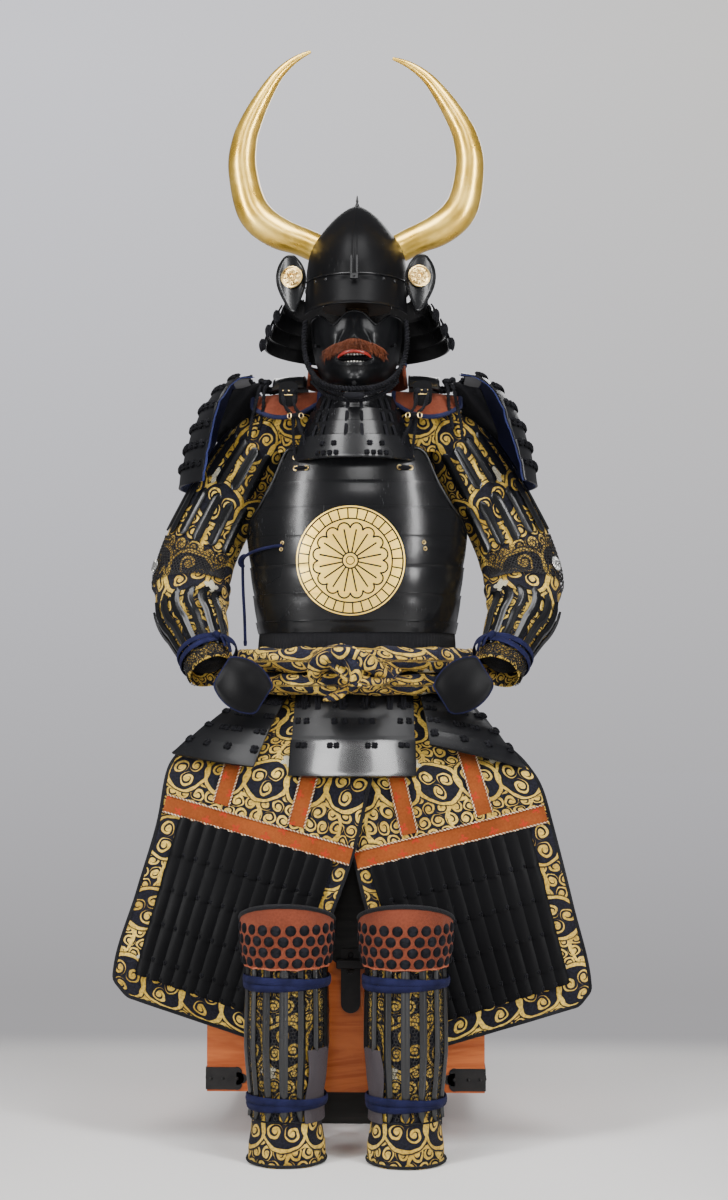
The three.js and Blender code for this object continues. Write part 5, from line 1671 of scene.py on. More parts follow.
def make_crest_holder():
    base = block_mesh((-7, -127.4, 1347), (7, -123.6, 1357), 1.2)
    prongs = [block_mesh((x - 2.0, -126.4, 1354), (x + 2.0, -124.2, 1386), 0.8) for x in (-4.6, 4.6)]
    pin = dome_mesh((0, -127.4, 1352), (0, -1, 0), 2.4, 1.5, 14, 4)
    piece("crest_socket", together(base, *prongs, pin), "black lacquer", "crest_holder")
    path = np.array([(0, 2.5, z) for z in np.linspace(1500.4, 1518.4, 10)])
    radius = np.array([4.2, 3.6, 2.2, 2.0, 2.4, 2.0, 1.6, 1.4, 1.1, 0.6])
    piece("helmet_finial", tube_mesh(path, radius, 16, up=(1, 0, 0)),
          "black lacquer", "helmet_spike")


def make_neck_guard():
    laces, bunches = [], []
    for k, lame in enumerate(NECK_LAMES):
        def shell(u, v, lame=lame):
            degrees = mix(lame["open"], 360 - lame["open"], u)
            out = mix(lame["outer"], lame["inner"], v)
            z = mix(lame["bottom"], lame["top"], v)
            return oval(degrees, out, out * 0.95, out * 1.08, z, 2)
        raised = lambda u, v: 0.6 + 1.3 * np.exp(-(v * 26 / 2.2) ** 2)
        rows = np.unique(np.concatenate([np.linspace(0, 0.2, 6), np.linspace(0.2, 1, 8)]))
        mesh = hollow(shell, 1.6, (0, 0, 1500), 90, rows, rise=raised)
        piece(f"neck_plate_{k + 1}", mesh, "black lacquer", f"neck_lame_{k + 1}")
        # Doubled braid comes down over each lame.
        count = 12
        for i in range(count):
            share = np.full(9, (i + 0.5) / count)
            v = np.linspace(1.05, 0.3, 9)
            point = shell(share, v)
            out = unit(np.stack([point[:, 0], point[:, 1], np.full(9, 40.0)], axis=1))
            for shift in (-0.012, 0.012):
                route = shell(share + shift, v) + out * (2.6 + 1.4 * np.sin(np.pi * np.linspace(0, 1, 9)))[:, None]
                laces.append(tube_mesh(along_path(route, 8), 2.6, 6, 0.6))
        # At the open edges the braid hangs in a bunch.
        for s, share in ((1, 0.006), (-1, 0.994)):
            for turn in range(3):
                place = shell(np.array([share]), np.array([0.25]))[0]
                drop = np.array([
                    place + (s * (1.5 + turn * 2.2), -2.6 - turn * 1.2, 10),
                    place + (s * (3 + turn * 2.6), -4.6 - turn, 2),
                    place + (s * (2 + turn * 2.4), -3.5 - turn, -9 - turn * 2),
                ])
                bunches.append(tube_mesh(along_path(drop, 9), braid_bulge(9, 3.4), 8, 0.75))
    piece("neck_lacing", together(*laces), "black cord")
    piece("neck_lacing_ends", together(*bunches), "black cord")


def make_turnback(side, s):
    def ear(u, v):
        half = 23.5 * np.sin(np.pi * (0.02 + 0.96 * v ** 1.35)) ** 0.65
        across = (2 * u - 1) * half
        curl = 5 * (1 - across ** 2 / 600)
        return xyz(s * (103 + across + 5 * v), -60 - curl + 0.22 * across, 1309 + v * 92)
    rows = np.unique(np.concatenate([np.linspace(0, 0.1, 8), np.linspace(0.1, 0.9, 26),
                                     np.linspace(0.9, 1, 8)]))
    raised = lambda u, v: 1.7 * np.exp(-((1 - np.abs(2 * u - 1)) * 10) ** 2)
    mesh = hollow(ear, 2.2, (0, 60, 1355), 28, rows, rise=raised)
    piece("turnback_ear_" + side, mesh, "black lacquer", "turnback_" + side)
    t = np.linspace(0, 1, 50)
    rim = np.concatenate([ear(t * 0, t), ear(t * 0 + 1, 1 - t)[1:]])
    piece("turnback_rim_" + side, tube_mesh(smooth_loop(rim[::3], 110), 1.9, 8, closed=True),
          "black lacquer")
    make_roundel(side, s)


def make_roundel(side, s):
    """A small gilt boss: a ring, eight plain petals and a middle knob."""
    centre = np.array([s * 104, -69.5, 1364])
    normal = unit(np.array([s * 0.18, -1.0, 0.05]))
    across = unit(np.cross(normal, (0, 0, 1)))
    other = np.cross(normal, across)
    angle = np.linspace(0, 2 * np.pi, 48, endpoint=False)[:, None]
    ring = lambda r: centre + (np.cos(angle) * across + np.sin(angle) * other) * r
    parts = [dome_mesh(centre, normal, 17.6, 2.2, 40, 4),
             tube_mesh(ring(16.8) + normal * 1.0, 1.7, 8, up=normal, closed=True),
             tube_mesh(ring(5.6) + normal * 2.6, 0.9, 6, up=normal, closed=True),
             dome_mesh(centre + normal * 2.0, normal, 4.0, 2.6, 20, 4)]
    for k in range(8):
        a = k * math.pi / 4
        out = math.cos(a) * across + math.sin(a) * other
        path = np.array([centre + out * r + normal * h for r, h in
                         ((6.6, 2.4), (8.4, 3.4), (11, 3.3), (13.2, 2.4), (14.4, 1.2))])
        parts.append(tube_mesh(path, np.array([0.8, 2.2, 3.3, 3.0, 1.0]), 10, 0.45, up=normal))
    piece("roundel_" + side, together(*parts), "gilt metal")


def make_horn(side, s):
    """A broad flat horn that curls up and in, with soft lumps and a rounded tip."""
    tilt, lean, tall, shift = HORN_FIT[side]
    steps = np.linspace(0, 11, 150)
    row = at(HORN, steps)
    base = np.array([HORN["x"][0], 0, HORN["z"][0]])
    place = np.stack([row.x, steps * 0, row.z], axis=1) - base
    place[:, 2] *= tall
    turn = Matrix.Rotation(math.radians(lean), 3, "X") @ Matrix.Rotation(math.radians(tilt), 3, "Y")
    place = place @ np.array(turn).T + base + np.array([shift, 6, 0])
    place[:, 0] *= s
    root = place[0] + np.array([-s * 14, 0, -7])
    path = along_path(np.vstack([root, place[::6]]), 110)
    radius = row.r * (1 + 0.012 * np.sin(steps * 2.3 + 1)) * smooth(-0.25, 0.12, 11 - steps) ** 0.35
    radius = np.interp(np.linspace(0, 1, 110), np.linspace(0, 1, 150), radius)
    piece("horn_form_" + side, tube_mesh(path, radius, 32, up=(0, 1, 0)), "gold lacquer",
          "horn_" + side)


# ---------------------------------------------------------------- mask

MASK = table(
    "z a front",
    (1177, 30, 106), (1190, 47, 115), (1210, 60, 118), (1235, 69, 116), (1260, 74, 114),
    (1285, 76, 110), (1299, 76, 105),
)
THROAT_LAMES = (
    dict(top=1170, bottom=1140, a=(66, 80), front=(98, 111), reach=62),
    dict(top=1142, bottom=1118, a=(86, 96), front=(114, 123), reach=55),
    dict(top=1120, bottom=1094, a=(100, 112), front=(126, 136), reach=51),
    dict(top=1096, bottom=1057, a=(116, 128), front=(139, 151), reach=47),
)
MOUTH = SimpleNamespace(z=1221, half=25, tall=8.5)


def mask_relief(x, z):
    """A calm, plain face: nose with nostrils, cheeks, lips, chin and two laugh lines."""
    bump = lambda height, cx, cz, wx, wz: height * np.exp(-((x - cx) / wx) ** 2 - ((z - cz) / wz) ** 2)
    side = np.abs(x)
    fold = np.abs(side - (20 + (1262 - z) * 0.42))
    line = -2.6 * np.exp(-(fold / 3.0) ** 2) * smooth(1222, 1234, z) * smooth(1270, 1258, z)
    mouth = ((x / (MOUTH.half + 1)) ** 2 + ((z - MOUTH.z) / (MOUTH.tall + 1)) ** 2)
    lips = 3.2 * np.exp(-((np.sqrt(mouth) - 1.28) / 0.24) ** 2)
    return (
        bump(19, 0, 1256, 9, 15) + bump(9, 0, 1277, 8, 18)
        + bump(9, 10.5, 1250, 6.5, 7) + bump(9, -10.5, 1250, 6.5, 7)
        + bump(6, 40, 1262, 20, 16) + bump(6, -40, 1262, 20, 16)
        + bump(6, 0, 1234, 34, 8) + bump(5, 0, 1207, 30, 7) + bump(9, 0, 1187, 20, 11)
        + line + lips
    )


def mask_face(u, v):
    degrees = mix(-84, 84, u)
    across = np.abs(np.sin(np.radians(degrees)))
    dip = 22 * np.exp(-((across - 0.42) / 0.2) ** 2)
    low, high = MASK["z"][0], MASK["z"][-1]
    z = mix(low, high - dip * v ** 3, v)
    row = at(MASK, z)
    point = oval(degrees, row.a, row.front, row.front, z, 2.2)
    point[..., 1] -= mask_relief(point[..., 0], z) * np.cos(np.radians(degrees)) ** 0.5
    return point


def mask_point(x, z, out=0.0):
    row = at(MASK, z)
    depth = row.front * (1 - np.minimum(np.abs(x / row.a), 1) ** 2.2) ** (1 / 2.2)
    cosine = np.sqrt(np.clip(1 - np.abs(x / row.a) ** 2.2, 0, 1))
    return xyz(x, -depth - mask_relief(x, z) * cosine ** 0.5 - out, z)


def make_mask():
    points, faces, lengths = hollow(mask_face, 2.4, (0, 0, 1235), 92, 74)
    count = len(points) // 2
    x, z = points[:, 0], points[:, 2]
    scale = np.sqrt((x / MOUTH.half) ** 2 + ((z - MOUTH.z) / MOUTH.tall) ** 2)
    # The mouth is cut out: the faces whose outer corners all lie in it are dropped.
    inside = np.tile(scale[:count] < 1, 2)
    keep = [tuple(map(int, face)) for face in faces if not all(inside[i] for i in face)]
    edges = {(a, b) for face in keep for a, b in zip(face, face[1:] + face[:1])}
    rims = [(a, b) for a, b in edges if (b, a) not in edges and a < count and b < count]
    around = {i for a, b in rims for i in (a, b, a + count, b + count)}
    for i in around:
        points[i, 0] = x[i] / scale[i]
        points[i, 2] = MOUTH.z + (points[i, 2] - MOUTH.z) / scale[i]
    keep += [(b, a, a + count, b + count) for a, b in rims]
    piece("mask_face", (points, keep, lengths), "mask lacquer", "mask")
    make_mouth()
    make_moustache()
    make_mask_trim()


def make_mouth():
    lips, teeth = [], []
    for top in (True, False):
        angle = np.linspace(0.12, math.pi - 0.12, 30) * (1 if top else -1)
        x = np.cos(angle) * (MOUTH.half + 1.5)
        z = MOUTH.z + np.sin(angle) * (MOUTH.tall + 2.0)
        route = mask_point(x, z, -0.6)
        thick = (3.4 if top else 3.0) * np.sin(np.linspace(0.12, math.pi - 0.12, 30)) ** 0.5
        lips.append(tube_mesh(route, np.maximum(thick, 0.9), 10))
        for k in range(-4, 5):
            place = mask_point(np.array(k * 4.9), np.array(MOUTH.z + (7.6 if top else -7.4)), -2.6)
            tall = 3.6 - 0.3 * abs(k)
            sign = -1 if top else 1
            tooth = block_mesh((-1.7, -1.2, 0), (1.7, 1.2, tall), 0.7)
            points = tooth[0] * np.array([1, 1, sign]) + place
            faces = tooth[1] if sign > 0 else [face[::-1] for face in tooth[1]]
            teeth.append((points, faces, tooth[2]))
    # A near-black tube behind the mouth fills the opening with painted shade.
    back = mask_point(np.linspace(-26, 26, 9), np.full(9, float(MOUTH.z)), -9)
    dark = tube_mesh(back, 9.5, 10, up=(0, 0, 1), flat=0.5)
    piece("mask_upper_lip", lips[0], "red lacquer")
    piece("mask_lower_lip", lips[1], "mask lacquer")
    piece("mask_teeth", together(*teeth), "silver")
    piece("mask_mouth_lining", dark, "soft lacquer")


def make_moustache():
    """Coarse bristles spring from four rows of holes above the lip and sweep to the sides."""
    rows = []
    for k in range(700):
        s = -1 if k % 2 else 1
        share = (k // 2) / 349
        line = k // 2 % 5
        x = s * (0.2 + 47 * share)
        root = mask_point(np.array(x), np.array(1249.5 - 2.7 * line - 10 * share ** 2.4), -0.4)
        way = unit(np.array([s * (0.9 * share - 0.1), -0.6, -0.5 - 0.3 * share]))
        rows.append((root, way, (0, 0.25, -1), (1.35, 1.35, 0.9 + 0.25 * share)))
    grown("mask_moustache", "bristles", seeds_of(rows), "fur", "fur",
          Length=0.0105, Thickness=0.00050, Bend=0.5, Spread=0.45, Seed=11)


def make_mask_trim():
    """A rolled rim, two cheek posts and a chin peg hold the mask's cord."""
    u = np.linspace(0, 1, 120)
    top = mask_face(u, u * 0 + 1) + np.array([0, -0.6, 0.6])
    parts = [tube_mesh(top, 1.7, 8)]
    for s in (-1, 1):
        place = mask_point(np.array(s * 58.0), np.array(1248.0))
        way = unit(np.array([s * 0.75, -0.66, 0]))
        parts.append(tube_mesh(np.array([place, place + way * 4, place + way * 8, place + way * 9]),
                               np.array([2.4, 2.2, 2.2, 3.2]), 12))
    peg = mask_point(np.array(0.0), np.array(1182.0))
    parts.append(tube_mesh(np.array([peg, peg + (0, -5, -2), peg + (0, -6, -2.3)]),
                           np.array([3.2, 2.8, 3.8]), 12))
    piece("mask_rim", together(*parts), "black lacquer")


CHIN_CORD = (
    (-82, -62, 1293), (-84, -68, 1258), (-76, -82, 1215), (-48, -112, 1180), (0, -132, 1169),
    (48, -112, 1180), (76, -82, 1215), (84, -68, 1258), (82, -62, 1293),
)


def make_chin_cord():
    """The twisted cord is one length from cheek to cheek and turns twice under the chin."""
    path = along_path(CHIN_CORD, 220)
    twisted_piece("chin_rope", [path], 5.2, 11, "black_cord", "black cord", "chin_cord",
                  strands=2, fullness=0.46)
    # Under the chin it is turned twice more and bound in the middle.
    turns = [along_path([(-70, -84, 1200 - low), (-44, -110 - out, 1174 - low), (0, -126 - out, 1162 - low),
                         (44, -110 - out, 1174 - low), (70, -84, 1200 - low)], 90)
             for low, out in ((2, 1), (10, -4))]
    twisted_piece("chin_rope_turns", turns, 4.6, 10, "black_cord", "black cord", strands=2, fullness=0.46)
    bound = np.array([(x, -131.5, 1158 + 0.0004 * x * x) for x in (-17, -12, 0, 12, 17)])
    piece("chin_rope_binding", tube_mesh(along_path(bound, 12), braid_bulge(12, 7.5), 12, 0.8),
          "black cord")
    length = float(np.linalg.norm(np.diff(path, axis=0), axis=1).sum()) * MM
    laid_out(CHIN_CORD[0]).tolist()
    laid_out(path[::4]).tolist()
    return length


def make_throat_guard():
    knots = []
    for k, lame in enumerate(THROAT_LAMES):
        def shell(u, v, lame=lame):
            depth = mix(lame["front"][1], lame["front"][0], v)
            a = mix(lame["a"][1], lame["a"][0], v)
            degrees = mix(-lame["reach"], lame["reach"], u)
            return oval(degrees, a, depth, depth, mix(lame["bottom"], lame["top"], v), 2.1)
        tall = lame["top"] - lame["bottom"]
        raised = lambda u, v, tall=tall: (
            0.4 + 1.5 * np.exp(-(v * tall / 2.0) ** 2) + 0.9 * np.exp(-(((1 - np.abs(2 * u - 1)) * 60) / 2.4) ** 2))
        rows = np.unique(np.concatenate([np.linspace(0, 0.2, 7), np.linspace(0.2, 1, 10)]))
        mesh = hollow(shell, 1.6, (0, 0, 1110), 60, rows, rise=raised)
        finish_name = "polished lacquer" if k == 3 else "black lacquer"
        piece(f"throat_plate_{k + 1}", mesh, finish_name, f"throat_lame_{k + 1}")
        # Pairs of flat lacing drop from each lame to the next; the last shows square knots.
        if k < 3:
            for share in (0.16, 0.24, 0.44, 0.56, 0.76, 0.84):
                knots += lace_drop(shell, share, 0.75, -0.25, 2.6)
        else:
            for middle in (0.30, 0.67):
                for step in (-0.075, -0.025, 0.025, 0.075):
                    knots += square_knot(shell, middle + step, 0.22, 3.3)
                for step in (-0.05, 0.05):
                    knots += square_knot(shell, middle + step, 0.62, 3.6)
    piece("throat_lacing", together(*knots), "black cord")


def lace_drop(shell, share, high, low, width):
    """A flat doubled braid that comes down a lame's face."""
    v = np.linspace(high, low, 7)
    u = np.full(7, share)
    point = shell(u, np.clip(v, 0, 1))
    point[:, 2] += np.where(v < 0, v * 24, 0)
    out = unit(point * np.array([1, 1, 0]))
    route = point + out * (2.4 + 1.2 * np.sin(np.pi * np.linspace(0, 1, 7)))[:, None]
    return [tube_mesh(along_path(route, 9), width, 8, 0.55)]


def square_knot(shell, share, v, half):
    """A puffy square of crossed braid."""
    centre = shell(np.array([share]), np.array([v]))[0]
    beside = shell(np.array([share + 0.004]), np.array([v]))[0]
    above = shell(np.array([share]), np.array([min(v + 0.02, 1)]))[0]
    across, up = unit(beside - centre), unit(above - centre)
    normal = unit(np.cross(across, up))
    if np.dot(normal[:2], centre[:2]) < 0:
        normal = -normal
    out = []
    for way, other, lift in ((across, up, 2.0), (up, across, 2.6)):
        for shift in (-0.5, 0.5):
            middle = centre + normal * lift + other * half * shift * 1.05
            route = np.array([middle - way * half * 1.02 - normal * 2.2, middle - way * half * 0.8,
                              middle + normal * 0.7, middle + way * half * 0.8,
                              middle + way * half * 1.02 - normal * 2.2])
            out.append(tube_mesh(along_path(route, 9), half * 0.46, 6, 0.8))
    return out


# ---------------------------------------------------------------- sleeves

SLEEVE = table(
    "step x y z r",
    (0, 126, 2, 1147, 36), (1, 146, 4, 1121, 46), (2, 168, 6, 1092, 54), (3, 205, 10, 1030, 60),
    (4, 238, 12, 970, 61), (5, 262, 10, 915, 63), (6, 274, 0, 864, 64), (7, 270, -28, 822, 58),
    (8, 253, -62, 785, 49), (9, 237, -92, 750, 41), (10, 225, -116, 720, 39),
)


def sleeve_point(s, degrees, step, out=0.0):
    """A point round the arm: 0 degrees is its front, 90 is its inside, step runs to the wrist."""
    degrees, step = np.broadcast_arrays(np.asarray(degrees, float), np.asarray(step, float))
    row = at(SLEEVE, step)
    ahead, behind = at(SLEEVE, step + 0.02), at(SLEEVE, step - 0.02)
    tangent = unit(xyz(s * (ahead.x - behind.x), ahead.y - behind.y, ahead.z - behind.z))
    front = unit(np.array([0, -1.0, 0]) + tangent * tangent[..., 1:2])
    side = unit(np.cross(front, tangent) * s)
    angle = np.radians(degrees)[..., None]
    radius = (row.r + out)[..., None]
    middle = xyz(s * row.x, row.y, row.z)
    return middle + radius * (0.94 * np.cos(angle) * front - np.sin(angle) * side)


def sleeve_folds(degrees, step, s):
    """Creases of the cloth: rings at the elbow and slack between the plates."""
    around = np.radians(degrees)
    elbow = np.exp(-((step - 6.2) / 0.9) ** 2)
    rings = 1.7 * elbow * np.sin(step * 9.5 + 1.3 * np.sin(around * 2 + s))
    slack = 1.3 * np.sin(around * 3 + step * 1.4 + s) * smooth(0, 1, step)
    long = 0.9 * np.sin(around * 7 + 2 * np.sin(step * 1.1))
    return rings + slack * 0.8 + long * 0.6


def make_sleeves():
    for side, s in SIDES:
        def cloth(u, v, s=s):
            step = 10 * v
            degrees = 360 * u - 180
            return sleeve_point(s, degrees, step, -1.0 + sleeve_folds(degrees, step, s))
        u, v = spread_out(76, 82)
        outer = cloth(u, v)
        middles = outer[:, :-1].mean(axis=1, keepdims=True)
        inner = outer + unit(middles - outer) * 1.8
        run = np.concatenate([[0], np.cumsum(np.linalg.norm(np.diff(outer[:, 48], axis=0), axis=1))])
        lengths = np.stack([(u - 0.5) * 340 * MM, np.repeat(run[:, None], u.shape[1], axis=1) * MM], axis=-1)
        mesh = wall_mesh(outer, inner, closed=True, cut=lengths)
        # A black dome closes each sleeve end: painted shade for the dark inside of the cuff.
        cuff = sleeve_point(s, np.arange(0.0, 360, 15), 9.35, -3.0)
        inner = sleeve_point(s, np.arange(0.0, 360, 15), 9.0, -3.0)
        middle, way = cuff.mean(axis=0), unit(cuff.mean(axis=0) - inner.mean(axis=0))
        reach = float(np.linalg.norm(cuff - middle, axis=1).mean())
        cuff_shade_dome = dome_mesh(middle - way * 3, way, reach * 0.97, 9.0, 24, 4)
        piece("cuff_filling_" + side, cuff_shade_dome, "black cloth")
        cloth_piece = piece("sleeve_cloth_" + side, mesh, "brocade",
                            ("sleeve_front_" + side, "sleeve_back_" + side))
        make_splints(side, s)
        make_mail(side, s)
        make_hand_guard(side, s)
        make_wrist_ties(side, s)


def sleeve_strip(s, middle, half, low, high, rise=3.6, thick=1.4, ends=0.8, rib=0.0, steps=20):
    """One long plate on the sleeve with rounded ends; middle and half are degrees round the arm."""
    u, v = spread_out(8, steps)
    across = 2 * u - 1
    step = mix(low, high, v)
    row = at(SLEEVE, step)
    end = np.minimum(v, 1 - v) * (high - low) * 42
    narrow = np.sqrt(np.clip(1 - np.clip(1 - end / (half * row.r / 57.3 * ends), 0, 1) ** 2, 0.02, 1))
    crown = rise + 1.5 * (1 - across ** 2) + rib * np.exp(-(across / 0.18) ** 2)
    degrees = middle + across * half * narrow
    outer = sleeve_point(s, degrees, step, crown)
    inner = sleeve_point(s, degrees, step, crown - thick)
    return wall_mesh(outer, inner)


def make_splints(side, s):
    # Five to seven long splints cover the outside of the forearm.
    plates = []
    for degrees in (-132, -108, -84, -60, -36, -12, 12, 36, 60):
        plates.append(sleeve_strip(s, degrees, 8.2, 6.95, 9.42, rib=0.8))
    piece("forearm_plates_" + side, together(*plates), "black lacquer",
          "forearm_splints_" + side)
    upper = []
    for low, high, count, shift in ((1.9, 3.15, 7, 0), (3.3, 4.75, 7, 9)):
        for k in range(count):
            degrees = -112 + shift + k * 24
            upper.append(sleeve_strip(s, degrees, 7.4, low + 0.05 * (k % 2), high - 0.05 * (k % 2),
                                      rise=3.2, rib=0.5, steps=20))
    piece("upper_arm_plates_" + side, together(*upper), "black lacquer")
    # A small petalled boss stands on the outside of the elbow.
    centre = sleeve_point(s, -58 if s > 0 else -70, 5.7, 3.0)
    away = sleeve_point(s, -58 if s > 0 else -70, 5.7, 9.0)
    normal = unit(away - centre)
    across = unit(np.cross(normal, (0, 0, 1)))
    other = np.cross(normal, across)
    parts = [dome_mesh(centre, normal, 12.0, 2.6, 28, 4)]
    for k in range(12):
        a = k * math.pi / 6
        out = math.cos(a) * across + math.sin(a) * other
        path = np.array([centre + out * r + normal * h for r, h in
                         ((2.6, 3.4), (5.5, 3.7), (9, 2.8), (12, 0.8))])
        parts.append(tube_mesh(path, np.array([0.7, 1.5, 2.0, 1.2]), 8, 0.6, up=normal))
    parts.append(dome_mesh(centre + normal * 2.6, normal, 2.8, 1.8, 14, 3))
    piece("elbow_boss_" + side, together(*parts), "bright iron")


def mail_patch(s, low, high, first, last, pitch=5.6):
    """Linked rings over part of the sleeve."""
    out = []
    row = 0
    step = low
    while step < high:
        radius = float(at(SLEEVE, step).r)
        count = max(2, int(math.radians(last - first) * radius / pitch))
        for k in range(count + 1):
            degrees = mix(first, last, (k + 0.5 * (row % 2)) / (count + 0.5))
            place = sleeve_point(s, degrees, step, 2.0)
            away = sleeve_point(s, degrees, step, 6.0)
            out.append((place, unit(away - place), (0.3, 0.2, 0.9), 1.0))
        step += pitch * 0.86 / 52
        row += 1
    return out


def make_mail(side, s):
    rings = mail_patch(s, 4.85, 6.1, -118, 52)
    rings += mail_patch(s, 9.45, 9.98, -120, 60)
    grown("sleeve_mail_" + side, "mail", seeds_of(rings), "black_iron", "black iron",
          Ring_Radius=0.0029, Wire_Radius=0.00065, Tilt=0.4, Seed=4)


def make_hand_guard(side, s):
    def hand(u, v):
        p, q = 2 * u - 1, 2 * v - 1
        narrow = np.sqrt(1 - 0.62 * q * q)
        across, along = 40 * p * narrow, 44 * q
        dome = 12 * (1 - p * p * 0.8) * (1 - q * q * 0.7)
        x = 172 + 0.74 * along + 0.5 * across
        return xyz(s * x, -162 - dome + 0.1 * along, 698 + 0.5 * along - 0.8 * across)
    raised = lambda u, v: 0.5 + 1.0 * np.exp(-((1 - np.maximum(np.abs(2 * u - 1), np.abs(2 * v - 1))) * 34 / 2.5) ** 2)
    mesh = hollow(hand, 2.0, (s * 190, -60, 700), 36, 36, rise=raised)
    piece("hand_plate_" + side, mesh, "helmet lacquer", "hand_guard_" + side)
    t = np.linspace(0, 1, 30)
    loop = np.concatenate([hand(t, t * 0), hand(t * 0 + 1, t)[1:], hand(1 - t, t * 0 + 1)[1:],
                           hand(t * 0, 1 - t)[1:-1]])
    loop = loop + np.array([0, 1.6, 0])
    binding = tube_mesh(smooth_loop(loop[::3], 150), 3.4, 8, 0.7, closed=True)
    cuff = []
    for share in (0.36, 0.6):
        ends = hand(np.array([0.02, 0.98]), np.array([share, share]))
        cuff.append(tube_mesh(along_path([ends[0] + (0, 2, 0), mix(ends[0], ends[1], 0.5) + (0, 22, 0),
                                          ends[1] + (0, 2, 0)], 24), 3.0, 8, 0.5))
    piece("hand_binding_" + side, together(binding, *cuff), "navy cord")


def make_wrist_ties(side, s):
    parts = []
    for step, slope in ((9.02, 0.10), (9.26, -0.06)):
        degrees = np.linspace(-180, 180, 80, endpoint=False)
        path = sleeve_point(s, degrees, step + slope * np.sin(np.radians(degrees)), 6.4)
        parts.append(tube_mesh(path, 5.2, 8, 0.34, closed=True,
                               up=sleeve_point(s, -180, step, 20) - sleeve_point(s, -180, step, 0)))
    start = sleeve_point(s, 38, 9.1, 7.5)
    for turn in (0, 1):
        route = [start, start + (-s * (8 + 6 * turn), -7, -4), start + (-s * (14 + 8 * turn), -9, -18 - 9 * turn)]
        parts.append(tube_mesh(along_path(route, 14), 4.0, 8, 0.4))
    parts.append(tube_mesh(along_path([start + (s * 4, 0, 6), start + (0, -4, 0), start + (-s * 5, -2, -6)], 9),
                           braid_bulge(9, 6.0), 10, 0.8))
    piece("wrist_ties_" + side, together(*parts), "navy cord")


# ---------------------------------------------------------------- shoulder guards

SODE = table(
    "down x z",
    (0, 179, 1208), (0.14, 206, 1203), (0.28, 232, 1186), (0.42, 255, 1158), (0.57, 271, 1125),
    (0.71, 282, 1092), (0.86, 290, 1059), (1, 296, 1026),
)
GUARD_LAMES = 7


def guard_point(s, u, v):
    turn = math.radians(-9 if s < 0 else 6)
    row = at(SODE, v)
    p = 2 * u - 1
    half = mix(88, 108, v)
    wrap = mix(10, 34, np.minimum(1, v * 1.6)) * p * p
    drop = mix(10, 0, np.minimum(1, v * 2)) * p * p
    x, y = row.x - wrap - 230, half * p
    angle = turn * mix(0.2, 1, v)
    x, y = x * np.cos(angle) - y * np.sin(angle) + 230, x * np.sin(angle) + y * np.cos(angle)
    return xyz(s * x, y + 6, row.z - drop)


def make_shoulder_guards():
    edges = np.arange(GUARD_LAMES + 1)
    for side, s in SIDES:
        shell = lambda u, v, s=s: guard_point(s, u, v)
        us = np.unique(np.concatenate([np.linspace(0, 1, 45), [0.006, 0.016, 0.984, 0.994]]))
        rows = lame_shares(edges * 30.0, 4)

        def raised(u, v):
            k = np.clip(np.floor(v * GUARD_LAMES), 0, GUARD_LAMES - 1)
            t = v * GUARD_LAMES - k
            lip = 1.0 * np.exp(-((1 - t) * 30 / 2.2) ** 2) + 0.8 * np.exp(-(t * 30 / 2.2) ** 2)
            return 1.2 + 2.4 * (1 - t) + lip * 0.6
        mesh = hollow(shell, 1.8, (s * 120, 0, 1000), us, rows, rise=raised)
        piece("guard_plates_" + side, mesh, "satin lacquer", "shoulder_guard_" + side)
        make_guard_lining(side, s, shell)
        make_guard_lacing(side, s, shell)


def make_guard_lining(side, s, shell):
    """A cloth behind the plates, whose loose edges wave past them."""
    def cloth(u, v):
        point = shell(u, v)
        edge = np.maximum(smooth(0.09, 0, u), smooth(0.91, 1, u))
        wave = edge * (2.2 * np.sin(v * 17 + s + 3 * u) + 1.2 * np.sin(v * 31))
        inward = np.stack([np.full_like(u, -s * 2.0), u * 0, u * 0], axis=-1)
        point = point + inward + np.stack([-s * np.abs(wave) * 0.7, np.sign(u - 0.5) * edge * 3.4,
                                           wave * 0.3], axis=-1)
        return point
    mesh = hollow(cloth, 1.1, (s * 60, 0, 1000), 56, 60)
    lining = piece("guard_cloth_" + side, mesh, "lining cloth", "guard_lining_" + side)


def surface_frame(shell, u, v, centre):
    """A place on a surface with its directions across, up and out."""
    place = shell(np.array([u]), np.array([v]))[0]
    beside = shell(np.array([min(u + 0.004, 1)]), np.array([v]))[0]
    if u + 0.004 > 1:
        beside = 2 * place - shell(np.array([u - 0.004]), np.array([v]))[0]
    below = shell(np.array([u]), np.array([min(v + 0.004, 1)]))[0]
    if v + 0.004 > 1:
        below = 2 * place - shell(np.array([u]), np.array([v - 0.004]))[0]
    across, up = unit(beside - place), unit(place - below)
    normal = unit(np.cross(across, up))
    if np.dot(normal, place - np.asarray(centre, float)) < 0:
        normal = -normal
    return place, across, up, normal


def make_guard_lacing(side, s, shell):
    knots = []
    centre = (s * 120, 0, 1000)
    for row in range(1, GUARD_LAMES):
        count = 9 + row // 2
        for k in range(count):
            u = mix(0.045, 0.955, k / (count - 1))
            v = (row + 0.10) / GUARD_LAMES
            place, across, up, normal = surface_frame(shell, u, v, centre)
            knots.append((place + normal * 4.2, normal, up, 1.08))
    grown("guard_lacing_" + side, "set out", seeds_of(knots), "black_cord", "black cord",
          form=knot_form(tall=1.15), Jitter=0.12, Seed=21)


# ---------------------------------------------------------------- sash

SASH_ROLLS = (("upper", 744, 23, 12, 6, 0.0), ("lower", 703, 19, 11, 4, 1.9))


def sash_middle(degrees, height, thick, thin, dip):
    front = (1 + np.cos(np.radians(degrees))) / 2
    radius = mix(thin, thick, front ** 0.8)
    z = height - dip * front
    middle = trunk(degrees, z, radius + 4)
    return middle, radius


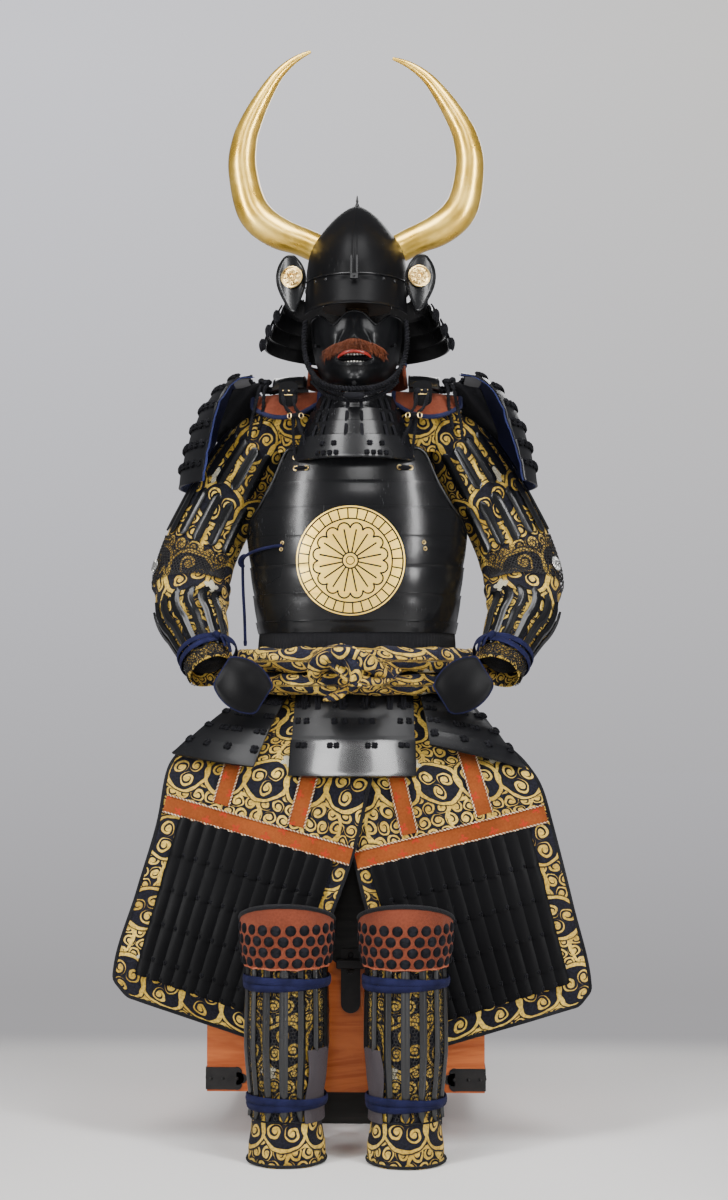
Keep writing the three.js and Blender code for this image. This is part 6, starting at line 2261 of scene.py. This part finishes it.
def make_sash():
    """Two turns of a long brocade cloth, rolled and twisted, with a knot in front."""
    for name, height, thick, thin, dip, phase in SASH_ROLLS:
        count, sides = 216, 28
        degrees = np.linspace(0, 360, count, endpoint=False)
        middle, radius = sash_middle(degrees, height, thick, thin, dip)
        outward_way = unit(middle * np.array([1, 1, 0]))
        angle = np.linspace(0, 2 * np.pi, sides, endpoint=False)[None, :]
        along = np.radians(degrees)[:, None]
        # Slanting folds run round the roll.
        fold = (0.07 * np.sin(2 * angle + 17 * along + phase)
                + 0.05 * np.sin(3 * angle - 11 * along + 2 * phase)
                + 0.025 * np.sin(5 * angle + 29 * along))
        shape = radius[:, None] * (0.93 + fold)
        rings = middle[:, None] + shape[..., None] * (
            np.cos(angle)[..., None] * outward_way[:, None]
            + 0.93 * np.sin(angle)[..., None] * np.array([0, 0, 1.0]))
        points, faces, lengths = rings_mesh(rings, closed=True)
        twist = (angle[0] * 23)[None, :] + (along * 175) * 0.25
        cut = np.stack(np.broadcast_arrays(along * 175, twist), axis=-1).reshape(-1, 2) * MM
        piece("sash_roll_" + name, (points, faces, cut), "sash brocade", "sash_" + name)
    make_sash_knot()


def cloth_rope(route, radius, flat, sides=28, folds=3, depth=0.09, turn=2.0, up=(0, 0, 1)):
    """A folded length of the sash along a route."""
    count = 62
    path = along_path(route, count)
    radius = np.interp(np.linspace(0, 1, count), np.linspace(0, 1, len(radius)), radius)
    pinch = lambda step, angle: 1 + depth * np.sin(folds * angle + turn * 2 * np.pi * step / count) + (
        0.4 * depth * np.sin((folds * 2 + 1) * angle - turn * 5 * step / count))
    return tube_mesh(path, radius, sides, flat, up=up, pinch=pinch)


def make_sash_knot():
    # A wide band crosses over the front, tucks under the rolls, and its end shows below.
    over = cloth_rope([(-58, -170, 706), (-56, -184, 722), (-38, -198, 738), (-8, -204, 741),
                       (24, -201, 730), (50, -190, 714), (66, -176, 700)],
                      [9, 15, 21, 22, 19, 13, 7], 0.62, folds=4, depth=0.10)
    under = cloth_rope([(-60, -172, 748), (-44, -188, 742), (-20, -197, 724), (6, -199, 708),
                        (34, -194, 702), (58, -182, 712), (72, -172, 722)],
                       [7, 12, 15, 16, 15, 11, 6], 0.6, folds=3, depth=0.12, turn=-2)
    neck = cloth_rope([(-16, -186, 756), (-4, -206, 742), (6, -210, 722), (4, -202, 700),
                       (-2, -186, 690)], [10, 14, 13, 12, 8], 0.7, folds=4, depth=0.12)
    end = cloth_rope([(-6, -184, 700), (-14, -190, 688), (-30, -190, 680), (-44, -184, 676)],
                     [8, 12, 11, 5], 0.5, folds=3, depth=0.14)
    piece("sash_tie", together(over, under, neck, end), "sash brocade", "sash_knot")


# ---------------------------------------------------------------- tassets

TASSETS = {
    "front": ((-33, 33), ((-97, -194, 557), (97, -194, 557)), 13),
    "front_right": ((-68, -37), ((-284, -150, 592), (-152, -196, 572)), 13),
    "front_left": ((37, 68), ((120, -192, 606), (268, -172, 569)), 13),
    "side_right": ((-108, -72), ((-262, 78, 572), (-272, -96, 574)), 10),
    "side_left": ((72, 108), ((262, -98, 574), (256, 78, 572)), 5),
    "back_right": ((-176, -112), ((-8, 206, 568), (-214, 150, 570)), 12),
    "back_left": ((112, 176), ((214, 150, 570), (8, 206, 568)), 12),
}
TASSET_LAMES = 5


def tasset_point(name, u, v):
    (start, stop), (first, second), bulge = TASSETS[name]
    first, second = np.array(first, float), np.array(second, float)
    upper = trunk(mix(start, stop, u), 691.5, -3)
    upper = upper + np.stack([v * 0, v * 0, -v * 4], axis=-1)
    lower = first + (second - first) * np.asarray(u)[..., None]
    out = unit(lower * np.array([1, 1, 0])) * (bulge * 4 * u * (1 - u) * v)[..., None]
    point = upper + (lower - upper) * np.asarray(v)[..., None] + out
    point[..., 2] += 8 * np.sin(np.pi * v)
    return point


def make_tassets():
    edges = np.linspace(0, 130, TASSET_LAMES + 1)
    rows = lame_shares(edges, 4)
    us = np.unique(np.concatenate([np.linspace(0, 1, 33), [0.008, 0.02, 0.98, 0.992]]))

    def raised(u, v):
        k = np.clip(np.floor(v * TASSET_LAMES), 0, TASSET_LAMES - 1)
        t = v * TASSET_LAMES - k
        lip = np.exp(-(t * 26 / 2.0) ** 2) + 1.2 * np.exp(-((1 - t) * 26 / 2.0) ** 2) * (k == TASSET_LAMES - 1)
        return 1.0 + 2.0 * (1 - t) + 0.7 * lip
    knots, cords = [], []
    for name in TASSETS:
        shell = lambda u, v, name=name: tasset_point(name, u, v)
        mesh = hollow(shell, 1.8, (0, 0, 640), us, rows, rise=raised)
        piece("tasset_plates_" + name, mesh, "satin lacquer", "tasset_" + name)
        centre = (0, 0, 640)
        for row in range(1, TASSET_LAMES):
            if name == "front" and row > 2:
                continue
            for u in (0.05, 0.13, 0.36, 0.44, 0.56, 0.64, 0.87, 0.95) if row < 4 else (0.06, 0.36, 0.64, 0.94):
                place, across, up, normal = surface_frame(shell, u, (row + 0.14) / TASSET_LAMES, centre)
                size = 4.4 if row < 4 else 5.6
                knots.append((place + normal * 3.0, normal, up, size / 5))
        # Braid hangs from the waist down to the first lame.
        for u in (0.1, 0.22, 0.42, 0.58, 0.78, 0.9):
            place, across, up, normal = surface_frame(shell, u, 0.12, centre)
            for side in (-1, 1):
                route = [place + across * side * 3 + up * 16 - normal * 1, place + across * side * 3 + normal * 4,
                         place + across * side * 2.4 - up * 14 + normal * 4.4,
                         place + across * side * 2 - up * 24 + normal * 2]
                cords.append(tube_mesh(along_path(route, 9), 2.6, 6, 0.7))
    grown("tasset_lacing", "set out", seeds_of(knots), "black_cord", "black cord",
          form=knot_form(tall=1.2), Jitter=0.12, Seed=31)
    piece("tasset_hangers", together(*cords), "black cord")
    # The front tasset ends in one broad polished lame.
    def last(u, v):
        bow = np.stack([u * 0, -9 * (4 * u * (1 - u)) ** 0.8, u * 0], axis=-1)
        return tasset_point("front", u, mix(0.64, 1.0, v)) + bow + np.array([0, -1.2, 0])
    ends = lambda u, v: 3.4 + 0.9 * np.exp(-((1 - v) * 48 / 2.2) ** 2) + 0.6 * np.exp(-(v * 48 / 2.2) ** 2)
    us = np.unique(np.concatenate([np.linspace(0, 1, 45), [0.006, 0.994]]))
    mesh = hollow(last, 1.6, (0, 0, 640), us, np.linspace(0, 1, 22), rise=ends)
    piece("tasset_front_lame", mesh, "bright lacquer")
    squares = []
    for u in (0.10, 0.36, 0.64, 0.90):
        for du in (-0.025, 0.025):
            place, across, up, normal = surface_frame(last, u + du, 0.16, (0, 0, 640))
            squares.append((place + normal * 4.4, normal, up, 0.86))
    grown("tasset_front_knots", "set out", seeds_of(squares), "black_cord", "black cord",
          form=knot_form(), Jitter=0.08, Seed=33)


# ---------------------------------------------------------------- thigh apron

# How far the apron stands forward of the middle and how wide it wraps, at each height.
DRAPE = table(
    "z forward wrap",
    (690, 98, 150), (640, 126, 235), (600, 150, 320), (560, 180, 420), (450, 192, 480),
    (350, 204, 520), (250, 209, 550), (140, 214, 570),
)
# Inner and outer edge of each panel from the front, waist to hem.
APRON = {
    "right": table(
        "down in_x in_z out_x out_z",
        (0, 16, 674, -108, 684), (0.14, 30, 568, -276, 594), (0.2, 22, 528, -290, 562),
        (0.4, 3, 446, -300, 496), (0.64, -38, 330, -331, 382), (0.93, -92, 176, -366, 250),
        (1, -98, 149, -342, 222)),
    "left": table(
        "down in_x in_z out_x out_z",
        (0, -16, 670, 108, 684), (0.14, -24, 560, 262, 583), (0.2, -14, 516, 292, 537),
        (0.4, 3, 436, 306, 486), (0.64, 32, 325, 335, 366), (0.93, 86, 168, 362, 237),
        (1, 93, 142, 342, 212)),
}
# Two lines across each panel between which its level strap runs, as (x, z) of their ends.
LEVEL_STRAP = {
    "right": (((-288, 529), (3, 450)), ((-295, 502), (-5, 424))),
    "left": (((7, 444), (295, 514)), ((5, 415), (300, 487))),
}
# Middle lines of the upright straps, from under the tassets to the level strap.
UPRIGHT_STRAPS = {
    "right": (((-176, 610), (-203, 514)), ((-58, 590), (-86, 482))),
    "left": (((60, 590), (88, 470)), ((167, 626), (203, 500))),
}
# Corners of the armoured field: top inner, top outer, bottom outer, bottom inner.
ARMOURED_FIELD = {
    "right": ((-27, 431), (-267, 496), (-333, 257), (-107, 187)),
    "left": ((25, 421), (272, 480), (331, 246), (103, 180)),
}
STRAP_WIDTH = 27


def apron_point(side, u, v, out=0.0):
    row = at(APRON[side], v)
    x, z = mix(row.in_x, row.out_x, u), mix(row.in_z, row.out_z, u)
    return apron_drape(side, x, z, u, out)


def apron_drape(side, x, z, u, out=0.0):
    """The hanging cloth over a place seen from the front: it wraps round and sags a little."""
    hang = at(DRAPE, z)
    curl = np.clip(1 - np.abs(x / hang.wrap) ** 3, 0, 1) ** (1 / 3)
    ahead = 11 if side == "right" else 0
    sag = 1.5 * np.sin(x / 34 + z / 120) * smooth(560, 400, z) + 0.8 * np.sin(x / 13 + z / 60)
    return xyz(x, -hang.forward * curl - ahead * (1 - u) ** 2 - out - 0.8 + 0.5 * sag, z)


def apron_over(side, x, z, out=0.0):
    """A point over the panel at a place seen from the front."""
    x, z = np.broadcast_arrays(np.asarray(x, float), np.asarray(z, float))
    v = np.full(x.shape, 0.5)
    for _ in range(24):
        row = at(APRON[side], v)
        u = np.clip((x - row.in_x) / (row.out_x - row.in_x), 0, 1)
        v = np.clip(v + (mix(row.in_z, row.out_z, u) - z) / 560, 0, 1)
    return apron_drape(side, x, z, u, out)


def make_apron():
    for side, s in SIDES:
        us, vs = np.linspace(0, 1, 61), np.linspace(0, 1, 91)
        cloth = lambda u, v, side=side: apron_point(side, u, v)
        mesh = hollow(cloth, 1.9, (0, 60, 400), us, vs)
        panel = piece("apron_cloth_" + side, mesh, "brocade", "thigh_apron_" + side)
        make_binding(side)
        make_straps(side, s)
        make_armoured_field(side, s)


def make_binding(side):
    """A narrow dark tape folded round the panel's edge."""
    t = np.linspace(0.03, 1, 120)
    u = np.linspace(0, 1, 90)
    inner = apron_point(side, t * 0, t)
    hem = apron_point(side, u, u * 0 + 1)
    outer = apron_point(side, t * 0 + 1, t[::-1])
    route = np.concatenate([inner, hem[1:-1], outer])
    path = along_path(route[::4], 320)
    piece("apron_binding_" + side, tube_mesh(path, 2.9, 8, 0.85, up=(0, 1, 0)),
          "black cloth")


def strap_mesh(side, start, end, width, out, rows=70):
    """A flat strap laid on the panel along a line; start and end are (x, z) of its middle."""
    (x0, z0), (x1, z1) = start, end
    way = unit(np.array([x1 - x0, z1 - z0], float))
    u, v = spread_out(10, rows)
    x = mix(x0, x1, v) - way[1] * (u - 0.5) * width
    z = mix(z0, z1, v) + way[0] * (u - 0.5) * width
    pucker = 0.25 * np.sin(v * rows * 1.3) * np.abs(2 * u - 1) ** 4
    outer = apron_over(side, x, z, out + 0.5 * (1 - (2 * u - 1) ** 4) + pucker)
    inner = apron_over(side, x, z, out - 1.5)
    return wall_mesh(outer, inner)


def edge_route(side, start, end, width, which, out, count):
    (x0, z0), (x1, z1) = start, end
    way = unit(np.array([x1 - x0, z1 - z0], float))
    t = np.linspace(0, 1, count)
    return apron_over(side, mix(x0, x1, t) - way[1] * which * width / 2,
                      mix(z0, z1, t) + way[0] * which * width / 2, out)


def make_straps(side, s):
    straps, routes = [], []
    (top0, top1), (low0, low1) = LEVEL_STRAP[side]
    start = ((top0[0] + low0[0]) / 2, (top0[1] + low0[1]) / 2)
    end = ((top1[0] + low1[0]) / 2, (top1[1] + low1[1]) / 2)
    lines = [(start, end, STRAP_WIDTH, 2.6)]
    for first, last in UPRIGHT_STRAPS[side]:
        lines.append((first, last, 26, 2.0))
    for first, last, width, out in lines:
        straps.append(strap_mesh(side, first, last, width, out))
        length = math.hypot(last[0] - first[0], last[1] - first[1])
        for which in (-1, 1):
            routes.append(edge_route(side, first, last, width - 0.5, which, out + 1.3, int(length / 1.4)))
    piece("apron_straps_" + side, together(*straps), "rust cloth")
    twisted_piece("apron_piping_" + side, routes, 1.7, 5.5, "cream_cord", "cream cord",
                  strands=2, fullness=0.5)


def field_place(side, a, b):
    """A place in the armoured field seen from the front: a runs outwards, b runs down."""
    c = [np.array(corner, float) for corner in ARMOURED_FIELD[side]]
    a, b = np.asarray(a)[..., None], np.asarray(b)[..., None]
    place = mix(mix(c[0], c[1], a), mix(c[3], c[2], a), b)
    return place[..., 0], place[..., 1]


def make_armoured_field(side, s):
    """Rows of narrow domed plates, each row over the one below, tied by small knots."""
    rows, columns = 4.6, 12
    plates, knots = [], []
    base_u, base_v = spread_out(12, 16)
    x, z = field_place(side, base_u, base_v)
    plates.append(wall_mesh(apron_over(side, x, z, 2.0), apron_over(side, x, z, 0.6)))
    for row in range(5):
        top, bottom = row / rows, min((row + 1.12) / rows, 1.0)
        for k in range(columns):
            u, v = spread_out(5, 8)
            across = 2 * u - 1
            end = np.clip(np.minimum(v, 1 - v) * (bottom - top) * 250 / 7, 0, 1)
            narrow = 0.60 * np.sqrt(1 - (1 - end) ** 2 * 0.6)
            a = np.clip((k + 0.5 + across * narrow) / columns, 0, 1)
            b = mix(top, bottom, v)
            x, z = field_place(side, a, b)
            dome = 3.2 + 2.8 * np.sqrt(np.clip(1 - across ** 2 * 0.92, 0, 1)) + 2.2 * v
            outer = apron_over(side, x, z, dome)
            inner = apron_over(side, x, z, dome - 1.4)
            plates.append(wall_mesh(outer, inner))
            x, z = field_place(side, (k + 1.0) / columns - 0.01, min(bottom - 0.02, 0.985))
            if k < columns - 1:
                place = apron_over(side, x, z, 6.4)
                knots.append((place, (0, -1, 0.1), (0, 0, 1), 0.62))
    piece("apron_plates_" + side, together(*plates), "soft lacquer")
    grown("apron_knots_" + side, "set out", seeds_of(knots), "black_cord", "black cord",
          form=knot_form(), Jitter=0.2, Seed=41)


# ---------------------------------------------------------------- shin guards

LEG = SimpleNamespace(x=88, lean=-5, y=-277)
SHIN = table(
    "z a b",
    (0, 57, 58), (22, 57, 58), (44, 54, 57), (62, 52, 54), (92, 51, 53), (125, 54, 57),
    (170, 57.5, 60), (220, 57, 59), (300, 55, 57),
)
KNEE = table("z a b", (285, 61, 64), (300, 65, 69), (335, 68, 73), (376, 67, 74))


def shin_point(s, degrees, z, out=0.0):
    row = at(SHIN, z)
    return oval(degrees, row.a + out, row.b + out, row.b + out, z, 2.1) + np.array(
        [s * LEG.x + LEG.lean, LEG.y, 0])


def make_shins():
    for side, s in SIDES:
        def cloth(u, v, s=s):
            z = 300 * v
            hem = 1.5 * np.sin(u * 34 + s) * smooth(60, 10, z)
            return shin_point(s, mix(-138, 138, u), z, -0.8 + hem + 0.4 * np.sin(u * 60) * smooth(0, 1, v))
        mesh = hollow(cloth, 1.9, (s * LEG.x + LEG.lean, LEG.y, 150), 70, 44)
        panel = piece("shin_cloth_" + side, mesh, "brocade", "shin_guard_" + side)
        make_shin_plates(side, s)
        make_shin_trim(side, s)
        make_knee(side, s)


def shin_strip(s, middle, half, low, high, out=2.6, rib=1.2):
    u, v = spread_out(7, 26)
    across = 2 * u - 1
    z = mix(low, high, v)
    end = np.minimum(v, 1 - v) * (high - low)
    narrow = np.sqrt(np.clip(1 - np.clip(1 - end / 7, 0, 1) ** 2, 0.03, 1))
    crown = out + 2.4 * (1 - across ** 2) + rib * np.exp(-(across / 0.3) ** 2)
    degrees = middle + across * half * narrow
    return wall_mesh(shin_point(s, degrees, z, crown), shin_point(s, degrees, z, crown - 1.4))


def make_shin_plates(side, s):
    plates, rings = [], []
    for k, degrees in enumerate((-104, -77, -50, -25, 0, 25, 50, 77, 104)):
        inner_side = degrees * s < -40
        if inner_side:
            low = 165  # the leather patch takes the place of the lower mail
        else:
            low = 66
        plates.append(shin_strip(s, degrees, 5.8 if abs(degrees) < 60 else 7.5, low, 296))
    piece("shin_plates_" + side, together(*plates), "polished lacquer")
    for between in (-90, -64, -37.5, -12.5, 12.5, 37.5, 64, 90):
        for row in range(44):
            z = 70 + row * 5.1
            if between * s < -30 and z < 168:
                continue
            for shift in (-2.6, 2.6) if row % 2 else (0,):
                place = shin_point(s, between + shift, z, 1.4)[None][0]
                away = shin_point(s, between + shift, z, 5.0)[None][0]
                rings.append((place, unit(away - place), (0.2, 0.1, 1), 1.0))
    grown("shin_mail_" + side, "mail", seeds_of(rings), "black_iron", "black iron",
          Ring_Radius=0.0028, Wire_Radius=0.0006, Tilt=0.4, Seed=6)


def make_shin_trim(side, s):
    # A leather patch where the stirrup rubs, on the inside of the calf.
    u, v = spread_out(30, 40)
    start, stop = -s * 112, -s * 34
    z = mix(62, 168, v)
    corner = 3.0 * np.sin(z / 17) * (u > 0.9)
    degrees = mix(start, stop, u) + corner
    out = 4.2 + 0.5 * np.sin(u * 9 + v * 5) * np.sin(v * 7)
    leather = wall_mesh(shin_point(s, degrees, z, out), shin_point(s, degrees, z, out - 1.6))
    piece("shin_leather_" + side, leather, "leather")
    ties, tape = [], []
    for z, turns in ((262, 2), (89, 2)):
        for turn in range(turns):
            degrees = np.linspace(-128, 128, 80)
            wander = 2.4 * np.sin(np.radians(degrees) * 1.6 + turn * 2.4)
            path = shin_point(s, degrees, z + turn * 7 - 3.5 + wander, 7.2 + turn * 0.8)
            ties.append(tube_mesh(path, 5.6, 8, 0.32, up=(0, 1, 0)))
    piece("shin_ties_" + side, together(*ties), "navy cord")
    for z in (1.6, 64):
        path = shin_point(s, np.linspace(-138, 138, 90), z + (0 if z > 9 else 1.4), 0.8)
        tape.append(tube_mesh(path, 2.4 if z < 9 else 1.6, 8, 0.9))
    for degrees in (-138, 138):
        z = np.linspace(3, 298, 40)
        tape.append(tube_mesh(shin_point(s, np.full(40, float(degrees)), z, 0.2), 2.2, 8))
    piece("shin_binding_" + side, together(*tape), "black cloth")


def knee_surface(s, u, v, out=0.0):
    degrees = mix(-108, 108, u)
    top = 330 + 46 * np.cos(np.radians(degrees * 0.62)) ** 1.4
    z = mix(KNEE["z"][0], top, v)
    row = at(KNEE, z)
    return oval(degrees, row.a + out, row.b + out, row.b + out, z, 2.1) + np.array(
        [s * LEG.x + LEG.lean, LEG.y, 0])


KNEE_ROWS = ((295, 0), (310.6, 0.5), (326.2, 0), (341.8, 0.5), (355, 0))
KNEE_STEP = 16.6  # degrees between the sewn spots


def make_knee(side, s):
    """A quilted pad: hexagons of stitching, each with a dark spot in its middle."""
    u, v = spread_out(120, 42)
    degrees = mix(-108, 108, u)
    top = 330 + 46 * np.cos(np.radians(degrees * 0.62)) ** 1.4
    z = mix(KNEE["z"][0], top, v)
    nearest = np.full(u.shape, 99.0)
    second = np.full(u.shape, 99.0)
    spots = []
    for row, (height, shift) in enumerate(KNEE_ROWS[:4]):
        for k in range(-7, 8):
            middle = (k + shift) * KNEE_STEP
            if abs(middle) > 104:
                continue
            far = np.hypot((degrees - middle) * 1.18, (z - height) * 1.15)
            second = np.minimum(second, np.maximum(nearest, far))
            nearest = np.minimum(nearest, far)
            spots.append((middle, height))
    seam = np.exp(-((second - nearest) / 2.6) ** 2)
    quilted = smooth(356, 346, z)
    puff = 1.6 + 1.2 * seam * quilted + 0.3 * np.sin(degrees * 0.4) * np.sin(z * 0.2)
    outer = knee_surface(s, u, v, 0)
    way = unit(knee_surface(s, u, v, 4) - outer)
    mesh = wall_mesh(outer + way * puff[..., None], outer - way * 2.0)
    pad = piece("knee_quilt_" + side, mesh, "plain rust cloth", "knee_pad_" + side)
    discs = []
    for middle, height in spots:
        share = (middle + 108) / 216
        top_here = 330 + 46 * math.cos(math.radians(middle * 0.62)) ** 1.4
        level = (height - KNEE["z"][0]) / (top_here - KNEE["z"][0])
        place = knee_surface(s, np.array([share]), np.array([level]), 1.7)[0]
        away = knee_surface(s, np.array([share]), np.array([level]), 6)[0]
        discs.append((place, unit(away - place), (0, 0, 1), (8.2, 8.2, 2.8)))
    grown("knee_spots_" + side, "set out", seeds_of(discs), "black_cord", "black cord",
          form=dome_form(12, 3), Jitter=0.05, Seed=51)
    t = np.linspace(0, 1, 110)
    top_edge = knee_surface(s, t, t * 0 + 1, 0.6) + np.array([0, 0, 1.0])
    piece("knee_binding_" + side, tube_mesh(top_edge, 4.4, 10, 0.8), "black cloth")
    low_edge = knee_surface(s, t, t * 0, 1.0)
    scallop = low_edge + np.stack([t * 0, t * 0, 1.6 * np.abs(np.sin(t * 22))], axis=1)
    piece("knee_hem_" + side, tube_mesh(scallop, 2.2, 8), "rust cord")


# ---------------------------------------------------------------- side cord

SIDE_CORD = (
    (-116, -104, 922), (-134, -98, 920), (-158, -80, 916), (-176, -56, 911), (-186, -34, 905),
    (-187, -26, 886), (-186, -28, 855), (-183, -34, 812), (-181, -40, 770),
)


def make_side_cord():
    path = along_path(SIDE_CORD, 110)
    length = float(np.linalg.norm(np.diff(path, axis=0), axis=1).sum()) * MM
    cord = piece("side_tie", tube_mesh(path, 2.6, 12), "navy cord", "side_cord")
    knot = along_path([(-180, -42, 912), (-188, -34, 906), (-190, -26, 898), (-184, -30, 893)], 12)
    bow = piece("side_tie_knot", tube_mesh(knot, braid_bulge(12, 5.0), 10), "navy cord")
    tip = piece("side_tie_end", tube_mesh(np.array([(-181.1, -39.8, 771.5), (-181, -40, 768),
                                                    (-180.8, -40.4, 763)]),
                                          np.array([2.9, 3.1, 2.4]), 12), "navy cord")
    laid_out(SIDE_CORD[0]).tolist()
    laid_out(path[::3]).tolist()
    return length


# ---------------------------------------------------------------- studio

def make_studio():
    """A pale floor with a painted pool of light, fading into a wall painted with a grey gradient of light behind the
    suit, and soft lights.
    """
    wall_low, wall_high = (0.43, 0.42, 0.435), (1.0, 1.0, 1.08)
    world = bpy.data.worlds.new("studio")
    world.use_nodes = True
    tree = world.node_tree
    n = Nodes(tree)
    seen = tree.nodes["Background"]
    # Only the camera sees this wall, painted with a gradient of light: darker low down and brighter towards the top,
    # with a warmer tint to one side. The suit is lit from the world by a dim even grey instead.
    across, _, height = n.xyz(n.add("TexCoord").outputs["Generated"])
    rise = n.line(height, -0.16, 0.34)
    warm = n.blend(n.math("MULTIPLY", n.line(across, -0.2, 0.2), rise), wall_high, (0.93, 0.91, 0.88))
    n.put(seen.inputs["Color"], n.blend(rise, wall_low, warm))
    lit = tree.nodes.new("ShaderNodeBackground")
    lit.inputs["Color"].default_value = (0.20, 0.20, 0.21, 1)
    choose = n.add("MixShader")
    n.put(choose.inputs[0], n.add("LightPath").outputs["Is Camera Ray"])
    n.put(choose.inputs[1], lit.outputs[0])
    n.put(choose.inputs[2], seen.outputs[0])
    n.put(tree.nodes["World Output"].inputs["Surface"], choose.outputs[0])
    bpy.context.scene.world = world
    material = bpy.data.materials.new("studio floor")
    material.use_nodes = True
    n = Nodes(material.node_tree)
    shader = material.node_tree.nodes["Principled BSDF"]
    shader.inputs["Roughness"].default_value = 0.75
    glow = n.add("Emission")
    blend = n.add("MixShader")
    x, y, _ = n.xyz(n.object_place())
    # The floor's colour is lighter near the middle and darker beyond a metre to either side: a painted pool of light.
    n.put(shader.inputs["Base Color"], n.blend(
        n.step(n.math("ABSOLUTE", x), 0.15, 1.0), (0.62, 0.61, 0.60), (0.47, 0.46, 0.455)))
    # Seen from the front, the far floor takes the wall's painted gradient at the same height: beyond about half a
    # metre behind the suit it glows with that colour instead of being lit.
    away = n.math("DIVIDE", -0.675, n.math("ADD", y, 2.9))
    n.put(glow.inputs["Color"], n.blend(n.line(away, -0.16, 0.34), wall_low, wall_high))
    n.put(blend.inputs[0], n.step(y, 0.52, 0.78))
    n.put(blend.inputs[1], shader.outputs[0])
    n.put(blend.inputs[2], glow.outputs[0])
    n.put(material.node_tree.nodes["Material Output"].inputs["Surface"], blend.outputs[0])
    size = 14.0
    data = bpy.data.meshes.new("studio_floor")
    data.from_pydata([(-size, -size, -0.0004), (size, -size, -0.0004), (size, size, -0.0004),
                      (-size, size, -0.0004)], [], [(0, 1, 2, 3)])
    data.materials.append(material)
    floor = bpy.data.objects.new("studio_floor", data)
    bpy.context.collection.objects.link(floor)
    for name, place, aim, width, height, power in (
        ("left softbox", (-1.9, -2.0, 1.25), (0, 0, 0.95), 0.3, 1.9, 95),
        ("right softbox", (1.9, -1.9, 1.25), (0, 0, 0.95), 0.3, 1.9, 90),
        ("top left softbox", (-0.8, -1.25, 3.0), (0, 0, 0.8), 0.8, 1.3, 58),
        ("top right softbox", (0.8, -1.25, 3.0), (0, 0, 0.8), 0.8, 1.3, 58),
        ("front fill", (0.2, -4.4, 2.6), (0, 0, 0.8), 1.2, 0.8, 40),
        ("back rim", (0.3, 2.6, 2.4), (0, 0, 1.0), 2.0, 1.2, 40),
    ):
        lamp = bpy.data.lights.new(name, "AREA")
        lamp.shape = "RECTANGLE"
        lamp.size, lamp.size_y, lamp.energy = width, height, power
        light = bpy.data.objects.new(name, lamp)
        light.location = place
        way = Vector(aim) - Vector(place)
        light.rotation_euler = way.to_track_quat("-Z", "Y").to_euler()
        bpy.context.collection.objects.link(light)


place_camera()
make_finishes()
make_trees()
make_side_cord()
make_chin_cord()
make_chest()
make_cuirass()
make_waist_lacing()
make_shoulders()
make_helmet()
make_mask()
make_throat_guard()
make_sleeves()
make_shoulder_guards()
make_sash()
make_tassets()
make_apron()
make_shins()
make_studio()

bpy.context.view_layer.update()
import json
